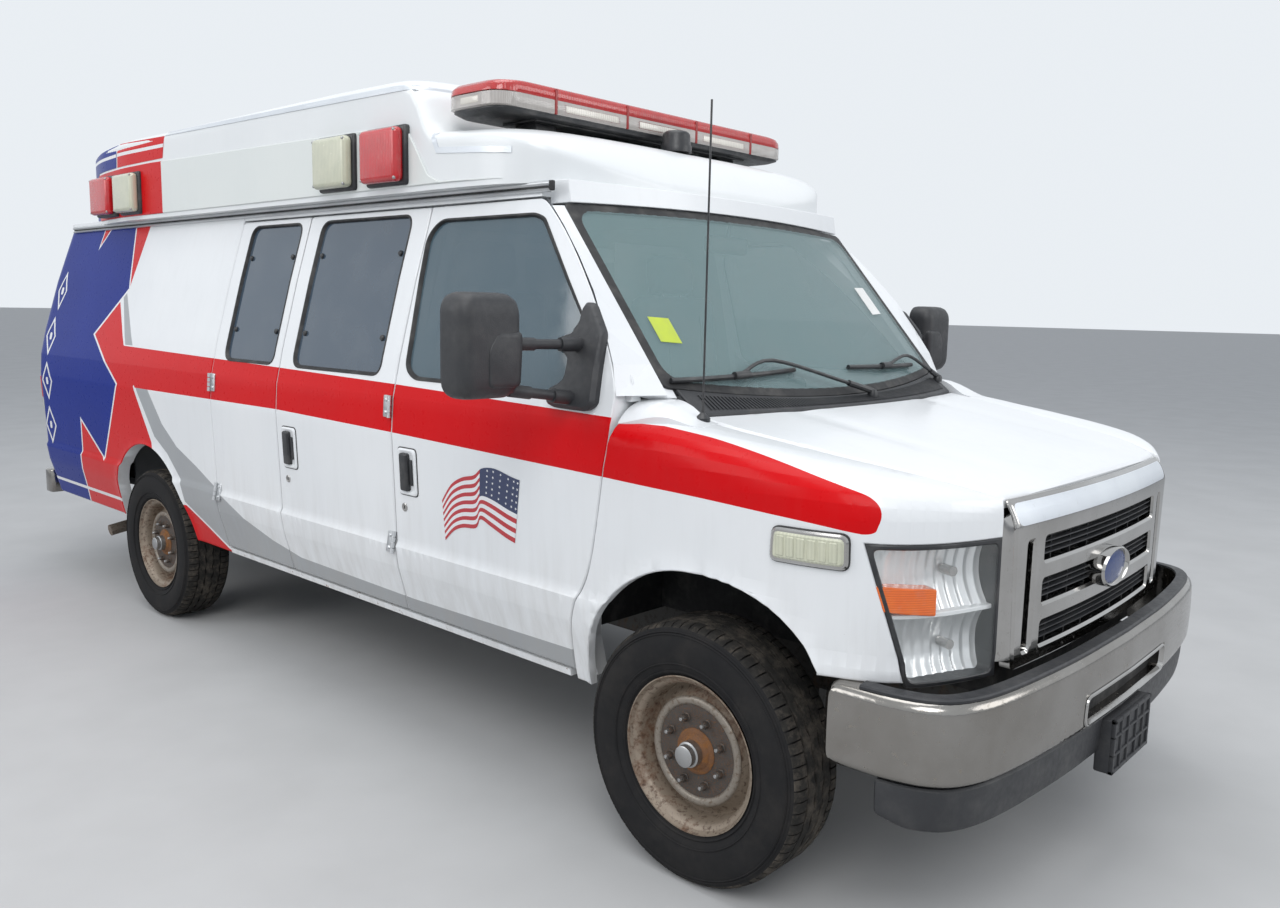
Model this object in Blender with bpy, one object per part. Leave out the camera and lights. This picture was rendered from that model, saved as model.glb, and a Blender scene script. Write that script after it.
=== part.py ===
# A van ambulance with a raised roof, hinged doors and steered front wheels.
# Metres, +Z up. The nose faces -Y and the kerb side is -X.
# Sizes are worked out with the front axle at y = 0. The last step moves everything so that
# the middle of the bumper-to-bumper box stands over the origin.

import math

import bmesh
import bpy
from mathutils import Matrix, Vector
from mathutils.bvhtree import BVHTree
from mathutils.geometry import delaunay_2d_cdt

# Driving dimensions
WHEELBASE = 3.505
FRONT_OVERHANG = 0.865
REAR_OVERHANG = 1.642
HALF_WIDTH = 1.003
SILL_Z = 0.455
GUTTER_Z = 1.985
REAR_FACE_Y = 5.02
REAR_CORNER_RADIUS = 0.16
REAR_LEAN = 0.085
REAR_BOW = 0.022

# Clearances
SEAT_GAP = 0.0003
PANEL_GAP = 0.0075
GLASS_GAP = 0.0005
BOOLEAN_OVERRUN = 0.02

# Walls
DOOR_DEPTH = 0.055
FRAME_DEPTH = 0.045
FENDER_DEPTH = 0.022
HOOD_DEPTH = 0.028
GLASS_INSET = 0.010
GLASS_DEPTH = 0.006

# Points nearer than this become one
MERGE = 0.0001

# Body section: height from sill to gutter, half width, lean of the rear
SECTION_SHARES = (
    (-0.03, 0.918, 0.00),
    (0.00, 0.924, 0.00),
    (0.06, 0.947, 0.00),
    (0.13, 0.978, 0.00),
    (0.182, 0.990, 0.00),
    (0.195, 0.981, 0.00),
    (0.30, 0.988, 0.00),
    (0.45, 0.999, 0.00),
    (0.53, 0.991, 0.00),
    (0.62, 0.961, 0.04),
    (0.80, 0.889, 0.32),
    (1.00, 0.800, 1.00),
    (1.04, 0.785, 1.20),
)

# Front doors and side leaves, along the car
DOOR_FRONT_Y = 0.300
B_GAP_Y = 1.365
LEAF_GAP_Y = 2.178
REAR_GAP_Y = 2.752
DOOR_BOTTOM_Z = 0.485
DOOR_TOP_Z = 1.935
BELT_Z = 1.29
WINDOW_RADIUS = 0.05

# Wheel arches
REAR_ARCH_RADIUS = 0.425
ARCH_CENTRE_Z = 0.452
FRONT_ARCH_CENTRE_Y = -0.02
ARCH_SIDES = 12

# Nose plan: share of HALF_WIDTH across, then place along as a share of FRONT_OVERHANG, front corner to door
NOSE_PLAN_SHARES = (
    (0.620, -0.812),
    (0.700, -0.783),
    (0.800, -0.735),
    (0.880, -0.672),
    (0.932, -0.600),
    (0.965, -0.510),
    (0.985, -0.400),
    (0.996, -0.240),
    (1.000, -0.060),
    (1.000, 0.330),
    (1.000, 0.640),
)
# Hood seam at the same stations, in the same shares
HOOD_SEAM_SHARES = (
    (0.612, -0.790),
    (0.640, -0.735),
    (0.672, -0.640),
    (0.695, -0.540),
    (0.713, -0.450),
    (0.730, -0.370),
    (0.748, -0.270),
    (0.768, -0.140),
    (0.790, 0.010),
    (0.800, 0.320),
    (0.802, 0.600),
)
HOOD_FRONT_Z = 1.178
HOOD_REAR_Z = 1.312
HOOD_FRONT_Y = -0.690
HOOD_REAR_Y = 0.040
HOOD_REAR_BOW = 0.110
HOOD_CROWN = 0.022
SHOULDER_FRONT_Z = 1.060
SHOULDER_REAR_Z = 1.190
SHOULDER_RUN = 0.260
LAMP_TOP_Z = 1.052
LAMP_BOTTOM_Z = 0.695
LAMP_DEPTH = 0.085

# Windscreen
SCREEN_BASE_HALF = 0.830
SCREEN_TOP_HALF = 0.800
SCREEN_BASE_Y = 0.135
SCREEN_BASE_Z = 1.318
SCREEN_TOP_Y = 0.640
SCREEN_TOP_Z = 1.933
SCREEN_BASE_SWEEP = 0.109
SCREEN_TOP_SWEEP = 0.067
SCREEN_BASE_RISE = 0.052
SCREEN_TOP_DROP = 0.015
SCREEN_DEPTH = 0.008
PILLAR_DEPTH = 0.085

# Wheels
TYRE_RADIUS = 0.372
TYRE_WIDTH = 0.223
RIM_RADIUS = 0.2205
RIM_WIDTH = 0.190
FRONT_TRACK = 1.763
REAR_TRACK = 1.707
KINGPIN_X = 0.752
HUB_RADIUS = 0.062
WHEEL_SIDES = 28
HUB_SIDES = 14

# Chassis and floor
RAIL_X = 0.430
RAIL_WIDTH = 0.075
RAIL_TOP_Z = 0.600
RAIL_HEIGHT = 0.140
RAIL_ARCH_HEIGHT = 0.085
FLOOR_DEPTH = 0.035
FLOOR_FRONT_Y = 0.520
HOUSING_LENGTH = 0.940
HOUSING_TOP_Z = 0.905
HOUSING_INNER_X = 0.665
HOUSING_WALL = 0.020

# Raised roof
ROOF_HALF = 0.878
ROOF_TOP_Z = 2.425
ROOF_CAP_Z = 2.205
ROOF_REAR_Y = 4.750
ROOF_WALL = 0.055
RAIL_LIP = 0.022

LIGHT_BAR_Y = 1.152
LIGHT_BAR_DROP = 0.135
LIGHT_BAR_Z = ROOF_TOP_Z - LIGHT_BAR_DROP
LIGHT_BAR_LENGTH = 1.640
LIGHT_BAR_DEPTH = 0.300
LIGHT_BAR_HEIGHT = 0.105

# Steering and suspension
YOKE_HALF_HEIGHT = 0.060
YOKE_PLATE = 0.026
YOKE_RADIUS = 0.030
SPINDLE_RADIUS = 0.0275
SPINDLE_BORE = 0.0290
SPINDLE_END = 0.028
DISC_RADIUS = 0.152
DISC_INSET = 0.066
DISC_DEPTH = 0.020
BEAM_HEIGHT = 0.090
BEAM_WIDTH = 0.055
AXLE_RADIUS = 0.045
DIFF_RADIUS = 0.150
SHAFT_RADIUS = 0.040
SPRING_LENGTH = 1.400
SPRING_WIDTH = 0.065
SPRING_DEPTH = 0.030

# Engine, tank and exhaust
ENGINE_WIDTH = 0.520
ENGINE_LENGTH = 0.820
ENGINE_HEIGHT = 0.620
ENGINE_FRONT_Y = -0.420
TANK_LENGTH = 1.050
TANK_WIDTH = 0.560
TANK_HEIGHT = 0.260
TANK_FRONT_Y = 1.700
PIPE_RADIUS = 0.032
MUFFLER_RADIUS = 0.095
MUFFLER_LENGTH = 0.620

# Bumpers
BUMPER_TOP_Z = 0.708
BUMPER_BOTTOM_Z = 0.492
BUMPER_DEPTH = 0.055
BUMPER_HALF_WIDTH = 0.985
VALANCE_BOTTOM_Z = 0.380
PLATE_WIDTH = 0.310
PLATE_HEIGHT = 0.165
REAR_BUMPER_TOP_Z = 0.560
REAR_BUMPER_HEIGHT = 0.140

# Grille
GRILLE_TOP_HALF = 0.600
GRILLE_BOTTOM_HALF = 0.575
GRILLE_TOP_Z = 1.142
GRILLE_BOTTOM_Z = 0.700
GRILLE_BAR = 0.050
BOSS_WIDTH = 0.230
BOSS_HEIGHT = 0.115

# Cab and load space
SEAT_X = 0.532
SEAT_WIDTH = 0.520
SEAT_DEPTH = 0.520
CUSHION_TOP_Z = 1.020
BACK_TOP_Z = 1.640
SEAT_FRONT_Y = 0.840
DASH_TOP_Z = 1.275
DASH_REAR_Y = 0.760
WHEEL_X = 0.500
STEERING_RADIUS = 0.195
BULKHEAD_Y = 1.500
BULKHEAD_DEPTH = 0.030
AISLE_HALF = 0.260
CABINET_DEPTH = 0.420
CABINET_REAR_Y = 4.500
CABINET_TOP_Z = 1.880
BENCH_FRONT_Y = 2.860
BENCH_TOP_Z = 1.080
COT_PLATE_LOW_X = -0.190
COT_PLATE_HIGH_X = 0.340
COT_PLATE_RISE = 0.004
WHIP_HEIGHT = 0.880
WHIP_RADIUS = 0.003
DOME_RADIUS = 0.055
DOME_HEIGHT = 0.060
LAMP_WIDTH = 0.250
LAMP_HEIGHT = 0.208
LAMP_PROUD = 0.055
LAMP_DROP = 0.310
LAMP_Z = ROOF_TOP_Z - LAMP_DROP
MIRROR_WIDTH = 0.215
MIRROR_HEIGHT = 0.290
MIRROR_DEPTH = 0.105
DOOR_SWING_AXIS_OUT = 0.005


def clear_scene():
    for old in list(bpy.data.objects):
        bpy.data.objects.remove(old, do_unlink=True)


def curve_value(table, position, column=1):
    # Smooth value of a table at a position, with no overshoot between its rows.
    last = len(table) - 1
    spot = min(max(position, table[0][0]), table[last][0])
    row = max(index for index in range(last) if table[index][0] <= spot)
    slopes = [
        (table[index + 1][column] - table[index][column]) / (table[index + 1][0] - table[index][0])
        for index in range(last)
    ]

    def tangent(index):
        if index in (0, last):
            return slopes[min(index, last - 1)]
        before, after = slopes[index - 1], slopes[index]
        return 2 * before * after / (before + after) if before * after > 0 else 0.0

    run = table[row + 1][0] - table[row][0]
    t = (spot - table[row][0]) / run
    start, end = table[row][column], table[row + 1][column]
    blend = t * t * (3 - 2 * t)
    lift = run * (tangent(row) * t * (1 - t) ** 2 - tangent(row + 1) * t * t * (1 - t))
    return start + (end - start) * blend + lift


def mix(first, second, share):
    return first + (second - first) * share


def line_value(table, position, column=1):
    # Straight-line value of a table, carried on past its ends.
    row = 0
    while row < len(table) - 2 and table[row + 1][0] < position:
        row += 1
    share = (position - table[row][0]) / (table[row + 1][0] - table[row][0])
    return mix(table[row][column], table[row + 1][column], share)


def clamp(value):
    return min(max(value, 0.0), 1.0)


# Surfaces: each takes a place on the panel and a depth inwards


def half_width(z):
    return HALF_WIDTH * line_value(SECTION_SHARES, (z - SILL_Z) / (GUTTER_Z - SILL_Z))


def rear_lean(z):
    return REAR_LEAN * line_value(SECTION_SHARES, (z - SILL_Z) / (GUTTER_Z - SILL_Z), 2)


def side_point(sign, along, z, depth=0.0):
    # Runs back along the side, round the rear corner, then across the rear.
    straight_end = REAR_FACE_Y - REAR_CORNER_RADIUS
    turn = min(max(along - straight_end, 0.0) / REAR_CORNER_RADIUS, math.pi / 2)
    past = max(along - straight_end - REAR_CORNER_RADIUS * math.pi / 2, 0.0)
    y = min(along, straight_end) + REAR_CORNER_RADIUS * math.sin(turn)
    inset = REAR_CORNER_RADIUS * (1 - math.cos(turn)) + past
    lean_start = straight_end - WHEELBASE / 4
    y -= rear_lean(z) * clamp((along - lean_start) / (straight_end - lean_start))
    x = half_width(z) - inset - depth * math.cos(turn)
    return Vector((sign * x, y - depth * math.sin(turn), z))


REAR_EDGE_X = HALF_WIDTH - REAR_CORNER_RADIUS
# Rear face: place across as a share of its half width, then how much of the bow is lost
REAR_BOW_SHARES = (
    (-1.0, 1.0),
    (-0.66, 0.44),
    (-0.33, 0.11),
    (0.0, 0.0),
    (0.33, 0.11),
    (0.66, 0.44),
    (1.0, 1.0),
)


def rear_point(across, z, depth=0.0):
    bow = REAR_BOW * (1 - line_value(REAR_BOW_SHARES, across / REAR_EDGE_X))
    return Vector((across, REAR_FACE_Y - rear_lean(z) + bow - depth, z))



def nose_stations():
    # Rows of the nose plan: run, x, y, seam x, seam y.
    rows, run, before = [], 0.0, None
    for (across, along), (seam_across, seam_along) in zip(NOSE_PLAN_SHARES, HOOD_SEAM_SHARES):
        here = Vector((across * HALF_WIDTH, along * FRONT_OVERHANG))
        run += (here - before).length if before else 0.0
        rows.append((run, here.x, here.y, seam_across * HALF_WIDTH, seam_along * FRONT_OVERHANG))
        before = here
    return rows


NOSE = nose_stations()
NOSE_RUNS = [row[0] for row in NOSE]
NOSE_BY_Y = [(row[2], row[0]) for row in NOSE]


def nose_run(y):
    return curve_value(NOSE_BY_Y, y)


def hood_z(x, y):
    share = clamp((y - HOOD_FRONT_Y) / (HOOD_REAR_Y + HOOD_REAR_BOW - HOOD_FRONT_Y))
    roll = HOOD_CROWN * clamp(1 - (y - HOOD_FRONT_Y) / SHOULDER_RUN) ** 3
    return mix(HOOD_FRONT_Z, HOOD_REAR_Z, share) - HOOD_CROWN * (x / SCREEN_BASE_HALF) ** 2 - roll


def shoulder_z(run):
    y = curve_value(NOSE, run, 2)
    share = clamp((y - NOSE[0][2]) / (NOSE[-2][2] - NOSE[0][2]))
    return mix(SHOULDER_FRONT_Z, SHOULDER_REAR_Z, share)


def fender_point(sign, run, height, depth=0.0):
    # Below the shoulder the height is z. Above it, it measures the way over to the hood seam.
    x, y, seam_x, seam_y = (curve_value(NOSE, run, column) for column in (1, 2, 3, 4))
    step = NOSE[1][0] / 4
    ahead = Vector((curve_value(NOSE, run + step, 1), curve_value(NOSE, run + step, 2)))
    behind = Vector((curve_value(NOSE, run - step, 1), curve_value(NOSE, run - step, 2)))
    tangent = (ahead - behind).normalized()
    low = shoulder_z(run)
    turn = clamp((height - low) / SHOULDER_RUN) * math.pi / 2
    across, up = math.cos(turn) ** SHOULDER_POWER, math.sin(turn) ** SHOULDER_POWER
    top = hood_z(seam_x, seam_y)
    z = mix(low, top, up) if height > low else height
    narrow = half_width(min(z, low)) / half_width(low)
    px, py = mix(seam_x, x, across), mix(seam_y, y, across)
    px -= x * (1 - narrow)
    inward = Vector((-tangent.y, tangent.x)) * depth * math.cos(turn)
    return Vector((sign * (px + inward.x), py + inward.y, z - depth * math.sin(turn)))


SHOULDER_POWER = 0.62


def screen_point(across_share, up_share, depth=0.0):
    # The windscreen: shares run from -1 to 1 across and from 0 to 1 up.
    x = across_share * mix(SCREEN_BASE_HALF, SCREEN_TOP_HALF, up_share)
    y = mix(SCREEN_BASE_Y, SCREEN_TOP_Y, up_share)
    y += mix(SCREEN_BASE_SWEEP, SCREEN_TOP_SWEEP, up_share) * across_share**2
    z = mix(SCREEN_BASE_Z, SCREEN_TOP_Z, up_share)
    z += mix(SCREEN_BASE_RISE, -SCREEN_TOP_DROP, up_share) * across_share**2
    back = Vector((0, SCREEN_TOP_Z - SCREEN_BASE_Z, SCREEN_BASE_Y - SCREEN_TOP_Y)).normalized()
    return Vector((x, y, z)) + back * depth


# Outlines in a panel's own two coordinates


def rounded(corners, radius, sides=2):
    # The outline with each corner cut by an arc of the radius.
    points = []
    count = len(corners)
    for index, corner in enumerate(corners):
        here = Vector(corner)
        before = (Vector(corners[index - 1]) - here)
        after = (Vector(corners[(index + 1) % count]) - here)
        reach = min(radius, before.length / 2.1, after.length / 2.1)
        start, end = here + before.normalized() * reach, here + after.normalized() * reach
        for step in range(sides + 1):
            t = step / sides
            points.append(tuple(start * (1 - t) ** 2 + here * 2 * t * (1 - t) + end * t**2))
    return points


def signed_area(points):
    pairs = zip(points, points[1:] + points[:1])
    return sum(a[0] * b[1] - b[0] * a[1] for a, b in pairs) / 2


def moved_in(points, distance):
    # The outline moved inwards by a distance, or outwards where it is negative.
    turn = 1 if signed_area(points) > 0 else -1
    moved = []
    for index, point in enumerate(points):
        here = Vector(point)
        before = (here - Vector(points[index - 1])).normalized()
        after = (Vector(points[(index + 1) % len(points)]) - here).normalized()
        normal = Vector((-(before.y + after.y), before.x + after.x)).normalized()
        stretch = 1 / max(normal.dot(Vector((-after.y, after.x))), 0.5)
        moved.append(tuple(here + normal * distance * stretch * turn))
    return moved


def arc(centre, radius, start, end, sides):
    angles = [mix(start, end, step / sides) for step in range(sides + 1)]
    return [(centre[0] + radius * math.cos(a), centre[1] + radius * math.sin(a)) for a in angles]


def inside(point, loops):
    crossings = False
    for loop in loops:
        for a, b in zip(loop, loop[1:] + loop[:1]):
            if (a[1] > point[1]) != (b[1] > point[1]):
                if point[0] < a[0] + (point[1] - a[1]) / (b[1] - a[1]) * (b[0] - a[0]):
                    crossings = not crossings
    return crossings


# Meshes


def mesh_from(points, faces):
    bm = bmesh.new()
    vertices = [bm.verts.new(point) for point in points]
    for face in faces:
        bm.faces.new([vertices[index] for index in face])
    bmesh.ops.recalc_face_normals(bm, faces=bm.faces)
    bmesh.ops.triangulate(bm, faces=bm.faces)
    mesh = bpy.data.meshes.new("mesh")
    bm.to_mesh(mesh)
    bm.free()
    return mesh


def evenly(low, high, step):
    # Places between two ends, evenly spaced and no more than a step apart.
    parts = math.ceil((high - low) / step)
    return [mix(low, high, part / parts) for part in range(1, parts)]


def middle_of(face, flat):
    return sum((flat[index] for index in face), Vector((0, 0))) / len(face)


def panel(outline, holes, outer, inner, rows=(), columns=()):
    # A curved panel with holes: outer and inner map its flat outline to its two faces.
    # It bends at the rows and columns only, so that neighbours with the same rows fit each other.
    loops = [list(outline), *map(list, holes)]
    points, edges = [], []
    for loop in loops:
        first = len(points)
        points += loop
        edges += [(first + i, first + (i + 1) % len(loop)) for i in range(len(loop))]
    spans = [(min(p[axis] for p in loops[0]), max(p[axis] for p in loops[0])) for axis in (0, 1)]
    for axis, places in ((0, columns), (1, rows)):
        low, high = spans[axis]
        for place in places:
            if low + MERGE < place < high - MERGE:
                ends = [spans[1 - axis][0] - EDGE_TRIM, spans[1 - axis][1] + EDGE_TRIM]
                edges.append((len(points), len(points) + 1))
                points += [(place, end) if axis == 0 else (end, place) for end in ends]
    flat, _, faces, *_ = delaunay_2d_cdt([Vector(p) for p in points], edges, [], 0, MERGE)
    faces = [face for face in faces if inside(middle_of(face, flat), loops)]
    count = len(flat)
    solid = [outer(p.x, p.y) for p in flat] + [inner(p.x, p.y) for p in flat]
    ends = {(a, b) for face in faces for a, b in zip(face, list(face[1:]) + [face[0]])}
    walls = [(a, b, b + count, a + count) for a, b in sorted(ends) if (b, a) not in ends]
    backs = [tuple(index + count for index in reversed(face)) for face in faces]
    used = sorted({index for face in faces for index in face})
    number = {old: new for new, old in enumerate(used + [index + count for index in used])}
    every = [tuple(number[i] for i in face) for face in [*map(tuple, faces), *backs, *walls]]
    return mesh_from([solid[i] for i in used] + [solid[i + count] for i in used], every)


def loft(rings):
    # A closed solid through rings of like count, with flat ends.
    size = len(rings[0])
    points = [point for ring in rings for point in ring]
    faces = [tuple(range(size)), tuple(len(points) - size + i for i in range(size))]
    for level in range(len(rings) - 1):
        for i in range(size):
            j = (i + 1) % size
            low, high = level * size, (level + 1) * size
            faces.append((low + i, low + j, high + j, high + i))
    return mesh_from(points, faces)


def box(low, high):
    (x0, y0, z0), (x1, y1, z1) = low, high
    ring = ((x0, y0), (x1, y0), (x1, y1), (x0, y1))
    return loft([[(x, y, z) for x, y in ring] for z in (z0, z1)])


def extruded(outline, place, low, high):
    # The outline carried from low to high: place turns its two coordinates and the third into a point.
    return loft([[place(a, b, level) for a, b in outline] for level in (low, high)])


def lathe(profile, place, sides):
    # Revolves (radius, along) points; place maps (a, b, along) to the car, and radius 0 closes on the axis.
    points, rings = [], []
    for radius, along in profile:
        if radius == 0:
            rings.append([len(points)] * sides)
            points.append(place(0, 0, along))
            continue
        first = len(points)
        for i in range(sides):
            angle = 2 * math.pi * i / sides
            points.append(place(radius * math.cos(angle), radius * math.sin(angle), along))
        rings.append([first + i for i in range(sides)])
    faces = []
    closed = profile[0][0] != 0
    pairs = zip(rings, rings[1:] + rings[:1]) if closed else zip(rings, rings[1:])
    for low, high in pairs:
        for i in range(sides):
            j = (i + 1) % sides
            face = [low[i], low[j], high[j], high[i]]
            face = [index for k, index in enumerate(face) if index != face[k - 1]]
            if len(face) > 2:
                faces.append(tuple(face))
    return mesh_from(points, faces)


def rod(start, end, radius, sides=8):
    axis = (Vector(end) - Vector(start))
    turn = axis.to_track_quat("Z", "Y")
    ring = [
        Vector((radius * math.cos(2 * math.pi * i / sides), radius * math.sin(2 * math.pi * i / sides), 0))
        for i in range(sides)
    ]
    return loft([[tuple(turn @ p + Vector(end_point)) for p in ring] for end_point in (start, end)])


def tube(route, radius, sides=8):
    # A pipe through the route's points, which never run straight up.
    spots = [Vector(point) for point in route]
    rings = []
    for index, spot in enumerate(spots):
        way = (spots[min(index + 1, len(spots) - 1)] - spots[max(index - 1, 0)]).normalized()
        side = way.cross(Vector((0, 0, 1))).normalized()
        up = side.cross(way)
        angles = [2 * math.pi * step / sides for step in range(sides)]
        rings.append([tuple(spot + (side * math.cos(a) + up * math.sin(a)) * radius) for a in angles])
    return loft(rings)


def material(name, colour, roughness, metallic=0.0):
    made = bpy.data.materials.get(name) or bpy.data.materials.new(name)
    made.use_nodes = True
    shader = made.node_tree.nodes["Principled BSDF"]
    shader.inputs["Base Color"].default_value = (*colour, 1.0)
    shader.inputs["Roughness"].default_value = roughness
    shader.inputs["Metallic"].default_value = metallic
    return made


# Faces that meet at less than this are shaded as one round surface.
SHARP_ANGLE = math.radians(32)
LOOKS = {
    "white": ((0.80, 0.81, 0.80), 0.35, 0.0),
    "black": ((0.03, 0.03, 0.032), 0.6, 0.0),
    "chrome": ((0.72, 0.72, 0.70), 0.18, 1.0),
    "steel": ((0.16, 0.15, 0.14), 0.65, 0.6),
    "rust": ((0.27, 0.17, 0.10), 0.75, 0.4),
    "rubber": ((0.035, 0.034, 0.032), 0.85, 0.0),
    "glass": ((0.07, 0.09, 0.10), 0.08, 0.0),
    "lamp": ((0.75, 0.77, 0.76), 0.15, 0.0),
    "red": ((0.55, 0.05, 0.04), 0.25, 0.0),
    "grey": ((0.30, 0.31, 0.32), 0.7, 0.0),
}


def node(name, look, pieces, cutters=()):
    # One named object: the first mesh, with the other pieces joined and the cutters cut by Booleans.
    for mesh in (*pieces, *cutters):
        mesh.shade_smooth()
        mesh.set_sharp_from_angle(angle=SHARP_ANGLE)
    made = bpy.data.objects.new(name, pieces[0])
    SCENE.collection.objects.link(made)
    made.data.materials.append(material(look, *LOOKS[look]))
    for operation, group in (("UNION", pieces[1:]), ("DIFFERENCE", cutters)):
        for number, mesh in enumerate(group):
            helper = bpy.data.objects.new(f"{name}_{operation.lower()}_{number}", mesh)
            SCENE.collection.objects.link(helper)
            helper.hide_render = True
            helper.display_type = "WIRE"
            cut = made.modifiers.new(helper.name, "BOOLEAN")
            cut.operation, cut.solver, cut.object = operation, "EXACT", helper
    return made


def heights_on(name, spots):
    # How high a finished piece stands under each (x, y) spot.
    mesh = bpy.data.objects[name].data
    points = [vertex.co for vertex in mesh.vertices]
    tree = BVHTree.FromPolygons(points, [face.vertices for face in mesh.polygons])
    sky = ROOF_TOP_Z + BOOLEAN_OVERRUN
    return [tree.ray_cast(Vector((x, y, sky)), Vector((0, 0, -1)))[0].z for x, y in spots]


SCENE = bpy.context.scene
SIDES = (("right", -1), ("left", 1))
LEVELS = [mix(SILL_Z, GUTTER_Z, row[0]) for row in SECTION_SHARES[1:-1]]
SIDE_END_Y = REAR_FACE_Y - REAR_CORNER_RADIUS
LEAN_START_Y = SIDE_END_Y - WHEELBASE / 4
TURN_SHARES = (0.0, 0.25, 0.5, 0.75)
SIDE_COLUMNS = [LEAN_START_Y]
SIDE_COLUMNS += [SIDE_END_Y + REAR_CORNER_RADIUS * math.pi / 2 * share for share in TURN_SHARES]
REAR_COLUMNS = [REAR_EDGE_X * row[0] for row in REAR_BOW_SHARES[1:-1]]


# Doors and the frames behind them


def front_door_outline():
    # Along as a share of the door's length, up as a share of its height.
    shares = (
        (0.178, 0.000),
        (0.168, 0.075),
        (0.140, 0.150),
        (0.085, 0.230),
        (0.050, 0.330),
        (0.012, 0.480),
        (0.000, 0.560),
        (0.006, 0.615),
        (0.060, 0.690),
        (0.165, 0.800),
        (0.300, 0.910),
        (0.418, 0.985),
        (0.460, 1.000),
        (1.000, 1.000),
        (1.000, 0.000),
    )
    low, high = DOOR_FRONT_Y, B_GAP_Y - PANEL_GAP / 2
    return [(mix(low, high, a), mix(DOOR_BOTTOM_Z, DOOR_TOP_Z, b)) for a, b in shares]


def front_window():
    shares = (
        (0.070, 0.000),
        (0.140, 0.330),
        (0.395, 0.905),
        (0.520, 1.000),
        (0.935, 1.000),
        (0.985, 0.900),
        (0.950, 0.060),
        (0.900, 0.000),
    )
    low, high = DOOR_FRONT_Y, B_GAP_Y
    base, top = BELT_Z + WINDOW_RADIUS, DOOR_TOP_Z - WINDOW_RADIUS
    return [(mix(low, high, a), mix(base, top, b)) for a, b in shares]


def leaf(low, high):
    return [(low, DOOR_BOTTOM_Z), (high, DOOR_BOTTOM_Z), (high, DOOR_TOP_Z), (low, DOOR_TOP_Z)]


def leaf_window(low, high, front_margin, rear_margin):
    base, top = BELT_Z + WINDOW_RADIUS, DOOR_TOP_Z - WINDOW_RADIUS / 2
    front, rear = low + front_margin, high - rear_margin
    corners = [(front, base), (rear, base), (rear, top), (front, top)]
    return rounded(corners, WINDOW_RADIUS)


def pillar_edge(z):
    # Where the front edge of the front door lies at a height.
    rows = sorted((up, along) for along, up in front_door_outline()[:12])
    return line_value(rows, z)


def pillar_shift(along, z, depth):
    # Behind the windscreen pillar the inner faces stand further back, to stay inside the pillar.
    height = clamp((z - BELT_Z) / (DOOR_TOP_Z - BELT_Z))
    edge = pillar_edge(z)
    share = clamp((along - edge) / (B_GAP_Y - edge))
    return PILLAR_SHIFT * height * (1 - share) * depth / DOOR_DEPTH


def free_edge_shift(reach, drop):
    # How far the inner face stops short at the free edge, inside the circle that the outer corner sweeps.
    return reach - math.sqrt(reach**2 + drop**2 - (drop + DOOR_DEPTH) ** 2)


def door_faces(sign, hinge, free, by_pillar=False):
    reach = abs(free - hinge)

    def outer(along, z):
        return side_point(sign, along, z)

    def inner(along, z):
        drop = HALF_WIDTH + DOOR_SWING_AXIS_OUT - half_width(z)
        share = clamp(abs(along - hinge) / reach)
        place = along + (hinge - free) / reach * free_edge_shift(reach, drop) * share
        if by_pillar:
            place += pillar_shift(along, z, DOOR_DEPTH)
        return side_point(sign, place, z, DOOR_DEPTH)

    return outer, inner


def between(outer, inner, depth):
    # The face that lies at a depth between the outer and inner faces of a door.
    return lambda along, z: outer(along, z).lerp(inner(along, z), depth / DOOR_DEPTH)


def hinged_door(name, faces, outline, window, columns=()):
    node(f"door_{name}", "white", [panel(outline, [window], *faces, LEVELS, columns)])
    pane_faces = [between(*faces, depth) for depth in (GLASS_INSET, GLASS_INSET + GLASS_DEPTH)]
    node(f"glass_{name}", "glass", [panel(moved_in(window, GLASS_GAP), [], *pane_faces, LEVELS, columns)])


def front_doors():
    outline, window = front_door_outline(), rounded(front_window(), WINDOW_RADIUS)
    for side, sign in SIDES:
        faces = door_faces(sign, DOOR_FRONT_Y, B_GAP_Y - PANEL_GAP / 2, by_pillar=True)
        hinged_door(f"front_{side}", faces, outline, window)


def side_leaves():
    # name, front edge, rear edge, hinged at the front, window margins
    wide, narrow = WINDOW_RADIUS * 2, WINDOW_RADIUS
    rows = (
        ("side_front", B_GAP_Y + PANEL_GAP / 2, LEAF_GAP_Y - PANEL_GAP / 2, True, (wide, wide)),
        ("side_rear", LEAF_GAP_Y + PANEL_GAP / 2, REAR_GAP_Y - PANEL_GAP / 2, False, (narrow, wide)),
    )
    for name, low, high, front_hinged, margins in rows:
        hinge, free = (low, high) if front_hinged else (high, low)
        window = leaf_window(low, high, *margins)
        hinged_door(name, door_faces(-1, hinge, free), leaf(low, high), window)


def strip(sign, low, high, shallow, deep):
    # A strip of body side between two (along, z) corners and two depths.
    outline = [(low[0], low[1]), (high[0], low[1]), (high[0], high[1]), (low[0], high[1])]
    outer = lambda along, z: side_point(sign, along, z, shallow)
    inner = lambda along, z: side_point(sign, along, z, deep)
    return panel(outline, [], outer, inner, LEVELS, SIDE_COLUMNS)


FRAME_SHALLOW = DOOR_DEPTH + SEAT_GAP
FRAME_DEEP = FRAME_SHALLOW + FRAME_DEPTH
FRAME_FLANGE = 0.045
FRAME_LAP = 0.030
EDGE_TRIM = 0.006


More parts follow.
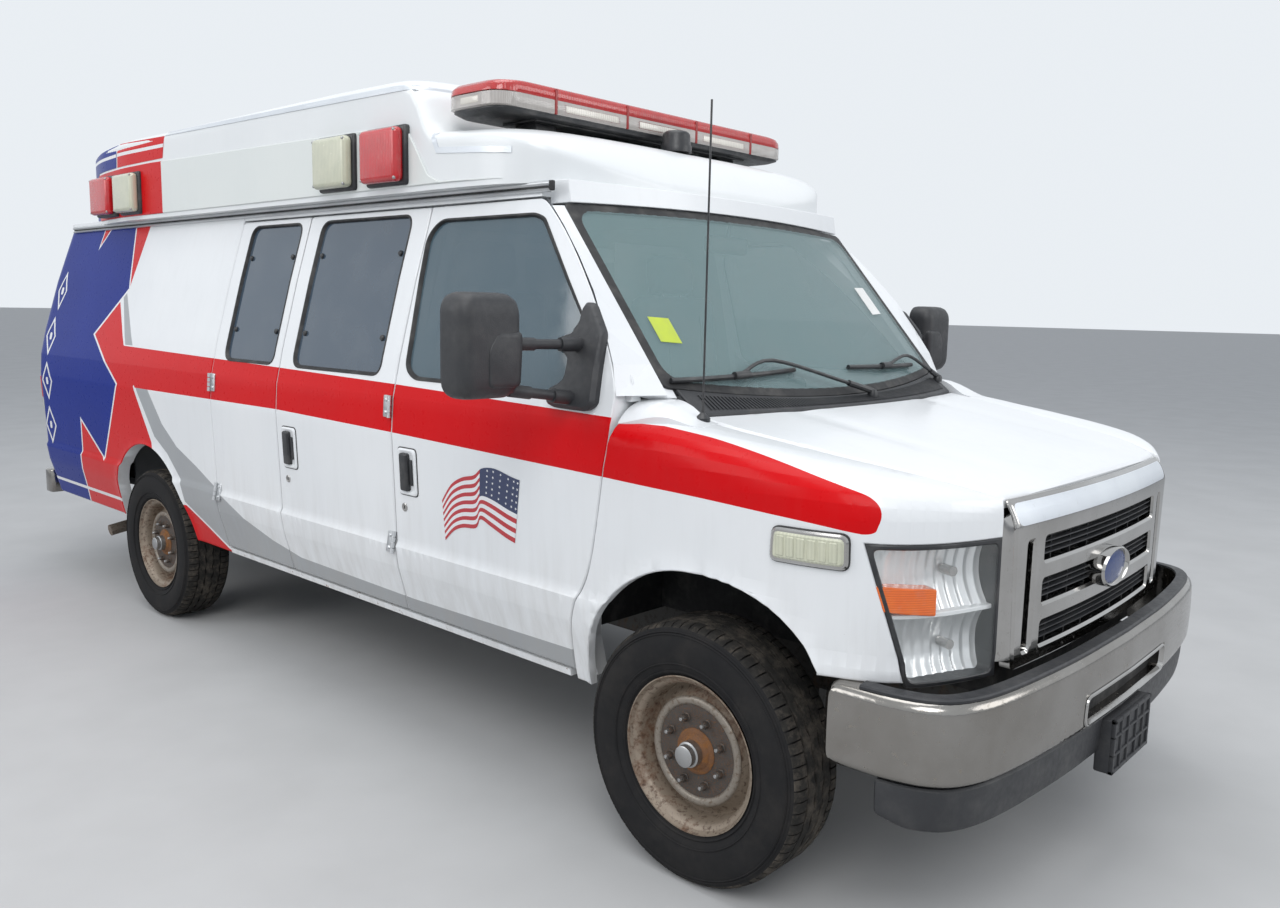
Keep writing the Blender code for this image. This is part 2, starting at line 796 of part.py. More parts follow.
def frame_ring(sign, rear, openings):
    front = [p for p in moved_in(front_door_outline(), -FRAME_LAP)[:13]]
    top, bottom = GUTTER_Z - EDGE_TRIM, SILL_Z + EDGE_TRIM
    front = [(y, z) for y, z in front if bottom < z < top - EDGE_TRIM]
    low, high = SHOULDER_REAR_Z - EDGE_TRIM, HOOD_REAR_Z + EDGE_TRIM * 3
    lower, upper = ([p for p in front if p[1] < low], [p for p in front if p[1] > high])
    notch = [(lower[-1][0], low), (DOOR_FRONT_Y, low), (DOOR_FRONT_Y, high), (upper[0][0], high)]
    front = lower + notch + upper
    outline = [(front[0][0], bottom), *front, (front[-1][0] + FRAME_LAP, top), (rear, top), (rear, bottom)]

    def face(depth):
        return lambda along, z: side_point(sign, along + pillar_shift(along, z, depth), z, depth)

    return panel(outline, openings, face(FRAME_SHALLOW), face(FRAME_DEEP), LEVELS)


def pillar(sign):
    # The windscreen pillar, with the flange that carries the glass.
    rings = []
    seat = SCREEN_DEPTH + SEAT_GAP
    for share in PILLAR_SHARES:
        front = screen_point(sign, share) + Vector((sign * LAMP_GAP, 0, 0))
        z = clamp((front.z - BELT_Z) / (DOOR_TOP_Z - BELT_Z)) * (DOOR_TOP_Z - BELT_Z) + BELT_Z
        y = pillar_edge(z) - PANEL_GAP - EDGE_TRIM / 2
        deep = FRAME_SHALLOW + EDGE_TRIM
        outer_side = side_point(sign, y, z)
        inner_side = side_point(sign, y + pillar_shift(y, z, deep), z, deep)
        behind = screen_point(sign * FLANGE_SHARE, share, seat + FLANGE_DEPTH)
        flange = screen_point(sign * FLANGE_SHARE, share, seat)
        corner = screen_point(sign, share, seat) + Vector((sign * LAMP_GAP, 0, 0))
        rings.append([tuple(p) for p in (front, outer_side, inner_side, behind, flange, corner)])
    return loft(rings)


PILLAR_SHARES = (-0.04, 0.12, 0.30, 0.50, 0.70, 0.88, 0.985)
PILLAR_SHIFT = 0.085
FLANGE_SHARE = 0.955
FLANGE_DEPTH = 0.025


def body_frames():
    door = moved_in(front_door_outline(), FRAME_FLANGE)
    for side, sign in SIDES:
        openings = [rounded(door, FRAME_FLANGE)]
        rear = B_GAP_Y + FRAME_LAP * 3
        strip_end = B_GAP_Y - PANEL_GAP / 2
        if sign < 0:
            low, high = B_GAP_Y + PANEL_GAP / 2, REAR_GAP_Y - PANEL_GAP / 2
            openings.append(rounded(moved_in(leaf(low, high), FRAME_FLANGE), FRAME_FLANGE))
            rear = REAR_GAP_Y + FRAME_LAP * 2
            strip_end = REAR_GAP_Y - PANEL_GAP / 2
        rail_front = mix(DOOR_FRONT_Y, B_GAP_Y, 0.46)
        deep = FRAME_SHALLOW + FRAME_DEPTH / 2
        rail = strip(sign, (rail_front, DOOR_TOP_Z + PANEL_GAP), (strip_end, GUTTER_Z), 0.0, deep)
        sill_front = mix(DOOR_FRONT_Y, B_GAP_Y, 0.20)
        sill = strip(sign, (sill_front, SILL_Z), (strip_end, DOOR_BOTTOM_Z - PANEL_GAP), 0.0, deep)
        node(f"body_frame_{side}", "white", [frame_ring(sign, rear, openings), rail, sill, pillar(sign)])


def quarter_outline(front):
    straight_end = REAR_FACE_Y - REAR_CORNER_RADIUS
    rear = straight_end + REAR_CORNER_RADIUS * math.pi / 2 - PANEL_GAP
    centre = (WHEELBASE, ARCH_CENTRE_Z)
    drop = math.asin((SILL_Z - ARCH_CENTRE_Z) / REAR_ARCH_RADIUS)
    arch = arc(centre, REAR_ARCH_RADIUS, math.pi - drop, drop, ARCH_SIDES)
    return [(front, SILL_Z), *arch, (rear, SILL_Z), (rear, GUTTER_Z), (front, GUTTER_Z)]


def quarters():
    for (side, sign), front in zip(SIDES, (REAR_GAP_Y + PANEL_GAP / 2, B_GAP_Y + PANEL_GAP / 2)):
        outline = quarter_outline(front)
        outer = lambda along, z: side_point(sign, along, z)
        inner = lambda along, z: side_point(sign, along, z, DOOR_DEPTH)
        node(f"quarter_panel_{side}", "white", [panel(outline, [], outer, inner, LEVELS, SIDE_COLUMNS)])


REAR_DOOR_BOTTOM_Z = 0.575
REAR_WINDOW_MARGIN = 0.120


def rear_surface(sign, u, z, depth=0.0):
    # u is measured from the middle at the widest height, and narrows with the body sides.
    narrow = (half_width(z) - REAR_CORNER_RADIUS) / REAR_EDGE_X
    spot = rear_point(u, z, depth)
    return Vector((sign * u * narrow, spot.y, z))


def rear_doors():
    free, hinge = PANEL_GAP / 2, REAR_EDGE_X
    foot, head = REAR_DOOR_BOTTOM_Z, DOOR_TOP_Z
    outline = [(free, foot), (hinge, foot), (hinge, head), (free, head)]
    low, high = free + REAR_WINDOW_MARGIN, hinge - REAR_WINDOW_MARGIN
    base, top = BELT_Z + WINDOW_RADIUS, DOOR_TOP_Z - WINDOW_RADIUS * 2
    window = rounded([(low, base), (high, base), (high, top), (low, top)], WINDOW_RADIUS)
    for side, sign in SIDES:

        def inner(u, z, sign=sign):
            drop = REAR_FACE_Y + DOOR_SWING_AXIS_OUT - rear_surface(sign, free, z).y
            reach = hinge - free
            shift = free_edge_shift(reach, drop) * (hinge - u) / reach
            return rear_surface(sign, u + shift, z, DOOR_DEPTH)

        outer = lambda u, z, sign=sign: rear_surface(sign, u, z)
        hinged_door(f"rear_{side}", (outer, inner), outline, window, REAR_COLUMNS)


def rear_frame():
    ring_half = REAR_EDGE_X - PANEL_GAP
    deep = FRAME_SHALLOW + FRAME_DEPTH / 2

    def piece(half, low, high, shallow, inner_depth, holes=()):
        outline = [(-half, low), (half, low), (half, high), (-half, high)]
        outer = lambda u, z: rear_surface(1, u, z, shallow)
        inner = lambda u, z: rear_surface(1, u, z, inner_depth)
        return panel(outline, holes, outer, inner, LEVELS, REAR_COLUMNS)

    edge = FRAME_FLANGE
    low, high = REAR_DOOR_BOTTOM_Z + edge, DOOR_TOP_Z - edge
    side = REAR_EDGE_X - edge * 2
    hole = rounded([(-side, low), (side, low), (side, high), (-side, high)], edge)
    ring = piece(ring_half, SILL_Z + EDGE_TRIM, GUTTER_Z - EDGE_TRIM, FRAME_SHALLOW, FRAME_DEEP, [hole])
    header = piece(REAR_EDGE_X - PANEL_GAP / 2, DOOR_TOP_Z + PANEL_GAP, GUTTER_Z, 0.0, deep)
    sill = piece(REAR_EDGE_X - PANEL_GAP / 2, SILL_Z, REAR_DOOR_BOTTOM_Z - PANEL_GAP, 0.0, deep)
    node("rear_frame", "white", [ring, header, sill])


ARCH_FRONT_POWER = 0.80
ARCH_HALF_LENGTH = 0.435
ARCH_HEIGHT = 0.445
LAMP_SEAM_TOP_Y = -0.500
LAMP_SEAM_BOTTOM_Y = -0.585
LAMP_GAP = 0.0008


def front_arch():
    # From the rear foot over the top to the bumper's edge, as (run, z).
    points = []
    for step in range(ARCH_SIDES + 1):
        turn = math.pi * step / ARCH_SIDES
        front = turn > math.pi / 2
        power = ARCH_FRONT_POWER if front else 1.0
        y = math.copysign(abs(math.cos(turn)) ** power, math.cos(turn)) * ARCH_HALF_LENGTH
        z = ARCH_CENTRE_Z + max(math.sin(turn), 0.0) ** power * ARCH_HEIGHT
        if front and z < BUMPER_TOP_Z:
            continue
        points.append((nose_run(FRONT_ARCH_CENTRE_Y + y), max(z, SILL_Z)))
    return points


def fender_outline():
    door = [(y, z) for y, z in front_door_outline()[:8]]
    rear = [(nose_run(y - PANEL_GAP), z) for y, z in door if z < SHOULDER_REAR_Z]
    edge = nose_run(DOOR_FRONT_Y - PANEL_GAP)
    corner = (edge, SHOULDER_REAR_Z + SHOULDER_RUN)
    foot = (rear[0][0], SILL_Z)
    lamp_low, lamp_high = nose_run(LAMP_SEAM_BOTTOM_Y), nose_run(LAMP_SEAM_TOP_Y)
    base = BUMPER_TOP_Z + SEAT_GAP
    top = [(run, shoulder_z(run) + SHOULDER_RUN) for run in (row[0] for row in reversed(NOSE[:-2]))]
    arch = list(reversed(front_arch()))
    lamp = [(0.0, LAMP_TOP_Z), (lamp_high, LAMP_TOP_Z), (lamp_low, base)]
    curl = (edge, SHOULDER_REAR_Z + SHOULDER_RUN / 4)
    return [foot, *rear, curl, corner, *top, *lamp, (arch[0][0], base), *arch]


def fenders():
    outline = fender_outline()
    rows = [level for level in LEVELS if level < SHOULDER_FRONT_Z]
    rows += evenly(SHOULDER_FRONT_Z, SHOULDER_REAR_Z + SHOULDER_RUN, SHOULDER_RUN / 4)
    for side, sign in SIDES:
        outer = lambda run, z: fender_point(sign, run, z)
        inner = lambda run, z: fender_point(sign, run, z, FENDER_DEPTH)
        node(f"fender_{side}", "white", [panel(outline, [], outer, inner, rows, NOSE_RUNS)])


def headlamps():
    low, high = nose_run(LAMP_SEAM_BOTTOM_Y), nose_run(LAMP_SEAM_TOP_Y)
    base, top = LAMP_BOTTOM_Z, LAMP_TOP_Z - LAMP_GAP
    low = mix(high, low, (LAMP_TOP_Z - base) / (LAMP_TOP_Z - BUMPER_TOP_Z - SEAT_GAP))
    outline = [(0.0, base), (low - LAMP_GAP * 2, base), (high - LAMP_GAP * 2, top), (0.0, top)]
    for side, sign in SIDES:
        outer = lambda run, z: fender_point(sign, run, z)
        inner = lambda run, z: fender_point(sign, run, z, LAMP_DEPTH)
        node(f"headlamp_{side}", "lamp", [panel(outline, [], outer, inner, LEVELS, NOSE_RUNS)])


COWL_DEPTH = 0.010


def hood_rear_y(x):
    return HOOD_REAR_Y + HOOD_REAR_BOW * (x / SCREEN_BASE_HALF) ** 2


def hood():
    seam = [(row[3] - PANEL_GAP, row[4]) for row in NOSE if row[4] < hood_rear_y(row[3]) - PANEL_GAP]
    corner_x = NOSE[-3][3] - PANEL_GAP
    rear = [(corner_x * share, hood_rear_y(corner_x * share)) for share in (1, 0.75, 0.5, 0.25, 0)]
    nose_x, nose_y = seam[0]
    nose = [(nose_x * share, nose_y - GRILLE_BOW * (1 - share**2)) for share in (0, 0.25, 0.5, 0.75)]
    half = nose[1:] + seam + rear
    outline = nose[:1] + half + [(-x, y) for x, y in reversed(half[:-1])]
    outer = lambda x, y: Vector((x, y, hood_z(x, y)))
    inner = lambda x, y: Vector((x, y, hood_z(x, y) - HOOD_DEPTH))
    rows = evenly(HOOD_FRONT_Y, HOOD_REAR_Y + HOOD_REAR_BOW, SHOULDER_RUN * 0.6)
    columns = evenly(-corner_x, corner_x, SHOULDER_RUN)
    node("hood", "white", [panel(outline, [], outer, inner, rows, columns)])


def screen_foot_y(x):
    return SCREEN_BASE_Y + SCREEN_BASE_SWEEP * (x / SCREEN_BASE_HALF) ** 2 - LAMP_GAP


def cowl_z(x, y):
    low, high = hood_rear_y(x), screen_foot_y(x)
    rise = SCREEN_BASE_Z + SCREEN_BASE_RISE * (x / SCREEN_BASE_HALF) ** 2
    return mix(hood_z(x, low), rise, clamp((y - low) / (high - low)))


def cowl():
    half = SCREEN_BASE_HALF - FENDER_DEPTH * 2
    shares = [step / 8 for step in range(-8, 9)]
    front = [(half * share, hood_rear_y(half * share) + PANEL_GAP) for share in shares]
    rear = [(half * share, screen_foot_y(half * share)) for share in reversed(shares)]
    outer = lambda x, y: Vector((x, y, cowl_z(x, y)))
    inner = lambda x, y: Vector((x, y, cowl_z(x, y) - COWL_DEPTH))
    node("cowl_grille", "black", [panel(front + rear, [], outer, inner, ())])


def windscreen():
    half, tall = SCREEN_BASE_HALF, math.hypot(SCREEN_TOP_Z - SCREEN_BASE_Z, SCREEN_TOP_Y - SCREEN_BASE_Y)
    corners = [(-half, 0.0), (half, 0.0), (half, tall), (-half, tall)]
    outline = rounded(moved_in(corners, LAMP_GAP), WINDOW_RADIUS / 2)
    outer = lambda u, v: screen_point(u / half, v / tall)
    inner = lambda u, v: screen_point(u / half, v / tall, SCREEN_DEPTH)
    edge = half * FLANGE_SHARE
    columns = [-edge, *evenly(-edge, edge, SHOULDER_RUN), edge]
    rows = [tall * share for share in PILLAR_SHARES]
    node("windscreen", "glass", [panel(outline, [], outer, inner, rows, columns)])


# Raised roof, its lamps and the light bar

# Place from front to rear in shares of the roof length, half width share, side top share, top share of its height
ROOF_SHARES = (
    (0.000, 0.34, 0.02, 0.05),
    (0.008, 0.620, 0.080, 0.150),
    (0.021, 0.800, 0.150, 0.280),
    (0.044, 0.940, 0.240, 0.410),
    (0.085, 0.990, 0.300, 0.485),
    (0.153, 1.000, 0.350, 0.520),
    (0.183, 0.995, 0.740, 0.885),
    (0.208, 0.995, 0.780, 0.980),
    (0.322, 0.995, 0.790, 1.000),
    (0.770, 0.995, 0.790, 1.000),
    (0.860, 0.965, 0.785, 0.990),
    (0.935, 0.895, 0.760, 0.955),
    (0.980, 0.790, 0.700, 0.880),
    (1.000, 0.640, 0.520, 0.620),
)
ROOF_FRONT_Y = 0.668
ROOF_ARC_SHARES = (0.0, 0.25, 0.55, 1.0)
# Middles of the side lamps, along the raised roof
LAMP_SHARES = (0.214, 0.294, 0.767, 0.841)
MOUTH_SHARES = (0.090, 0.900)
DECK_SHARE = 0.700
DECK_DEPTH = 0.022


def roof_section(row, wall=0.0):
    place, half_share, side_share, top_share = row
    base = GUTTER_Z + SEAT_GAP
    rise = ROOF_TOP_Z - base
    half = ROOF_HALF * half_share - wall
    side, top = base + rise * side_share - wall, base + rise * top_share - wall
    arch = []
    for share in ROOF_ARC_SHARES:
        turn = share * math.pi / 2
        arch.append((half * math.cos(turn) ** ROOF_POWER, mix(side, top, math.sin(turn) ** ROOF_POWER)))
    y = mix(ROOF_FRONT_Y, ROOF_REAR_Y, place)
    right = [(-x, y, z) for x, z in arch]
    left = [(x, y, z) for x, z in reversed(arch[:-1])]
    floor = base - (BOOLEAN_OVERRUN if wall else 0.0)
    return [(-half, y, floor), *right, *left, (half, y, floor)]


ROOF_POWER = 0.55
ROOF_FLANGE = 0.140
ROOF_FLANGE_HEIGHT = 0.045


def roof():
    shell = loft([roof_section(row) for row in ROOF_SHARES])
    hollow = ROOF_SHARES[4:-1]
    cavity = loft([lifted(roof_section(row, ROOF_WALL), GUTTER_Z + ROOF_FLANGE_HEIGHT) for row in hollow])
    front, rear = (mix(ROOF_FRONT_Y, ROOF_REAR_Y, share) for share in MOUTH_SHARES)
    opening_half = ROOF_HALF - ROOF_FLANGE
    mouth = box(
        (-opening_half, front, GUTTER_Z - BOOLEAN_OVERRUN),
        (opening_half, rear, GUTTER_Z + ROOF_FLANGE_HEIGHT + BOOLEAN_OVERRUN),
    )
    pieces = [shell, header(), deck()]
    rail_front, rail_rear = mix(DOOR_FRONT_Y, B_GAP_Y, 0.42), REAR_FACE_Y - REAR_CORNER_RADIUS
    for _, sign in SIDES:
        low, high = (rail_front, GUTTER_Z - RAIL_LIP * 1.4), (rail_rear, GUTTER_Z + EDGE_TRIM)
        pieces.append(strip(sign, low, high, -RAIL_LIP, -SEAT_GAP))
        for share in LAMP_SHARES:
            pieces.append(lamp_box(sign, mix(ROOF_FRONT_Y, ROOF_REAR_Y, share)))
    dome_y = ROOF_FRONT_Y + (LIGHT_BAR_Y - ROOF_FRONT_Y) * 0.55
    dome_base = ROOF_CAP_Z - BOOLEAN_OVERRUN
    place = lambda a, b, c: Vector((a, dome_y + b, dome_base + c))
    tall = DOME_HEIGHT + BOOLEAN_OVERRUN
    profile = [(0, 0), (DOME_RADIUS, 0), (DOME_RADIUS, tall * 0.8), (DOME_RADIUS * 0.7, tall), (0, tall)]
    pieces.append(lathe(profile, place, HUB_SIDES))
    node("roof_raised", "white", pieces, [cavity, mouth])


def lifted(ring, floor):
    # The section with its lowest points raised to the floor.
    return [(x, y, max(z, floor)) for x, y, z in ring]


def deck():
    # The flat rim of the body's roof behind the raised part, with a small overhang.
    corner_end = SIDE_END_Y + REAR_CORNER_RADIUS * math.pi / 2
    places = [mix(ROOF_FRONT_Y, ROOF_REAR_Y, DECK_SHARE), *SIDE_COLUMNS, corner_end]
    half = [side_point(1, along, GUTTER_Z, -RAIL_LIP / 2) for along in places]
    outline = [(spot.x, spot.y) for spot in half] + [(-spot.x, spot.y) for spot in reversed(half)]
    base = GUTTER_Z + SEAT_GAP * 2
    return loft([[(x, y, z) for x, y in outline] for z in (base, base + DECK_DEPTH)])


def lamp_box(sign, place):
    xs = sorted((sign * (ROOF_HALF - ROOF_WALL), sign * (ROOF_HALF + LAMP_PROUD)))
    low = (xs[0], place - LAMP_WIDTH / 2, LAMP_Z - LAMP_HEIGHT / 2)
    high = (xs[1], place + LAMP_WIDTH / 2, LAMP_Z + LAMP_HEIGHT / 2)
    return box(low, high)


def header():
    # The lip of the roof over the windscreen.
    rings = []
    for step in range(-4, 5):
        share = step / 4 * HEADER_SHARE
        top = screen_point(share, 1.0)
        deep = top.y + PILLAR_DEPTH
        base = top.z + EDGE_TRIM / 2
        rings.append([
            (top.x, top.y - EDGE_TRIM, base),
            (top.x, deep, base),
            (top.x, deep, GUTTER_Z + BOOLEAN_OVERRUN),
            (top.x, top.y + EDGE_TRIM, GUTTER_Z + BOOLEAN_OVERRUN),
        ])
    return loft(rings)


HEADER_SHARE = 0.97
BAR_FOOT_X = 0.520
BAR_FOOT_WIDTH = 0.060


# Light bar: scale of its plan, then place up as a share of half its height
LIGHT_BAR_SHARES = ((0.97, -1.0), (1.0, -0.7), (1.0, 0.5), (0.95, 1.0))


def light_bar():
    half, deep, tall = LIGHT_BAR_LENGTH / 2, LIGHT_BAR_DEPTH / 2, LIGHT_BAR_HEIGHT / 2
    corners = [(-half, -deep), (half, -deep), (half, deep), (-half, deep)]
    plan = rounded(corners, deep * 0.6, 4)
    place = lambda scale, z: [(x * scale, LIGHT_BAR_Y + y * scale, LIGHT_BAR_Z + z) for x, y in plan]
    body = loft([place(scale, tall * rise) for scale, rise in LIGHT_BAR_SHARES])
    pieces = [body]
    reach = BAR_FOOT_WIDTH
    for _, sign in SIDES:
        x, y = sign * BAR_FOOT_X, LIGHT_BAR_Y
        spots = [(x + a * reach, y + b * reach) for a, b in ((-1, -1), (1, -1), (1, 1), (-1, 1))]
        sole = [(*spot, z + SEAT_GAP) for spot, z in zip(spots, heights_on("roof_raised", spots))]
        pieces.append(loft([sole, [(*spot, LIGHT_BAR_Z) for spot in spots]]))
    node("light_bar", "red", pieces)


# Nose pieces

BUMPER_PLAN_SHARES = (
    (0.00, -0.980),
    (0.30, -0.973),
    (0.60, -0.950),
    (0.80, -0.918),
    (0.92, -0.860),
    (0.975, -0.770),
    (0.995, -0.660),
    (1.000, -0.500),
)
BUMPER_SLOT_HALF = 0.330
BUMPER_SLOT_LOW_Z = 0.522
BUMPER_SLOT_HIGH_Z = 0.578
VALANCE_SETBACK = 0.018


def bumper_stations():
    rows, run, before = [], 0.0, None
    for across, along in BUMPER_PLAN_SHARES:
        here = Vector((across * BUMPER_HALF_WIDTH, along * FRONT_OVERHANG))
        run += (here - before).length if before else 0.0
        rows.append((run, here.x, here.y))
        before = here
    return rows


BUMPER = bumper_stations()
BUMPER_COLUMNS = [sign * row[0] for row in BUMPER[1:-1] for sign in (-1, 1)] + [BUMPER[0][0]]


def bumper_point(run, z, depth=0.0):
    sign = -1 if run < 0 else 1
    place, step = abs(run), BUMPER[1][0] / 8
    x, y = curve_value(BUMPER, place, 1), curve_value(BUMPER, place, 2)
    ahead = (curve_value(BUMPER, place + step, 1), curve_value(BUMPER, place + step, 2))
    behind = (curve_value(BUMPER, place - step, 1), curve_value(BUMPER, place - step, 2))
    tangent = Vector((ahead[0] - behind[0], ahead[1] - behind[1])).normalized()
    return Vector((sign * (x - tangent.y * depth), y + tangent.x * depth, z))


def front_bumper():
    run = BUMPER[-1][0]
    low, high = BUMPER_BOTTOM_Z, BUMPER_TOP_Z
    outline = [(-run, low), (run, low), (run, high), (-run, high)]
    half = BUMPER_SLOT_HALF
    base, top = BUMPER_SLOT_LOW_Z, BUMPER_SLOT_HIGH_Z
    slot = [(-half, base), (half, base), (half, top), (-half, top)]
    inner = lambda place, z: bumper_point(place, z, BUMPER_DEPTH)
    slot = rounded(slot, EDGE_TRIM * 3)
    node("front_bumper", "chrome", [panel(outline, [slot], bumper_point, inner, (), BUMPER_COLUMNS)])


def front_valance():
    run = BUMPER[-3][0]
    top = BUMPER_BOTTOM_Z - SEAT_GAP
    outline = [(-run, VALANCE_BOTTOM_Z), (run, VALANCE_BOTTOM_Z), (run, top), (-run, top)]
    outer = lambda place, z: bumper_point(place, z, VALANCE_SETBACK)
    inner = lambda place, z: bumper_point(place, z, BUMPER_DEPTH)
    skirt = panel(outline, [], outer, inner, (), BUMPER_COLUMNS)
    plate_front = -FRONT_OVERHANG
    plate = box(
        (-PLATE_WIDTH / 2, plate_front, top - PLATE_HEIGHT),
        (PLATE_WIDTH / 2, BUMPER[0][2] + VALANCE_SETBACK * 2, top - EDGE_TRIM),
    )
    node("front_valance", "black", [skirt, plate])


GRILLE_FRONT_Y = -0.757
GRILLE_BOW = 0.030
GRILLE_BACK_Y = -0.665
GRILLE_STRIP_Z = 1.073
GRILLE_STRIP_LEAN = 0.032
GRILLE_SLOT_WIDTH = 0.035
GRILLE_FRAME = 0.042


def grille_front(x, z):
    lean = GRILLE_STRIP_LEAN * clamp((z - GRILLE_STRIP_Z) / (GRILLE_TOP_Z - GRILLE_STRIP_Z)) ** 1.5
    return Vector((x, GRILLE_FRONT_Y + GRILLE_BOW * (x / GRILLE_TOP_HALF) ** 2 + lean, z))


def grille():
    top, base = GRILLE_TOP_HALF, GRILLE_BOTTOM_HALF
    outline = [(-base, GRILLE_BOTTOM_Z), (base, GRILLE_BOTTOM_Z), (top, GRILLE_STRIP_Z), (top, GRILLE_TOP_Z)]
    outline += [(-top, GRILLE_TOP_Z), (-top, GRILLE_STRIP_Z)]
    slot_low, slot_high = GRILLE_BOTTOM_Z + GRILLE_FRAME, GRILLE_STRIP_Z - GRILLE_FRAME
    holes = []
    for sign in (-1, 1):
        outer_x = base - GRILLE_FRAME
        xs = sorted((sign * outer_x, sign * (outer_x - GRILLE_SLOT_WIDTH)))
        holes.append([(xs[0], slot_low), (xs[1], slot_low), (xs[1], slot_high), (xs[0], slot_high)])
    half = base - GRILLE_FRAME * 2.4 - GRILLE_SLOT_WIDTH
    pitch = (slot_high - slot_low + GRILLE_BAR) / 3
    for row in range(3):
        low = slot_low + pitch * row
        high = low + pitch - GRILLE_BAR
        holes.append([(-half, low), (half, low), (half, high), (-half, high)])

    def inner(x, z):
        in_strip = z >= GRILLE_STRIP_Z + MERGE
        return Vector((x, grille_front(x, z).y + EDGE_TRIM / 2 if in_strip else GRILLE_BACK_Y, z))

    rows = evenly(GRILLE_STRIP_Z, GRILLE_TOP_Z, GRILLE_FRAME)
    columns = evenly(-top, top, GRILLE_FRAME * 6)
    face = panel(outline, holes, grille_front, inner, [GRILLE_STRIP_Z, *rows], columns)
    middle = (slot_low + slot_high) / 2
    oval = arc((0, 0), 1.0, 0, 2 * math.pi, 20)[:-1]
    place = lambda a, b, c: Vector((a * BOSS_WIDTH / 2, c, middle + b * BOSS_HEIGHT / 2))
    boss_front = GRILLE_FRONT_Y - BOOLEAN_OVERRUN
    boss = extruded(oval, place, boss_front, GRILLE_BACK_Y - BOOLEAN_OVERRUN)
    node("grille", "chrome", [face, boss])


# Mirrors and antenna

MIRROR_Y = 0.500
MIRROR_OUT = 0.285
MIRROR_LOW_Z = 1.340
MIRROR_BASE_FRONT_Y = 0.335
MIRROR_BASE_REAR_Y = 0.450
MIRROR_BASE_TOP_Z = 1.560
MIRROR_BASE_LEAN = 0.100
ARM_RADIUS = 0.016
ARM_LOW_SHARE = 0.12
ARM_HIGH_SHARE = 0.70


def mirrors():
    for side, sign in SIDES:
        lean = MIRROR_BASE_LEAN
        outline = [
            (MIRROR_BASE_FRONT_Y, BELT_Z),
            (MIRROR_BASE_REAR_Y, BELT_Z),
            (MIRROR_BASE_REAR_Y + lean / 4, MIRROR_BASE_TOP_Z),
            (MIRROR_BASE_FRONT_Y + lean, MIRROR_BASE_TOP_Z),
        ]
        outer = lambda along, z, sign=sign: side_point(sign, along, z, -ARM_RADIUS * 2)
        inner = lambda along, z, sign=sign: side_point(sign, along, z, -SEAT_GAP)
        pieces = [panel(outline, [], outer, inner, LEVELS)]
        middle = sign * (HALF_WIDTH + MIRROR_OUT)
        half, deep = MIRROR_WIDTH / 2, MIRROR_DEPTH / 2
        corners = [(-half, 0.0), (half, 0.0), (half, MIRROR_HEIGHT), (-half, MIRROR_HEIGHT)]
        face = rounded(corners, half * 0.5)
        rings = []
        for share, scale in ((-1.0, 0.72), (-0.5, 0.94), (0.2, 1.0), (1.0, 0.98)):
            y = MIRROR_Y + deep * share
            mid = MIRROR_HEIGHT / 2
            rings.append([(middle + x * scale, y, MIRROR_LOW_Z + mid + (z - mid) * scale) for x, z in face])
        pieces.append(loft(rings))
        for share in (ARM_LOW_SHARE, ARM_HIGH_SHARE):
            z = MIRROR_LOW_Z + MIRROR_HEIGHT * share
            base_y = (MIRROR_BASE_FRONT_Y + MIRROR_BASE_REAR_Y) / 2
            start = side_point(sign, base_y, z, -ARM_RADIUS)
            pieces.append(rod(start, (middle, MIRROR_Y, z + ARM_RADIUS), ARM_RADIUS))
        node(f"mirror_{side}", "black", pieces)


WHIP_X = 0.824
WHIP_Y = 0.100
WHIP_BASE_RADIUS = 0.022
WHIP_BASE_HEIGHT = 0.030


def whip_antenna():
    rim = arc((-WHIP_X, WHIP_Y), WHIP_BASE_RADIUS, 0, 2 * math.pi, HUB_SIDES)
    base = max(heights_on("fender_right", rim)) + SEAT_GAP
    top = base + WHIP_HEIGHT
    profile = [
        (0, base),
        (WHIP_BASE_RADIUS, base),
        (WHIP_BASE_RADIUS, base + WHIP_BASE_HEIGHT / 2),
        (WHIP_RADIUS * 2, base + WHIP_BASE_HEIGHT),
        (WHIP_RADIUS, base + WHIP_BASE_HEIGHT * 2),
        (WHIP_RADIUS, top),
        (0, top),
    ]
    place = lambda a, b, c: Vector((a - WHIP_X, WHIP_Y + b, c))
    node("whip_antenna", "black", [lathe(profile, place, HUB_SIDES)])


# Wheels: along runs outwards from the wheel's middle plane

RIM_PROFILE_SHARES = (
    # radius as a share of RIM_RADIUS, along as a share of half of RIM_WIDTH
    (0.947, 0.830),
    (0.868, 0.300),
    (0.868, -0.340),
    (0.947, -0.830),
    (1.000, -1.000),
    (0.880, -1.000),
    (0.835, -0.020),
    (0.640, 0.400),
    (0.290, 0.430),
)
RIM_FACE_SHARES = (
    (0.290, 0.560),
    (0.600, 0.590),
    (0.842, 0.140),
    (0.890, 0.760),
    (1.000, 1.000),
)
HUB_NOSE_RADIUS = 0.036
HUB_NOSE_END = 0.112
HUB_BACK = -0.045
TYRE_PROFILE_SHARES = (
    # radius as a share from the rim to the tread, along as a share of half of TYRE_WIDTH
    (-0.075, 0.690),
    (0.120, 0.870),
    (0.500, 1.000),
    (0.880, 0.920),
    (1.000, 0.640),
)


def wheel_places():
    rows = []
    for end, y, track in (("front", 0.0, FRONT_TRACK), ("rear", WHEELBASE, REAR_TRACK)):
        for side, sign in SIDES:
            rows.append((f"{end}_{side}", sign, y, track / 2))
    return rows


def wheel_frame(sign, y, middle):
    return lambda a, b, c: Vector((sign * (middle + c), y + a, TYRE_RADIUS + b))


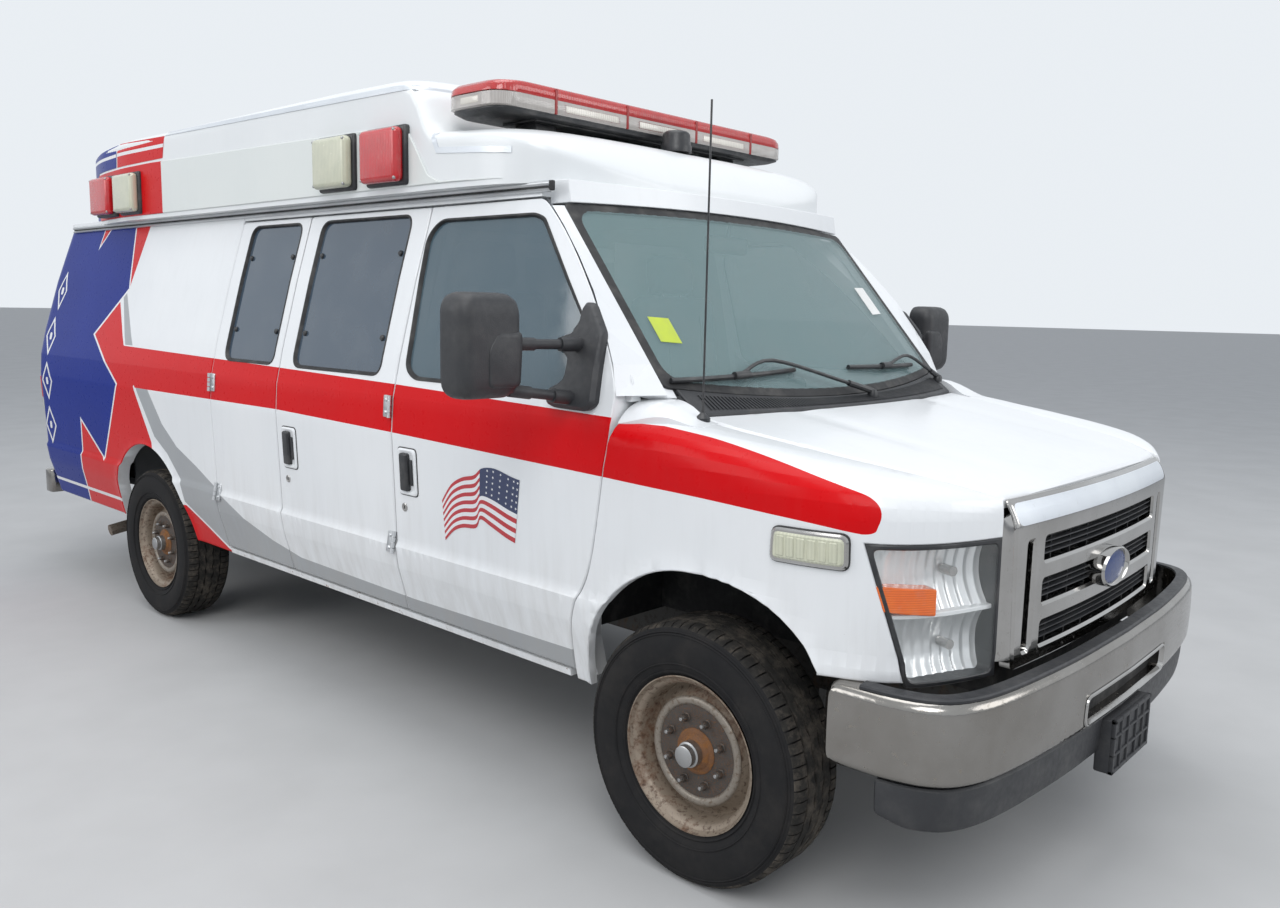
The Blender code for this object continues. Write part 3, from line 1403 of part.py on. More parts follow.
def wheels():
    half = RIM_WIDTH / 2
    back = [(r * RIM_RADIUS, a * half) for r, a in RIM_PROFILE_SHARES]
    face = [(r * RIM_RADIUS, a * half) for r, a in RIM_FACE_SHARES]
    hub = [
        (0, HUB_NOSE_END),
        (HUB_NOSE_RADIUS, HUB_NOSE_END),
        (HUB_NOSE_RADIUS, face[0][1] + HUB_NOSE_RADIUS / 4),
    ]
    bore_end = SPINDLE_END + SEAT_GAP
    bore = [(HUB_RADIUS, HUB_BACK), (SPINDLE_BORE, HUB_BACK), (SPINDLE_BORE, bore_end), (0, bore_end)]
    rim = hub + face + back + [(HUB_RADIUS, back[-1][1])] + bore
    wide, rise = TYRE_WIDTH / 2, TYRE_RADIUS - RIM_RADIUS
    outer_half = [(RIM_RADIUS + r * rise, a * wide) for r, a in TYRE_PROFILE_SHARES]
    tyre = outer_half + [(r, -a) for r, a in reversed(outer_half)]
    for name, sign, y, middle in wheel_places():
        place = wheel_frame(sign, y, middle)
        node(f"tyre_{name}", "rubber", [lathe(tyre, place, WHEEL_SIDES)])
        node(f"rim_{name}", "rust", [lathe(rim, place, HUB_SIDES)])


def spindle_profile(middle):
    # Half of a turned axle end, outwards first, measured from the middle of the car.
    end, disc = middle + SPINDLE_END, middle - DISC_INSET
    disc_out, disc_in = disc + DISC_DEPTH / 2, disc - DISC_DEPTH / 2
    return [
        (0, end),
        (SPINDLE_RADIUS, end),
        (SPINDLE_RADIUS, disc_out),
        (DISC_RADIUS, disc_out),
        (DISC_RADIUS, disc_in),
    ]


def knuckles():
    for side, sign in SIDES:
        middle = FRONT_TRACK / 2
        profile = spindle_profile(middle)
        pieces = [lathe([*profile, (0, profile[-1][1])], wheel_frame(sign, 0.0, 0.0), HUB_SIDES)]
        centre = Vector((sign * KINGPIN_X, 0, TYRE_RADIUS))
        for way in (-1, 1):
            start = way * YOKE_HALF_HEIGHT
            low, high = sorted((start, start + way * YOKE_PLATE))
            lower, upper = centre + Vector((0, 0, low)), centre + Vector((0, 0, high))
            pieces.append(rod(lower, upper, YOKE_RADIUS, 12))
            xs = sorted((sign * (KINGPIN_X + YOKE_RADIUS / 9), sign * (middle - DISC_INSET)))
            trim, deep = YOKE_PLATE / 8, YOKE_RADIUS * 0.8
            pieces.append(box((xs[0], -deep, lower.z + trim), (xs[1], deep, upper.z - trim)))
        node(f"knuckle_{side}", "steel", pieces)


def front_axle():
    # Twin beams cross in the middle and are carried by brackets under the rails.
    tall, wide = BEAM_HEIGHT / 2, BEAM_WIDTH / 2
    pieces = []
    boss_half = YOKE_HALF_HEIGHT - SEAT_GAP
    for _, sign in SIDES:
        end = Vector((sign * KINGPIN_X, 0, TYRE_RADIUS))
        start = Vector((-sign * RAIL_X, -sign * BEAM_WIDTH * 0.8, TYRE_RADIUS))
        side = Vector((0, wide, 0))
        rings = []
        for spot, high in ((start, tall), (end, tall * 0.8)):
            up = Vector((0, 0, high))
            corners = (spot + side - up, spot + side + up, spot - side + up, spot - side - up)
            rings.append([tuple(corner) for corner in corners])
        pieces.append(loft(rings))
        boss = Vector((0, 0, boss_half))
        pieces.append(rod(end - boss, end + boss, YOKE_RADIUS * 0.9, 12))
        under = RAIL_TOP_Z - RAIL_HEIGHT - SEAT_GAP
        bracket_low = (start.x - RAIL_WIDTH / 2, start.y - BEAM_WIDTH, TYRE_RADIUS - tall * 0.9)
        bracket_high = (start.x + RAIL_WIDTH / 2, start.y + BEAM_WIDTH, under)
        pieces.append(box(bracket_low, bracket_high))
    node("front_axle_beams", "steel", pieces)


SPRING_X = 0.552


def rear_axle():
    y, z = WHEELBASE, TYRE_RADIUS
    half = spindle_profile(REAR_TRACK / 2)
    half.append((AXLE_RADIUS, half[-1][1]))
    half += [(r * DIFF_RADIUS, a * DIFF_RADIUS) for r, a in DIFF_SHARES]
    profile = half + [(r, -a) for r, a in reversed(half[:-1])]
    pieces = [lathe(profile, wheel_frame(1, y, 0.0), HUB_SIDES)]
    for _, sign in SIDES:
        x = sign * SPRING_X
        wide, deep = SPRING_WIDTH / 2, SPRING_DEPTH / 2
        rings = []
        for share, rise_share in SPRING_SHARES:
            spot_z = z + AXLE_RADIUS + deep * 0.6 + SPRING_RISE * rise_share
            spot_y = y + SPRING_LENGTH / 2 * share
            corners = ((-wide, -deep), (wide, -deep), (wide, deep), (-wide, deep))
            rings.append([(x + across, spot_y, spot_z + up) for across, up in corners])
        pieces.append(loft(rings))
        for way in (-1, 1):
            eye_y = y + way * (SPRING_LENGTH / 2 - SPRING_DEPTH)
            eye_z = z + AXLE_RADIUS + SPRING_RISE
            inner = sign * (RAIL_X + RAIL_WIDTH / 2 + SEAT_GAP)
            pieces.append(rod((inner, eye_y, eye_z), (x, eye_y, eye_z), SPRING_DEPTH / 2.2, 8))
    pieces.append(rod((0, SHAFT_FRONT_Y, SHAFT_FRONT_Z), (0, y, z), SHAFT_RADIUS))
    node("rear_axle", "steel", pieces)


# Leaf spring: place along it and rise
SPRING_SHARES = ((-1.0, 1.0), (-0.35, 0.0), (0.35, 0.0), (1.0, 1.0))
# The differential's outline: radius and place along the axle as shares of DIFF_RADIUS
DIFF_SHARES = ((0.30, 1.15), (0.72, 0.80), (1.00, 0.30), (1.00, 0.0))
SPRING_RISE = 0.045
SHAFT_FRONT_Y = 0.760
SHAFT_FRONT_Z = 0.425


# Chassis, floor and what hangs below

CROSS_WIDTH = 0.090
# Middles of the cross members, along the rails
CROSS_SHARES = (0.082, 0.390, 0.636, 0.865, 0.990)
CROSS_HEIGHT = 0.060


def chassis():
    half = RAIL_WIDTH / 2
    rear_end = REAR_FACE_Y - FRAME_DEEP
    lift = RAIL_HEIGHT - RAIL_ARCH_HEIGHT
    low = RAIL_TOP_Z - RAIL_HEIGHT
    front = bumper_inner_y(RAIL_X + half) + SEAT_GAP
    rows = (
        (front, low),
        (WHEELBASE - TYRE_RADIUS * 1.5, low),
        (WHEELBASE - TYRE_RADIUS, low + lift),
        (WHEELBASE + TYRE_RADIUS, low + lift),
        (WHEELBASE + TYRE_RADIUS * 1.5, low),
        (rear_end, low),
    )
    outline = [*rows, (rear_end, RAIL_TOP_Z), (front, RAIL_TOP_Z)]
    pieces = []
    for _, sign in SIDES:
        place = lambda a, b, level, sign=sign: Vector((sign * RAIL_X + level, a, b))
        pieces.append(extruded(outline, place, -half, half))
    for share in CROSS_SHARES:
        y = mix(front, rear_end, share)
        top = RAIL_TOP_Z - EDGE_TRIM
        low = (-RAIL_X, y - CROSS_WIDTH / 2, top - CROSS_HEIGHT)
        pieces.append(box(low, (RAIL_X, y + CROSS_WIDTH / 2, top)))
    node("chassis_frame", "steel", pieces)


def bumper_inner_y(x):
    spots = [bumper_point(row[0], BUMPER_TOP_Z, BUMPER_DEPTH) for row in BUMPER[:-1]]
    return line_value([(spot.x, spot.y) for spot in spots], x)


def engine():
    low_z = RAIL_TOP_Z + SEAT_GAP - EDGE_TRIM
    low = (-ENGINE_WIDTH / 2, ENGINE_FRONT_Y, low_z)
    high = (ENGINE_WIDTH / 2, ENGINE_FRONT_Y + ENGINE_LENGTH, low_z + ENGINE_HEIGHT * 0.75)
    node("engine_block", "steel", [box(low, high)])


FLOOR_Z = RAIL_TOP_Z + SEAT_GAP
LINER_Z = 0.930
LINER_DEPTH = 0.020
APRON_X = 0.530
FIREWALL_DEPTH = 0.028
SUPPORT_Y = -0.600


def floor_half():
    return half_width(FLOOR_Z) - FRAME_DEEP - SEAT_GAP


def floor():
    half, top = floor_half(), FLOOR_Z + FLOOR_DEPTH
    rear = REAR_FACE_Y - FRAME_DEEP - SEAT_GAP
    plate = box((-half, FLOOR_FRONT_Y, FLOOR_Z), (half, rear, top))
    # Where the cot rolls, a wear plate stands a little proud of the floor.
    low = (COT_PLATE_LOW_X, BULKHEAD_Y + BULKHEAD_DEPTH * 2, FLOOR_Z + EDGE_TRIM)
    wear = box(low, (COT_PLATE_HIGH_X, CABINET_REAR_Y, top + COT_PLATE_RISE))
    pieces, cutters = [plate, wear], []
    for _, sign in SIDES:
        xs = sorted((sign * HOUSING_INNER_X, sign * (half - EDGE_TRIM)))
        reach = HOUSING_LENGTH / 2
        low = (xs[0], WHEELBASE - reach, FLOOR_Z + EDGE_TRIM)
        pieces.append(box(low, (xs[1], WHEELBASE + reach, HOUSING_TOP_Z)))
        xs = sorted((sign * (HOUSING_INNER_X + HOUSING_WALL), sign * HALF_WIDTH))
        reach -= HOUSING_WALL
        low = (xs[0], WHEELBASE - reach, FLOOR_Z - BOOLEAN_OVERRUN)
        cutters.append(box(low, (xs[1], WHEELBASE + reach, HOUSING_TOP_Z - HOUSING_WALL)))
    node("floor_pan", "grey", pieces, cutters)


def front_body():
    # Radiator and its support, inner fenders and firewall, as one welded shell.
    wall_y = FLOOR_FRONT_Y - SEAT_GAP
    low = (-SCREEN_BASE_HALF, wall_y - FIREWALL_DEPTH, FLOOR_Z)
    wall = box(low, (SCREEN_BASE_HALF, wall_y, FIREWALL_TOP_Z))
    support_top = SHOULDER_FRONT_Z
    core = box((-APRON_X, GRILLE_BACK_Y + SEAT_GAP, FLOOR_Z), (APRON_X, SUPPORT_Y, support_top))
    latch_y = SUPPORT_Y - LATCH_HALF * 2
    spots = [(x, latch_y) for x in (-LATCH_HALF, 0, LATCH_HALF)]
    latch_z = min(heights_on("hood", spots)) - HOOD_DEPTH - SEAT_GAP
    latch = box(
        (-LATCH_HALF, latch_y, support_top - EDGE_TRIM),
        (LATCH_HALF, SUPPORT_Y - EDGE_TRIM, latch_z),
    )
    # The cowl box reaches forward from the firewall and carries the cowl grille.
    sill_y, shelf_z = hood_rear_y(0) + PANEL_GAP + EDGE_TRIM, FIREWALL_TOP_Z - LINER_DEPTH
    shelf = box((-LATCH_HALF, sill_y, shelf_z - LINER_DEPTH), (LATCH_HALF, wall_y - EDGE_TRIM, shelf_z))
    spots = [(x, sill_y) for x in (-LATCH_HALF, 0, LATCH_HALF)]
    riser_z = min(heights_on("cowl_grille", spots)) - COWL_DEPTH - SEAT_GAP
    low = (-LATCH_HALF * 0.9, sill_y + MERGE, shelf_z - EDGE_TRIM)
    riser = box(low, (LATCH_HALF * 0.9, sill_y + LINER_DEPTH, riser_z))
    pieces = [core, wall, latch, shelf, riser]
    for _, sign in SIDES:
        xs = sorted((sign * (APRON_X - LINER_DEPTH), sign * APRON_X))
        low = (xs[0], SUPPORT_Y - LINER_DEPTH, FLOOR_Z + EDGE_TRIM)
        pieces.append(box(low, (xs[1], wall_y - EDGE_TRIM, LINER_Z + EDGE_TRIM)))
        reach = half_width(LINER_Z + LINER_DEPTH) - FENDER_DEPTH - SEAT_GAP
        xs = sorted((sign * (APRON_X - LINER_DEPTH / 2), sign * NOSE[4][1] * 0.9))
        high = (xs[1], wall_y - EDGE_TRIM * 2, LINER_Z + LINER_DEPTH)
        pieces.append(box((xs[0], -ARCH_HALF_LENGTH, LINER_Z), high))
        xs = sorted((sign * NOSE[4][1] * 0.85, sign * reach))
        low = (xs[0], 0.0, LINER_Z + EDGE_TRIM / 2)
        high = (xs[1], DOOR_FRONT_Y - EDGE_TRIM * 3, LINER_Z + LINER_DEPTH - EDGE_TRIM / 2)
        pieces.append(box(low, high))
    node("front_inner_body", "black", pieces)


FIREWALL_TOP_Z = 1.180
LATCH_HALF = 0.030


def tank_and_exhaust():
    low = (RAIL_X + RAIL_WIDTH, TANK_FRONT_Y, FLOOR_Z - SEAT_GAP - TANK_HEIGHT)
    high = (RAIL_X + RAIL_WIDTH + TANK_WIDTH * 0.62, TANK_FRONT_Y + TANK_LENGTH, FLOOR_Z - SEAT_GAP)
    node("fuel_tank", "black", [box(low, high)])
    pieces = [tube(PIPE_ROUTE, PIPE_RADIUS)]
    start = Vector(PIPE_ROUTE[0]).lerp(Vector(PIPE_ROUTE[1]), MUFFLER_SHARE)
    end = start + Vector((0, MUFFLER_LENGTH, 0))
    pieces.append(rod(start, end, MUFFLER_RADIUS, 12))
    middle = (start + end) / 2
    hanger = box(
        (middle.x - PIPE_RADIUS / 2, middle.y - PIPE_RADIUS, middle.z),
        (middle.x + PIPE_RADIUS / 2, middle.y + PIPE_RADIUS, FLOOR_Z - SEAT_GAP),
    )
    pieces.append(hanger)
    node("exhaust", "rust", pieces)


PIPE_ROUTE = (
    (-0.250, 0.650, 0.415),
    (-0.250, 3.060, 0.415),
    (-0.250, 3.260, 0.475),
    (-0.250, 3.760, 0.475),
    (-0.255, 4.140, 0.420),
    (-0.300, 4.240, 0.400),
    (-0.400, 4.290, 0.385),
    (-0.880, 4.300, 0.300),
)
MUFFLER_SHARE = 0.55


def rear_bumper():
    front = rear_point(0.0, REAR_DOOR_BOTTOM_Z).y + SEAT_GAP
    half = HALF_WIDTH * 0.93
    base = REAR_BUMPER_TOP_Z - REAR_BUMPER_HEIGHT
    rear = WHEELBASE + REAR_OVERHANG
    corners = [(-half, front), (half, front), (half, rear), (-half, rear)]
    corners = rounded(corners, EDGE_TRIM * 5)
    place = lambda a, b, level: Vector((a, b, level))
    node("rear_bumper", "chrome", [extruded(corners, place, base, REAR_BUMPER_TOP_Z)])


# Cab and load space


def dashboard():
    front = FLOOR_FRONT_Y + EDGE_TRIM / 2
    half = SCREEN_BASE_HALF * 0.975
    lower = box((-half, front, DASH_TOP_Z * 0.77), (half, DASH_REAR_Y, DASH_TOP_Z))
    shelf = box(
        (-half * 0.97, FLOOR_FRONT_Y - PILLAR_DEPTH * 2, FIREWALL_TOP_Z + SEAT_GAP),
        (half * 0.97, DASH_REAR_Y - EDGE_TRIM, DASH_TOP_Z - EDGE_TRIM),
    )
    cover_z = CUSHION_TOP_Z
    cover = box(
        (-ENGINE_WIDTH / 2, front + EDGE_TRIM, FLOOR_Z + FLOOR_DEPTH + SEAT_GAP),
        (ENGINE_WIDTH / 2, DASH_REAR_Y + COVER_REACH, cover_z),
    )
    hub = Vector((WHEEL_X, DASH_REAR_Y + COLUMN_REACH, DASH_TOP_Z - COLUMN_DROP))
    way = Vector((0, math.cos(COLUMN_RAKE), math.sin(COLUMN_RAKE)))
    column = rod(hub - way * COLUMN_REACH * 1.6, hub, COLUMN_RADIUS)
    turn = way.to_track_quat("Z", "Y")
    ring = []
    for step in range(6):
        angle = 2 * math.pi * step / 6
        ring.append((STEERING_RADIUS + math.cos(angle) * GRIP_RADIUS, math.sin(angle) * GRIP_RADIUS))
    place = lambda a, b, c: hub + turn @ Vector((a, b, c))
    grip = lathe(ring, place, 16)
    spokes = []
    for angle in SPOKE_ANGLES:
        out = turn @ Vector((math.cos(angle), math.sin(angle), 0)) * STEERING_RADIUS
        spokes.append(rod(hub, hub + out, GRIP_RADIUS * 0.7, 6))
    pad = rod(hub - way * GRIP_RADIUS, hub + way * GRIP_RADIUS * 1.6, COLUMN_RADIUS * 2, 12)
    node("dashboard", "grey", [lower, shelf, cover, column, grip, pad, *spokes])


COVER_REACH = 0.360
COLUMN_REACH = 0.120
COLUMN_DROP = 0.060
COLUMN_RAKE = math.radians(35)
COLUMN_RADIUS = 0.030
GRIP_RADIUS = 0.014
SPOKE_ANGLES = tuple(math.radians(angle) for angle in (0, 180, 270))


def seats():
    half = SEAT_WIDTH / 2
    floor_z = FLOOR_Z + FLOOR_DEPTH + SEAT_GAP
    pad = SEAT_DEPTH * 0.26
    for side, sign in SIDES:
        middle = sign * SEAT_X
        place = lambda a, b, level, middle=middle: Vector((middle + level, a, b))
        front, rear = SEAT_FRONT_Y, SEAT_FRONT_Y + SEAT_DEPTH
        top = CUSHION_TOP_Z
        seat = rounded([(front, top - pad), (rear, top - pad), (rear, top), (front, top)], pad * 0.45)
        lean = SEAT_DEPTH * 0.16
        back = [
            (rear - pad, top - pad / 2),
            (rear, top - pad / 2),
            (rear + lean, BACK_TOP_Z),
            (rear + lean - pad * 0.7, BACK_TOP_Z),
        ]
        rest_low = BACK_TOP_Z - pad * 0.2
        rest = [(y + lean * 0.9, z) for y, z in (
            (rear - pad * 0.75, rest_low),
            (rear - pad * 0.05, rest_low),
            (rear + pad * 0.05, BACK_TOP_Z + pad * 1.3),
            (rear - pad * 0.55, BACK_TOP_Z + pad * 1.3),
        )]
        low = (middle - half * 0.7, front + pad, floor_z)
        high = (middle + half * 0.7, rear - pad, top - pad * 0.8)
        pieces = [
            extruded(seat, place, -half, half),
            extruded(rounded(back, pad * 0.4), place, -half * 0.95, half * 0.95),
            extruded(rounded(rest, pad * 0.3), place, -half * 0.5, half * 0.5),
            box(low, high),
        ]
        node(f"seat_{side}", "grey", pieces)


def cabinets():
    # The bulkhead and the cabinet wall behind the driver, in one built-in unit.
    base, top = FLOOR_Z + FLOOR_DEPTH + SEAT_GAP, CABINET_TOP_Z
    reach = half_width(CABINET_TOP_Z) - FRAME_DEEP - EDGE_TRIM
    foot = floor_half()
    pieces = []
    for _, sign in SIDES:
        outline = [
            (sign * AISLE_HALF, base),
            (sign * foot, base),
            (sign * foot, BELT_Z * 0.92),
            (sign * reach, top),
            (sign * AISLE_HALF, top),
        ]
        place = lambda a, b, level: Vector((a, level, b))
        pieces.append(extruded(outline, place, BULKHEAD_Y, BULKHEAD_Y + BULKHEAD_DEPTH))
    bridge = box(
        (-AISLE_HALF * 1.1, BULKHEAD_Y + EDGE_TRIM, top - BULKHEAD_DEPTH * 3),
        (AISLE_HALF * 1.1, BULKHEAD_Y + BULKHEAD_DEPTH - EDGE_TRIM, top - BULKHEAD_DEPTH),
    )
    pieces.append(bridge)
    wall = half_width(CABINET_TOP_Z) - FRAME_DEEP - EDGE_TRIM
    inner = wall - CABINET_DEPTH * 0.8
    rows = (
        (BULKHEAD_Y + EDGE_TRIM, WHEELBASE - HOUSING_LENGTH / 2 - EDGE_TRIM, base + EDGE_TRIM / 2),
        (WHEELBASE - HOUSING_LENGTH / 2 - EDGE_TRIM * 4, CABINET_REAR_Y, HOUSING_TOP_Z + SEAT_GAP),
    )
    for front, rear, low in rows:
        pieces.append(box((inner, front, low), (wall, rear, top - EDGE_TRIM)))
    node("cabinets", "white", pieces)


def bench():
    base = FLOOR_Z + FLOOR_DEPTH + SEAT_GAP
    outer, inner = -(HOUSING_INNER_X - SEAT_GAP), -(HOUSING_INNER_X - CABINET_DEPTH)
    foot = box((outer, BENCH_FRONT_Y, base), (inner, CABINET_REAR_Y, BENCH_TOP_Z))
    wall = -(half_width(BENCH_TOP_Z) - DOOR_DEPTH - EDGE_TRIM * 8)
    low = (wall, BENCH_FRONT_Y + EDGE_TRIM, HOUSING_TOP_Z + EDGE_TRIM)
    high = (inner - EDGE_TRIM, CABINET_REAR_Y - EDGE_TRIM, BENCH_TOP_Z - EDGE_TRIM)
    node("squad_bench", "black", [foot, box(low, high)])


def centre_on_origin():
    # Moves the finished car so that the middle of its length stands over the origin.
    middle = (WHEELBASE + REAR_OVERHANG - FRONT_OVERHANG) / 2
    for mesh in {obj.data for obj in SCENE.objects if obj.type == "MESH"}:
        mesh.transform(Matrix.Translation((0, -middle, 0)))


def build():
    clear_scene()
    front_doors()
    side_leaves()
    rear_doors()
    body_frames()
    rear_frame()
    quarters()
    fenders()
    headlamps()
    hood()
    cowl()
    windscreen()
    roof()
    light_bar()
    grille()
    front_bumper()
    front_valance()
    rear_bumper()
    mirrors()
    whip_antenna()
    wheels()
    knuckles()
    front_axle()
    rear_axle()
    chassis()
    engine()
    floor()
    front_body()
    tank_and_exhaust()
    dashboard()
    seats()
    cabinets()
    bench()
    centre_on_origin()


build()
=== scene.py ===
import math

import bmesh
import bpy
import numpy as np
from mathutils import Matrix, Vector
from mathutils.geometry import delaunay_2d_cdt


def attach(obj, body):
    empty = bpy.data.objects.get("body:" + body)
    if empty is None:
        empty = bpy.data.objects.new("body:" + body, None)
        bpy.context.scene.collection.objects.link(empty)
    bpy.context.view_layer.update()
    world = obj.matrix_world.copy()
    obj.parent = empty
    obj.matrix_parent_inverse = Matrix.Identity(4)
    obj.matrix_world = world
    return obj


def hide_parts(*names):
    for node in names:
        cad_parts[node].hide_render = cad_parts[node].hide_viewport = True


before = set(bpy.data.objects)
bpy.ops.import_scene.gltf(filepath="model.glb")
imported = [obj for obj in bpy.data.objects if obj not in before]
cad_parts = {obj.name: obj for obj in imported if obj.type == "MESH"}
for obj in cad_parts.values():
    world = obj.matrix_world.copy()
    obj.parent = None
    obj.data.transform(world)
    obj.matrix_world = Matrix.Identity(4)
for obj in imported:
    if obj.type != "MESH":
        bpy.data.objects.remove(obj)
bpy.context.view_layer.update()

# Surfaces of the body, as in the part's source
WHEELBASE = 3.505
FRONT_OVERHANG = 0.865
REAR_OVERHANG = 1.642
HALF_WIDTH = 1.003
SILL_Z = 0.455
GUTTER_Z = 1.985
REAR_FACE_Y = 5.02
REAR_CORNER_RADIUS = 0.16
REAR_LEAN = 0.085
REAR_BOW = 0.022
SEAT_GAP = 0.0003
PANEL_GAP = 0.0075
GLASS_GAP = 0.0005
DOOR_DEPTH = 0.055
FENDER_DEPTH = 0.022
HOOD_DEPTH = 0.028
GLASS_INSET = 0.010
GLASS_DEPTH = 0.006
MERGE = 0.0001
SECTION_SHARES = (
    (-0.03, 0.918, 0.00),
    (0.00, 0.924, 0.00),
    (0.06, 0.947, 0.00),
    (0.13, 0.978, 0.00),
    (0.182, 0.990, 0.00),
    (0.195, 0.981, 0.00),
    (0.30, 0.988, 0.00),
    (0.45, 0.999, 0.00),
    (0.53, 0.991, 0.00),
    (0.62, 0.961, 0.04),
    (0.80, 0.889, 0.32),
    (1.00, 0.800, 1.00),
    (1.04, 0.785, 1.20),
)
DOOR_FRONT_Y = 0.300
B_GAP_Y = 1.365
LEAF_GAP_Y = 2.178
REAR_GAP_Y = 2.752
DOOR_BOTTOM_Z = 0.485
DOOR_TOP_Z = 1.935
BELT_Z = 1.29
WINDOW_RADIUS = 0.05
REAR_ARCH_RADIUS = 0.425
ARCH_CENTRE_Z = 0.452
FRONT_ARCH_CENTRE_Y = -0.02
NOSE_PLAN_SHARES = (
    (0.620, -0.812),
    (0.700, -0.783),
    (0.800, -0.735),
    (0.880, -0.672),
    (0.932, -0.600),
    (0.965, -0.510),
    (0.985, -0.400),
    (0.996, -0.240),
    (1.000, -0.060),
    (1.000, 0.330),
    (1.000, 0.640),
)
HOOD_SEAM_SHARES = (
    (0.612, -0.790),
    (0.640, -0.735),
    (0.672, -0.640),
    (0.695, -0.540),
    (0.713, -0.450),
    (0.730, -0.370),
    (0.748, -0.270),
    (0.768, -0.140),
    (0.790, 0.010),
    (0.800, 0.320),
    (0.802, 0.600),
)
HOOD_FRONT_Z = 1.178
HOOD_REAR_Z = 1.312
HOOD_FRONT_Y = -0.690
HOOD_REAR_Y = 0.040
HOOD_REAR_BOW = 0.110
HOOD_CROWN = 0.022
SHOULDER_FRONT_Z = 1.060
SHOULDER_REAR_Z = 1.190
SHOULDER_RUN = 0.260
LAMP_TOP_Z = 1.052
LAMP_BOTTOM_Z = 0.695
SCREEN_BASE_HALF = 0.830
SCREEN_TOP_HALF = 0.800
SCREEN_BASE_Y = 0.135
SCREEN_BASE_Z = 1.318
SCREEN_TOP_Y = 0.640
SCREEN_TOP_Z = 1.933
SCREEN_BASE_SWEEP = 0.109
SCREEN_TOP_SWEEP = 0.067
SCREEN_BASE_RISE = 0.052
SCREEN_TOP_DROP = 0.015
SCREEN_DEPTH = 0.008
TYRE_RADIUS = 0.372
TYRE_WIDTH = 0.223
RIM_RADIUS = 0.2205
RIM_WIDTH = 0.190
FRONT_TRACK = 1.763
REAR_TRACK = 1.707
ROOF_HALF = 0.878
ROOF_TOP_Z = 2.425
ROOF_CAP_Z = 2.205
ROOF_REAR_Y = 4.750
ROOF_WALL = 0.055
RAIL_LIP = 0.022
LIGHT_BAR_Y = 1.152
LIGHT_BAR_Z = 2.290
LIGHT_BAR_LENGTH = 1.640
LIGHT_BAR_DEPTH = 0.300
LIGHT_BAR_HEIGHT = 0.105
BUMPER_TOP_Z = 0.708
BUMPER_BOTTOM_Z = 0.492
BUMPER_DEPTH = 0.055
BUMPER_HALF_WIDTH = 0.985
VALANCE_BOTTOM_Z = 0.380
PLATE_WIDTH = 0.310
PLATE_HEIGHT = 0.165
GRILLE_TOP_HALF = 0.600
GRILLE_BOTTOM_HALF = 0.575
GRILLE_TOP_Z = 1.142
GRILLE_BOTTOM_Z = 0.700
GRILLE_BAR = 0.050
BOSS_WIDTH = 0.230
BOSS_HEIGHT = 0.115
SEAT_X = 0.532
SEAT_WIDTH = 0.520
SEAT_DEPTH = 0.520
CUSHION_TOP_Z = 1.020
BACK_TOP_Z = 1.640
SEAT_FRONT_Y = 0.840
DOME_RADIUS = 0.055
DOME_HEIGHT = 0.060
LAMP_WIDTH = 0.250
LAMP_HEIGHT = 0.208
LAMP_PROUD = 0.055
LAMP_Z = 2.115
MIRROR_WIDTH = 0.215
MIRROR_HEIGHT = 0.290
MIRROR_DEPTH = 0.105
DOOR_SWING_AXIS_OUT = 0.005


def curve_value(table, position, column=1):
    # Smooth value of a table at a position, with no overshoot between its rows.
    last = len(table) - 1
    spot = min(max(position, table[0][0]), table[last][0])
    row = max(index for index in range(last) if table[index][0] <= spot)
    slopes = [
        (table[index + 1][column] - table[index][column]) / (table[index + 1][0] - table[index][0])
        for index in range(last)
    ]

    def tangent(index):
        if index in (0, last):
            return slopes[min(index, last - 1)]
        before, after = slopes[index - 1], slopes[index]
        return 2 * before * after / (before + after) if before * after > 0 else 0.0

    run = table[row + 1][0] - table[row][0]
    t = (spot - table[row][0]) / run
    start, end = table[row][column], table[row + 1][column]
    blend = t * t * (3 - 2 * t)
    lift = run * (tangent(row) * t * (1 - t) ** 2 - tangent(row + 1) * t * t * (1 - t))
    return start + (end - start) * blend + lift


def mix(first, second, share):
    return first + (second - first) * share


def line_value(table, position, column=1):
    # Straight-line value of a table, carried on past its ends.
    row = 0
    while row < len(table) - 2 and table[row + 1][0] < position:
        row += 1
    share = (position - table[row][0]) / (table[row + 1][0] - table[row][0])
    return mix(table[row][column], table[row + 1][column], share)


def clamp(value):
    return min(max(value, 0.0), 1.0)


def half_width(z):
    return HALF_WIDTH * line_value(SECTION_SHARES, (z - SILL_Z) / (GUTTER_Z - SILL_Z))


def rear_lean(z):
    return REAR_LEAN * line_value(SECTION_SHARES, (z - SILL_Z) / (GUTTER_Z - SILL_Z), 2)


def side_point(sign, along, z, depth=0.0):
    # Runs back along the side, round the rear corner, then across the rear.
    straight_end = REAR_FACE_Y - REAR_CORNER_RADIUS
    turn = min(max(along - straight_end, 0.0) / REAR_CORNER_RADIUS, math.pi / 2)
    past = max(along - straight_end - REAR_CORNER_RADIUS * math.pi / 2, 0.0)
    y = min(along, straight_end) + REAR_CORNER_RADIUS * math.sin(turn)
    inset = REAR_CORNER_RADIUS * (1 - math.cos(turn)) + past
    lean_start = straight_end - WHEELBASE / 4
    y -= rear_lean(z) * clamp((along - lean_start) / (straight_end - lean_start))
    x = half_width(z) - inset - depth * math.cos(turn)
    return Vector((sign * x, y - depth * math.sin(turn), z))


REAR_EDGE_X = HALF_WIDTH - REAR_CORNER_RADIUS
REAR_BOW_SHARES = (
    (-1.0, 1.0), (-0.66, 0.44), (-0.33, 0.11), (0.0, 0.0), (0.33, 0.11), (0.66, 0.44), (1.0, 1.0),
)


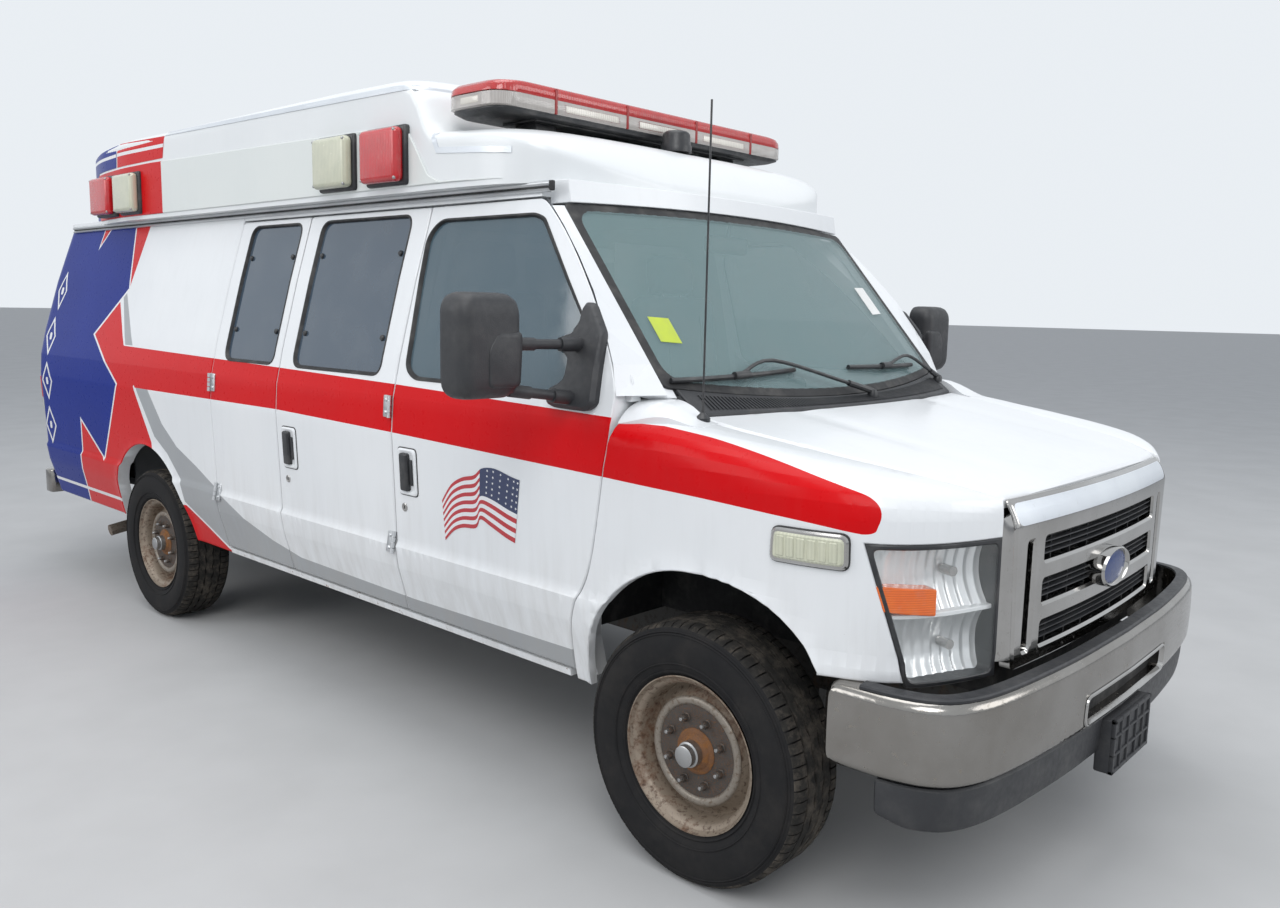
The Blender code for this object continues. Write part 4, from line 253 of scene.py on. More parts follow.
def rear_point(across, z, depth=0.0):
    bow = REAR_BOW * (1 - line_value(REAR_BOW_SHARES, across / REAR_EDGE_X))
    return Vector((across, REAR_FACE_Y - rear_lean(z) + bow - depth, z))


def nose_stations():
    # Rows of the nose plan: run, x, y, seam x, seam y.
    rows, run, before = [], 0.0, None
    for (across, along), (seam_across, seam_along) in zip(NOSE_PLAN_SHARES, HOOD_SEAM_SHARES):
        here = Vector((across * HALF_WIDTH, along * FRONT_OVERHANG))
        run += (here - before).length if before else 0.0
        rows.append((run, here.x, here.y, seam_across * HALF_WIDTH, seam_along * FRONT_OVERHANG))
        before = here
    return rows


NOSE = nose_stations()
NOSE_BY_Y = [(row[2], row[0]) for row in NOSE]


def nose_run(y):
    return curve_value(NOSE_BY_Y, y)


def hood_z(x, y):
    share = clamp((y - HOOD_FRONT_Y) / (HOOD_REAR_Y + HOOD_REAR_BOW - HOOD_FRONT_Y))
    roll = HOOD_CROWN * clamp(1 - (y - HOOD_FRONT_Y) / SHOULDER_RUN) ** 3
    return mix(HOOD_FRONT_Z, HOOD_REAR_Z, share) - HOOD_CROWN * (x / SCREEN_BASE_HALF) ** 2 - roll


def shoulder_z(run):
    y = curve_value(NOSE, run, 2)
    share = clamp((y - NOSE[0][2]) / (NOSE[-2][2] - NOSE[0][2]))
    return mix(SHOULDER_FRONT_Z, SHOULDER_REAR_Z, share)


def fender_point(sign, run, height, depth=0.0):
    # Below the shoulder the height is z. Above it, it measures the way over to the hood seam.
    x, y, seam_x, seam_y = (curve_value(NOSE, run, column) for column in (1, 2, 3, 4))
    step = NOSE[1][0] / 4
    ahead = Vector((curve_value(NOSE, run + step, 1), curve_value(NOSE, run + step, 2)))
    behind = Vector((curve_value(NOSE, run - step, 1), curve_value(NOSE, run - step, 2)))
    tangent = (ahead - behind).normalized()
    low = shoulder_z(run)
    turn = clamp((height - low) / SHOULDER_RUN) * math.pi / 2
    across, up = math.cos(turn) ** SHOULDER_POWER, math.sin(turn) ** SHOULDER_POWER
    top = hood_z(seam_x, seam_y)
    z = mix(low, top, up) if height > low else height
    narrow = half_width(min(z, low)) / half_width(low)
    px, py = mix(seam_x, x, across), mix(seam_y, y, across)
    px -= x * (1 - narrow)
    inward = Vector((-tangent.y, tangent.x)) * depth * math.cos(turn)
    return Vector((sign * (px + inward.x), py + inward.y, z - depth * math.sin(turn)))


SHOULDER_POWER = 0.62


def screen_point(across_share, up_share, depth=0.0):
    # The windscreen: shares run from -1 to 1 across and from 0 to 1 up.
    x = across_share * mix(SCREEN_BASE_HALF, SCREEN_TOP_HALF, up_share)
    y = mix(SCREEN_BASE_Y, SCREEN_TOP_Y, up_share)
    y += mix(SCREEN_BASE_SWEEP, SCREEN_TOP_SWEEP, up_share) * across_share**2
    z = mix(SCREEN_BASE_Z, SCREEN_TOP_Z, up_share)
    z += mix(SCREEN_BASE_RISE, -SCREEN_TOP_DROP, up_share) * across_share**2
    back = Vector((0, SCREEN_TOP_Z - SCREEN_BASE_Z, SCREEN_BASE_Y - SCREEN_TOP_Y)).normalized()
    return Vector((x, y, z)) + back * depth


def rounded(corners, radius, sides=2):
    # The outline with each corner cut by an arc of the radius.
    points = []
    count = len(corners)
    for index, corner in enumerate(corners):
        here = Vector(corner)
        before = (Vector(corners[index - 1]) - here)
        after = (Vector(corners[(index + 1) % count]) - here)
        reach = min(radius, before.length / 2.1, after.length / 2.1)
        start, end = here + before.normalized() * reach, here + after.normalized() * reach
        for step in range(sides + 1):
            t = step / sides
            points.append(tuple(start * (1 - t) ** 2 + here * 2 * t * (1 - t) + end * t**2))
    return points


def signed_area(points):
    pairs = zip(points, points[1:] + points[:1])
    return sum(a[0] * b[1] - b[0] * a[1] for a, b in pairs) / 2


def moved_in(points, distance):
    # The outline moved inwards by a distance, or outwards where it is negative.
    turn = 1 if signed_area(points) > 0 else -1
    moved = []
    for index, point in enumerate(points):
        here = Vector(point)
        before = (here - Vector(points[index - 1])).normalized()
        after = (Vector(points[(index + 1) % len(points)]) - here).normalized()
        normal = Vector((-(before.y + after.y), before.x + after.x)).normalized()
        stretch = 1 / max(normal.dot(Vector((-after.y, after.x))), 0.5)
        moved.append(tuple(here + normal * distance * stretch * turn))
    return moved


def arc(centre, radius, start, end, sides):
    angles = [mix(start, end, step / sides) for step in range(sides + 1)]
    return [(centre[0] + radius * math.cos(a), centre[1] + radius * math.sin(a)) for a in angles]


def evenly(low, high, step):
    # Places between two ends, evenly spaced and no more than a step apart.
    parts = math.ceil((high - low) / step)
    return [mix(low, high, part / parts) for part in range(1, parts)]


def loft(rings):
    # A closed solid through rings of like count, with flat ends.
    size = len(rings[0])
    points = [point for ring in rings for point in ring]
    faces = [tuple(range(size)), tuple(len(points) - size + i for i in range(size))]
    for level in range(len(rings) - 1):
        for i in range(size):
            j = (i + 1) % size
            low, high = level * size, (level + 1) * size
            faces.append((low + i, low + j, high + j, high + i))
    return mesh_from(points, faces)


def extruded(outline, place, low, high):
    # The outline carried from low to high: place turns its two coordinates and the third into a point.
    return loft([[place(a, b, level) for a, b in outline] for level in (low, high)])


def lathe(profile, place, sides):
    # Revolves (radius, along) points; place maps (a, b, along) to the car, and radius 0 closes on
    # the axis.
    points, rings = [], []
    for radius, along in profile:
        if radius == 0:
            rings.append([len(points)] * sides)
            points.append(place(0, 0, along))
            continue
        first = len(points)
        for i in range(sides):
            angle = 2 * math.pi * i / sides
            points.append(place(radius * math.cos(angle), radius * math.sin(angle), along))
        rings.append([first + i for i in range(sides)])
    faces = []
    closed = profile[0][0] != 0
    pairs = zip(rings, rings[1:] + rings[:1]) if closed else zip(rings, rings[1:])
    for low, high in pairs:
        for i in range(sides):
            j = (i + 1) % sides
            face = [low[i], low[j], high[j], high[i]]
            face = [index for k, index in enumerate(face) if index != face[k - 1]]
            if len(face) > 2:
                faces.append(tuple(face))
    return mesh_from(points, faces)


SIDES = (("right", -1), ("left", 1))
SIDE_END_Y = REAR_FACE_Y - REAR_CORNER_RADIUS


def front_door_outline():
    # Along as a share of the door's length, up as a share of its height.
    shares = (
        (0.178, 0.000),
        (0.168, 0.075),
        (0.140, 0.150),
        (0.085, 0.230),
        (0.050, 0.330),
        (0.012, 0.480),
        (0.000, 0.560),
        (0.006, 0.615),
        (0.060, 0.690),
        (0.165, 0.800),
        (0.300, 0.910),
        (0.418, 0.985),
        (0.460, 1.000),
        (1.000, 1.000),
        (1.000, 0.000),
    )
    low, high = DOOR_FRONT_Y, B_GAP_Y - PANEL_GAP / 2
    return [(mix(low, high, a), mix(DOOR_BOTTOM_Z, DOOR_TOP_Z, b)) for a, b in shares]


def front_window():
    shares = (
        (0.070, 0.000),
        (0.140, 0.330),
        (0.405, 0.925),
        (0.425, 0.970),
        (0.470, 1.000),
        (0.935, 1.000),
        (0.985, 0.900),
        (0.950, 0.060),
        (0.900, 0.000),
    )
    low, high = DOOR_FRONT_Y, B_GAP_Y
    base, top = BELT_Z + WINDOW_RADIUS, DOOR_TOP_Z - WINDOW_RADIUS
    return [(mix(low, high, a), mix(base, top, b)) for a, b in shares]


def leaf(low, high):
    return [(low, DOOR_BOTTOM_Z), (high, DOOR_BOTTOM_Z), (high, DOOR_TOP_Z), (low, DOOR_TOP_Z)]


def leaf_window(low, high, front_margin, rear_margin):
    base, top = BELT_Z + WINDOW_RADIUS, DOOR_TOP_Z - WINDOW_RADIUS / 2
    corners = [
        (low + front_margin, base), (high - rear_margin, base), (high - rear_margin, top),
        (low + front_margin, top),
    ]
    return rounded(corners, WINDOW_RADIUS, 8)


def pillar_edge(z):
    # Where the front edge of the front door lies at a height.
    rows = sorted((up, along) for along, up in front_door_outline()[:12])
    return line_value(rows, z)


def pillar_shift(along, z, depth):
    # Behind the windscreen pillar the inner faces stand further back, so that nothing pokes through
    # the pillar.
    height = clamp((z - BELT_Z) / (DOOR_TOP_Z - BELT_Z))
    edge = pillar_edge(z)
    share = clamp((along - edge) / (B_GAP_Y - edge))
    return PILLAR_SHIFT * height * (1 - share) * depth / DOOR_DEPTH


def free_edge_shift(reach, drop):
    # How far the inner face stops short at the free edge, to keep inside the circle that the outer
    # corner sweeps.
    return reach - math.sqrt(reach**2 + drop**2 - (drop + DOOR_DEPTH) ** 2)


def door_faces(sign, hinge, free, by_pillar=False):
    reach = abs(free - hinge)

    def outer(along, z):
        return side_point(sign, along, z)

    def inner(along, z):
        drop = HALF_WIDTH + DOOR_SWING_AXIS_OUT - half_width(z)
        share = clamp(abs(along - hinge) / reach)
        place = along + (hinge - free) / reach * free_edge_shift(reach, drop) * share
        if by_pillar:
            place += pillar_shift(along, z, DOOR_DEPTH)
        return side_point(sign, place, z, DOOR_DEPTH)

    return outer, inner


def between(outer, inner, depth):
    # The face that lies at a depth between the outer and inner faces of a door.
    return lambda along, z: outer(along, z).lerp(inner(along, z), depth / DOOR_DEPTH)


EDGE_TRIM = 0.006
PILLAR_SHIFT = 0.085
REAR_DOOR_BOTTOM_Z = 0.575
REAR_WINDOW_MARGIN = 0.120


def rear_surface(sign, u, z, depth=0.0):
    # u is measured from the middle at the widest height, and narrows with the body sides.
    narrow = (half_width(z) - REAR_CORNER_RADIUS) / REAR_EDGE_X
    spot = rear_point(u, z, depth)
    return Vector((sign * u * narrow, spot.y, z))


ARCH_FRONT_POWER = 0.80
ARCH_HALF_LENGTH = 0.435
ARCH_HEIGHT = 0.445
LAMP_SEAM_TOP_Y = -0.500
LAMP_SEAM_BOTTOM_Y = -0.585
LAMP_GAP = 0.0008


COWL_DEPTH = 0.010


def hood_rear_y(x):
    return HOOD_REAR_Y + HOOD_REAR_BOW * (x / SCREEN_BASE_HALF) ** 2


def screen_foot_y(x):
    return SCREEN_BASE_Y + SCREEN_BASE_SWEEP * (x / SCREEN_BASE_HALF) ** 2 - LAMP_GAP


def cowl_z(x, y):
    low, high = hood_rear_y(x), screen_foot_y(x)
    rise = SCREEN_BASE_Z + SCREEN_BASE_RISE * (x / SCREEN_BASE_HALF) ** 2
    return mix(hood_z(x, low), rise, clamp((y - low) / (high - low)))


ROOF_SHARES = (
    (0.000, 0.34, 0.02, 0.05),
    (0.008, 0.620, 0.080, 0.150),
    (0.021, 0.800, 0.150, 0.280),
    (0.044, 0.940, 0.240, 0.410),
    (0.085, 0.990, 0.300, 0.485),
    (0.153, 1.000, 0.350, 0.520),
    (0.183, 0.995, 0.740, 0.885),
    (0.208, 0.995, 0.780, 0.980),
    (0.322, 0.995, 0.790, 1.000),
    (0.770, 0.995, 0.790, 1.000),
    (0.860, 0.965, 0.785, 0.990),
    (0.935, 0.895, 0.760, 0.955),
    (0.980, 0.790, 0.700, 0.880),
    (1.000, 0.640, 0.520, 0.620),
)
ROOF_FRONT_Y = 0.668
LAMP_SHARES = (0.214, 0.294, 0.767, 0.841)
ROOF_POWER = 0.55
BUMPER_PLAN_SHARES = (
    (0.00, -0.980),
    (0.30, -0.973),
    (0.60, -0.950),
    (0.80, -0.918),
    (0.92, -0.860),
    (0.975, -0.770),
    (0.995, -0.660),
    (1.000, -0.500),
)
BUMPER_SLOT_HALF = 0.330
BUMPER_SLOT_LOW_Z = 0.522
BUMPER_SLOT_HIGH_Z = 0.578
VALANCE_SETBACK = 0.018


def bumper_stations():
    rows, run, before = [], 0.0, None
    for across, along in BUMPER_PLAN_SHARES:
        here = Vector((across * BUMPER_HALF_WIDTH, along * FRONT_OVERHANG))
        run += (here - before).length if before else 0.0
        rows.append((run, here.x, here.y))
        before = here
    return rows


BUMPER = bumper_stations()


def bumper_point(run, z, depth=0.0):
    sign = -1 if run < 0 else 1
    place, step = abs(run), BUMPER[1][0] / 8
    x, y = curve_value(BUMPER, place, 1), curve_value(BUMPER, place, 2)
    ahead = (curve_value(BUMPER, place + step, 1), curve_value(BUMPER, place + step, 2))
    behind = (curve_value(BUMPER, place - step, 1), curve_value(BUMPER, place - step, 2))
    tangent = Vector((ahead[0] - behind[0], ahead[1] - behind[1])).normalized()
    return Vector((sign * (x - tangent.y * depth), y + tangent.x * depth, z))


GRILLE_FRONT_Y = -0.757
GRILLE_BOW = 0.030
GRILLE_BACK_Y = -0.665
GRILLE_STRIP_Z = 1.073
GRILLE_STRIP_LEAN = 0.032
GRILLE_SLOT_WIDTH = 0.035
GRILLE_FRAME = 0.042


def grille_front(x, z):
    lean = GRILLE_STRIP_LEAN * clamp((z - GRILLE_STRIP_Z) / (GRILLE_TOP_Z - GRILLE_STRIP_Z)) ** 1.5
    return Vector((x, GRILLE_FRONT_Y + GRILLE_BOW * (x / GRILLE_TOP_HALF) ** 2 + lean, z))


MIRROR_Y = 0.500
MIRROR_OUT = 0.285
MIRROR_LOW_Z = 1.340


def wheel_places():
    rows = []
    for end, y, track in (("front", 0.0, FRONT_TRACK), ("rear", WHEELBASE, REAR_TRACK)):
        for side, sign in SIDES:
            rows.append((f"{end}_{side}", sign, y, track / 2))
    return rows


def wheel_frame(sign, y, middle):
    return lambda a, b, c: Vector((sign * (middle + c), y + a, TYRE_RADIUS + b))


MIDDLE_Y = (WHEELBASE + REAR_OVERHANG - FRONT_OVERHANG) / 2
SMOOTH_ANGLE = math.radians(42)


def mesh_from(points, faces):
    bm = bmesh.new()
    vertices = [bm.verts.new(point) for point in points]
    for face in faces:
        if len(set(face)) > 2:
            bm.faces.new([vertices[index] for index in face])
    bmesh.ops.recalc_face_normals(bm, faces=bm.faces)
    mesh = bpy.data.meshes.new("mesh")
    bm.to_mesh(mesh)
    bm.free()
    return mesh


def joined(meshes):
    bm = bmesh.new()
    for mesh in meshes:
        bm.from_mesh(mesh)
    mesh = bpy.data.meshes.new("mesh")
    bm.to_mesh(mesh)
    bm.free()
    return mesh


def piece(
    name, meshes, body, looks, replaces=(), angle=SMOOTH_ANGLE, bevel=0.0, segments=2,
    levels=0,
):
    # One shown object made of some meshes, riding on a body.
    meshes = meshes if isinstance(meshes, (list, tuple)) else [meshes]
    mesh = joined(meshes) if len(meshes) > 1 else meshes[0]
    mesh.transform(Matrix.Translation((0, -MIDDLE_Y, 0)))
    for look in looks if isinstance(looks, (list, tuple)) else [looks]:
        mesh.materials.append(look)
    mesh.name = name
    made = bpy.data.objects.new(name, mesh)
    bpy.context.scene.collection.objects.link(made)
    mesh.shade_smooth()
    mesh.set_sharp_from_angle(angle=angle)
    if levels:
        divide = made.modifiers.new("rounder", "SUBSURF")
        divide.levels = divide.render_levels = levels
    if bevel:
        edge = made.modifiers.new("edges", "BEVEL")
        edge.width, edge.segments, edge.limit_method = bevel, segments, "ANGLE"
        edge.angle_limit = math.radians(35)
        edge.harden_normals = True
    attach(made, body)
    if replaces:
        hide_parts(*([replaces] if isinstance(replaces, str) else replaces))
    return made


def inside_many(points, loop):
    hit = np.zeros(len(points), bool)
    x, y = points[:, 0], points[:, 1]
    for (ax, ay), (bx, by) in zip(loop, list(loop[1:]) + [loop[0]]):
        if ay == by:
            continue
        across = ax + (y - ay) / (by - ay) * (bx - ax)
        hit ^= ((ay > y) != (by > y)) & (x < across)
    return hit


def resampled(loop, step):
    # The loop with points added so that none of its sides is longer than a step.
    points = []
    for a, b in zip(loop, list(loop[1:]) + [loop[0]]):
        parts = max(1, math.ceil(math.dist(a, b) / step))
        points += [(mix(a[0], b[0], i / parts), mix(a[1], b[1], i / parts)) for i in range(parts)]
    return points


def eased(points, per=6, closed=False):
    # A smooth curve through the points.
    count = len(points)
    result = []
    spans = count if closed else count - 1
    for i in range(spans):
        if closed:
            p = [points[(i + k) % count] for k in (-1, 0, 1, 2)]
        else:
            p = [points[min(max(i + k, 0), count - 1)] for k in (-1, 0, 1, 2)]
        for step in range(per):
            t = step / per
            weights = (
                (-t + 2 * t * t - t**3) / 2,
                (2 - 5 * t * t + 3 * t**3) / 2,
                (t + 4 * t * t - 3 * t**3) / 2,
                (-t * t + t**3) / 2,
            )
            result.append(tuple(
                sum(w * q[axis] for w, q in zip(weights, p))
                for axis in range(len(p[0]))
            ))
    if not closed:
        result.append(tuple(points[-1]))
    return result


def to_edges(points, loops):
    # Distance of each point to the nearest side of the loops.
    best = np.full(len(points), 1e9)
    for loop in loops:
        ring = np.array(loop)
        for a, b in zip(ring, np.roll(ring, -1, axis=0)):
            span = b - a
            size = max(float(span @ span), 1e-12)
            share = np.clip(((points - a) @ span) / size, 0, 1)
            best = np.minimum(best, np.hypot(*(points - a - share[:, None] * span).T))
    return best


def skin(outline, holes, outer, inner, step=0.045, areas=(), lip=0.003, back=True, columns=(), rows=()):
    # A smooth panel with rounded edges. areas are (polygon, material index) pairs, later ones on top.
    loops = [resampled(outline, step)] + [resampled(hole, step / 2) for hole in holes]
    rings = []
    if lip:
        for number, loop in enumerate(loops):
            way = -1 if number else 1
            rings += [moved_in(loop, way * lip), moved_in(loop, way * lip * 2.4)]
    points, edges = [], []
    for loop in [*loops, *rings, *[resampled(area, step) for area, _ in areas]]:
        first = len(points)
        points += [tuple(p)[:2] for p in loop]
        edges += [(first + i, first + (i + 1) % len(loop)) for i in range(len(loop))]
    spans = [(min(p[axis] for p in loops[0]), max(p[axis] for p in loops[0])) for axis in (0, 1)]
    for axis, places in ((0, columns), (1, rows)):
        low, high = spans[axis]
        for place in [*evenly(low, high, step), *[p for p in places if low < p < high]]:
            ends = spans[1 - axis]
            parts = math.ceil((ends[1] - ends[0]) / step)
            first = len(points)
            for i in range(parts + 1):
                end = mix(ends[0] - MERGE * 9, ends[1] + MERGE * 9, i / parts)
                points.append((place, end) if axis == 0 else (end, place))
            edges += [(first + i, first + i + 1) for i in range(parts)]
    flat, _, faces, *_ = delaunay_2d_cdt([Vector(p) for p in points], edges, [], 0, MERGE)
    flat = np.array([tuple(p) for p in flat])
    middles = np.array([flat[list(face)].mean(axis=0) for face in faces])
    keep = inside_many(middles, loops[0])
    for loop in loops[1:]:
        keep &= ~inside_many(middles, loop)
    index = np.zeros(len(faces), int)
    for area, number in areas:
        index[inside_many(middles, [tuple(p)[:2] for p in area])] = number
    faces = [(tuple(face), number) for face, ok, number in zip(faces, keep, index) if ok]
    used = sorted({i for face, _ in faces for i in face})
    new = {old: i for i, old in enumerate(used)}
    count = len(used)
    spots = flat[used]
    near = to_edges(spots, loops) if lip else np.full(count, 1.0)
    tops, backs = [], []
    for (u, v), gap in zip(spots, near):
        top, low = Vector(outer(u, v)), Vector(inner(u, v))
        if lip and gap < lip:
            drop = lip * (1 - math.sqrt(max(0.0, 1 - (1 - gap / lip) ** 2)))
            top += (low - top).normalized() * drop
        tops.append(top)
        backs.append(low)
    fronts = [(tuple(new[i] for i in face), number) for face, number in faces]
    ends = {(a, b) for face, _ in fronts for a, b in zip(face, face[1:] + face[:1])}
    every = list(fronts)
    if back:
        every += [((a, b, b + count, a + count), 0) for a, b in sorted(ends) if (b, a) not in ends]
        every += [(tuple(i + count for i in reversed(face)), 0) for face, _ in fronts]
    bm = bmesh.new()
    vertices = [bm.verts.new(p) for p in (tops + backs if back else tops)]
    for face, number in every:
        made = bm.faces.new([vertices[i] for i in face])
        made.material_index = number
    bmesh.ops.recalc_face_normals(bm, faces=bm.faces)
    mesh = bpy.data.meshes.new("mesh")
    bm.to_mesh(mesh)
    bm.free()
    return mesh


def sweep(path, profile, closed=False, capped=True):
    # path holds (point, side, up) frames; profile holds (side, up) pairs.
    rings = [[spot + side * a + up * b for a, b in profile] for spot, side, up in path]
    size, count = len(profile), len(rings)
    points = [point for ring in rings for point in ring]
    faces = []
    for level in range(count if closed else count - 1):
        for i in range(size):
            j = (i + 1) % size
            low, high = level * size, (level + 1) % count * size
            faces.append((low + i, low + j, high + j, high + i))
    if capped and not closed:
        faces += [tuple(range(size)), tuple((count - 1) * size + i for i in range(size))]
    return mesh_from(points, faces)


def ring_profile(radius, sides=10, flat=1.0):
    return [
        (radius * math.cos(2 * math.pi * i / sides), flat * radius * math.sin(2 * math.pi * i / sides))
        for i in range(sides)
    ]


def wire(route, radius, sides=8, closed=False):
    # A round bar through some points.
    spots = [Vector(p) for p in route]
    path, before = [], None
    for i, spot in enumerate(spots):
        last = len(spots) - 1
        if closed:
            way = (spots[(i + 1) % len(spots)] - spots[i - 1]).normalized()
        else:
            way = (spots[min(i + 1, last)] - spots[max(i - 1, 0)]).normalized()
        guide = before if before else (Vector((0, 0, 1)) if abs(way.z) < 0.9 else Vector((0, 1, 0)))
        side = way.cross(guide).normalized()
        up = side.cross(way).normalized()
        before = up
        path.append((spot, side, up))
    return sweep(path, ring_profile(radius, sides), closed)


def soft_box(low, high, radius, segments=3):
    # A box with rounded edges, as one mesh.
    bm = bmesh.new()
    bmesh.ops.create_cube(bm, size=1.0)
    size = [h - l for l, h in zip(low, high)]
    middle = [(l + h) / 2 for l, h in zip(low, high)]
    bmesh.ops.scale(bm, vec=size, verts=bm.verts)
    bmesh.ops.translate(bm, vec=middle, verts=bm.verts)
    reach = min(radius, min(size) * 0.49)
    bmesh.ops.bevel(bm, geom=bm.edges[:], offset=reach, segments=segments, profile=0.5, affect="EDGES")
    mesh = bpy.data.meshes.new("mesh")
    bm.to_mesh(mesh)
    bm.free()
    return mesh


def moved(mesh, matrix):
    mesh.transform(matrix)
    return mesh


# Materials


def add(tree, kind, values=(), **settings):
    made = tree.nodes.new(kind)
    for key, value in settings.items():
        setattr(made, key, value)
    pairs = values.items() if isinstance(values, dict) else enumerate(values)
    for key, value in pairs:
        if isinstance(value, bpy.types.NodeSocket):
            tree.links.new(value, made.inputs[key])
        elif value is not None:
            made.inputs[key].default_value = value
    return made


class Look:
    # A procedural material: one Principled shader and the nodes that feed it.

    def __init__(self, name, roughness=0.5, **sockets):
        self.made = bpy.data.materials.new(name)
        self.made.use_nodes = True
        self.tree = self.made.node_tree
        self.shader = self.tree.nodes["Principled BSDF"]
        self.place = add(self.tree, "ShaderNodeTexCoord").outputs["Object"]
        self.shader.inputs["Roughness"].default_value = roughness
        for key, value in sockets.items():
            self.shader.inputs[key.replace("_", " ")].default_value = value

    def math(self, operation, *values, clamp=False):
        return add(self.tree, "ShaderNodeMath", values, operation=operation, use_clamp=clamp).outputs[0]

    def noise(self, scale, detail=4.0, rough=0.55, warp=0.0, place=None):
        values = {
            "Vector": place or self.place, "Scale": scale, "Detail": detail, "Roughness": rough,
            "Distortion": warp,
        }
        return add(self.tree, "ShaderNodeTexNoise", values).outputs["Fac"]

    def cells(self, scale, feature="F1", place=None):
        values = {"Vector": place or self.place, "Scale": scale}
        return add(self.tree, "ShaderNodeTexVoronoi", values, feature=feature).outputs["Distance"]

    def wave(self, scale, direction="X", warp=0.0, place=None):
        values = {"Vector": place or self.place, "Scale": scale, "Distortion": warp}
        return add(self.tree, "ShaderNodeTexWave", values, bands_direction=direction).outputs["Fac"]

    def span(self, value, low, high, to_low=0.0, to_high=1.0):
        values = {
            "Value": value, "From Min": low, "From Max": high, "To Min": to_low, "To Max": to_high,
        }
        return add(self.tree, "ShaderNodeMapRange", values).outputs["Result"]

    def stretched(self, x=1.0, y=1.0, z=1.0):
        return add(
            self.tree, "ShaderNodeMapping", {"Vector": self.place, "Scale": (x, y, z)},
        ).outputs["Vector"]

    def axis(self, name, place=None):
        return add(self.tree, "ShaderNodeSeparateXYZ", [place or self.place]).outputs[name]

    def mix(self, share, first, second):
        made = add(self.tree, "ShaderNodeMix", data_type="RGBA")
        for key, value in ((0, share), (6, first), (7, second)):
            if isinstance(value, bpy.types.NodeSocket):
                self.tree.links.new(value, made.inputs[key])
            else:
                made.inputs[key].default_value = (*value, 1.0) if key else value
        return made.outputs[2]

    def colour(self, value):
        self.tree.links.new(value, self.shader.inputs["Base Color"])
        return self

    def rough(self, value):
        self.tree.links.new(value, self.shader.inputs["Roughness"])
        return self

    def metal(self, value):
        self.tree.links.new(value, self.shader.inputs["Metallic"])
        return self

    def bump(self, *layers):
        # layers are (height, distance, strength) from the coarsest to the finest.
        normal = None
        for height, distance, strength in layers:
            values = {"Height": height, "Distance": distance, "Strength": strength, "Normal": normal}
            normal = add(self.tree, "ShaderNodeBump", values).outputs["Normal"]
        self.tree.links.new(normal, self.shader.inputs["Normal"])
        return self


def body_look(name, base, tint, rough=0.30, grime=1.0, chips=True, coat=0.35, gloss=0.5):
    # Paint or film on the body: slight tone changes, dust low down, streaks, scuffs and a few chips.
    look = Look(name, Coat_Weight=coat, Coat_Roughness=0.12, Specular_IOR_Level=gloss)
    broad = look.noise(1.3, 3.0)
    fine = look.noise(38.0, 6.0, 0.65)
    colour = look.mix(look.span(broad, 0.35, 0.65), base, tint)
    height = look.axis("Z")
    low = look.span(height, 0.95, 0.42)
    streaks = look.noise(4.0, 5.0, 0.6, place=look.stretched(6.0, 6.0, 0.7))
    dust = look.math("MULTIPLY", low, look.span(streaks, 0.30, 0.75), clamp=True)
    dust = look.math("MULTIPLY", dust, 0.42 * grime)
    colour = look.mix(dust, colour, (0.36, 0.33, 0.29))
    wash = look.math("MULTIPLY", look.span(streaks, 0.50, 0.85), 0.10 * grime)
    colour = look.mix(wash, colour, (0.50, 0.49, 0.47))
    if chips:
        spots = look.noise(26.0, 8.0, 0.72)
        reach = look.span(height, 0.62, 0.43)
        level = look.math("ADD", look.math("MULTIPLY", reach, 0.15), spots)
        colour = look.mix(look.span(level, 0.735, 0.765), colour, (0.20, 0.095, 0.045))
    look.colour(colour)
    wear = look.math(
        "ADD",
        look.span(fine, 0.3, 0.7, rough - 0.02, rough + 0.04),
        look.math("MULTIPLY", dust, 0.9),
    )
    look.rough(wear)
    look.bump((look.noise(2.2, 2.0), 0.004, 0.10))
    return look.made


def plastic_look(
    name, base, tint, rough=0.5, grain=320.0, depth=0.0007, dust=(0.30, 0.28, 0.25),
    amount=0.18, **sockets,
):
    look = Look(name, **sockets)
    tone = look.noise(7.0, 5.0)
    colour = look.mix(look.span(tone, 0.35, 0.7), base, tint)
    settled = look.span(look.noise(14.0, 7.0, 0.62), 0.48, 0.78, 0.0, amount)
    colour = look.mix(settled, colour, dust)
    look.colour(colour)
    look.rough(look.span(look.noise(55.0, 5.0), 0.3, 0.7, rough - 0.07, rough + 0.09))
    look.bump((look.cells(grain), depth, 0.35), (look.noise(grain * 2.3, 3.0), depth / 2, 0.25))
    return look.made


def metal_look(
    name, base, tint, rough=0.2, scratch=1.0, dirt=0.1, metallic=1.0, dirt_tone=(0.20, 0.17, 0.13),
):
    look = Look(name)
    broad = look.noise(5.0, 5.0)
    lines = look.noise(3.0, 9.0, 0.75, place=look.stretched(2.0, 60.0, 60.0))
    spots = look.span(look.noise(45.0, 8.0, 0.7), 0.60, 0.72, 0.0, 1.0)
    colour = look.mix(look.span(broad, 0.3, 0.7), base, tint)
    cover = look.math("MULTIPLY", spots, dirt, clamp=True)
    look.colour(look.mix(cover, colour, dirt_tone))
    shine = look.span(lines, 0.35, 0.75, rough, rough + 0.16 * scratch)
    look.rough(look.math("ADD", shine, look.math("MULTIPLY", cover, 0.6)))
    look.metal(look.math("SUBTRACT", metallic, look.math("MULTIPLY", cover, 0.9), clamp=True))
    look.bump((look.noise(9.0, 3.0), 0.002, 0.12), (lines, 0.0004, 0.15 * scratch))
    return look.made


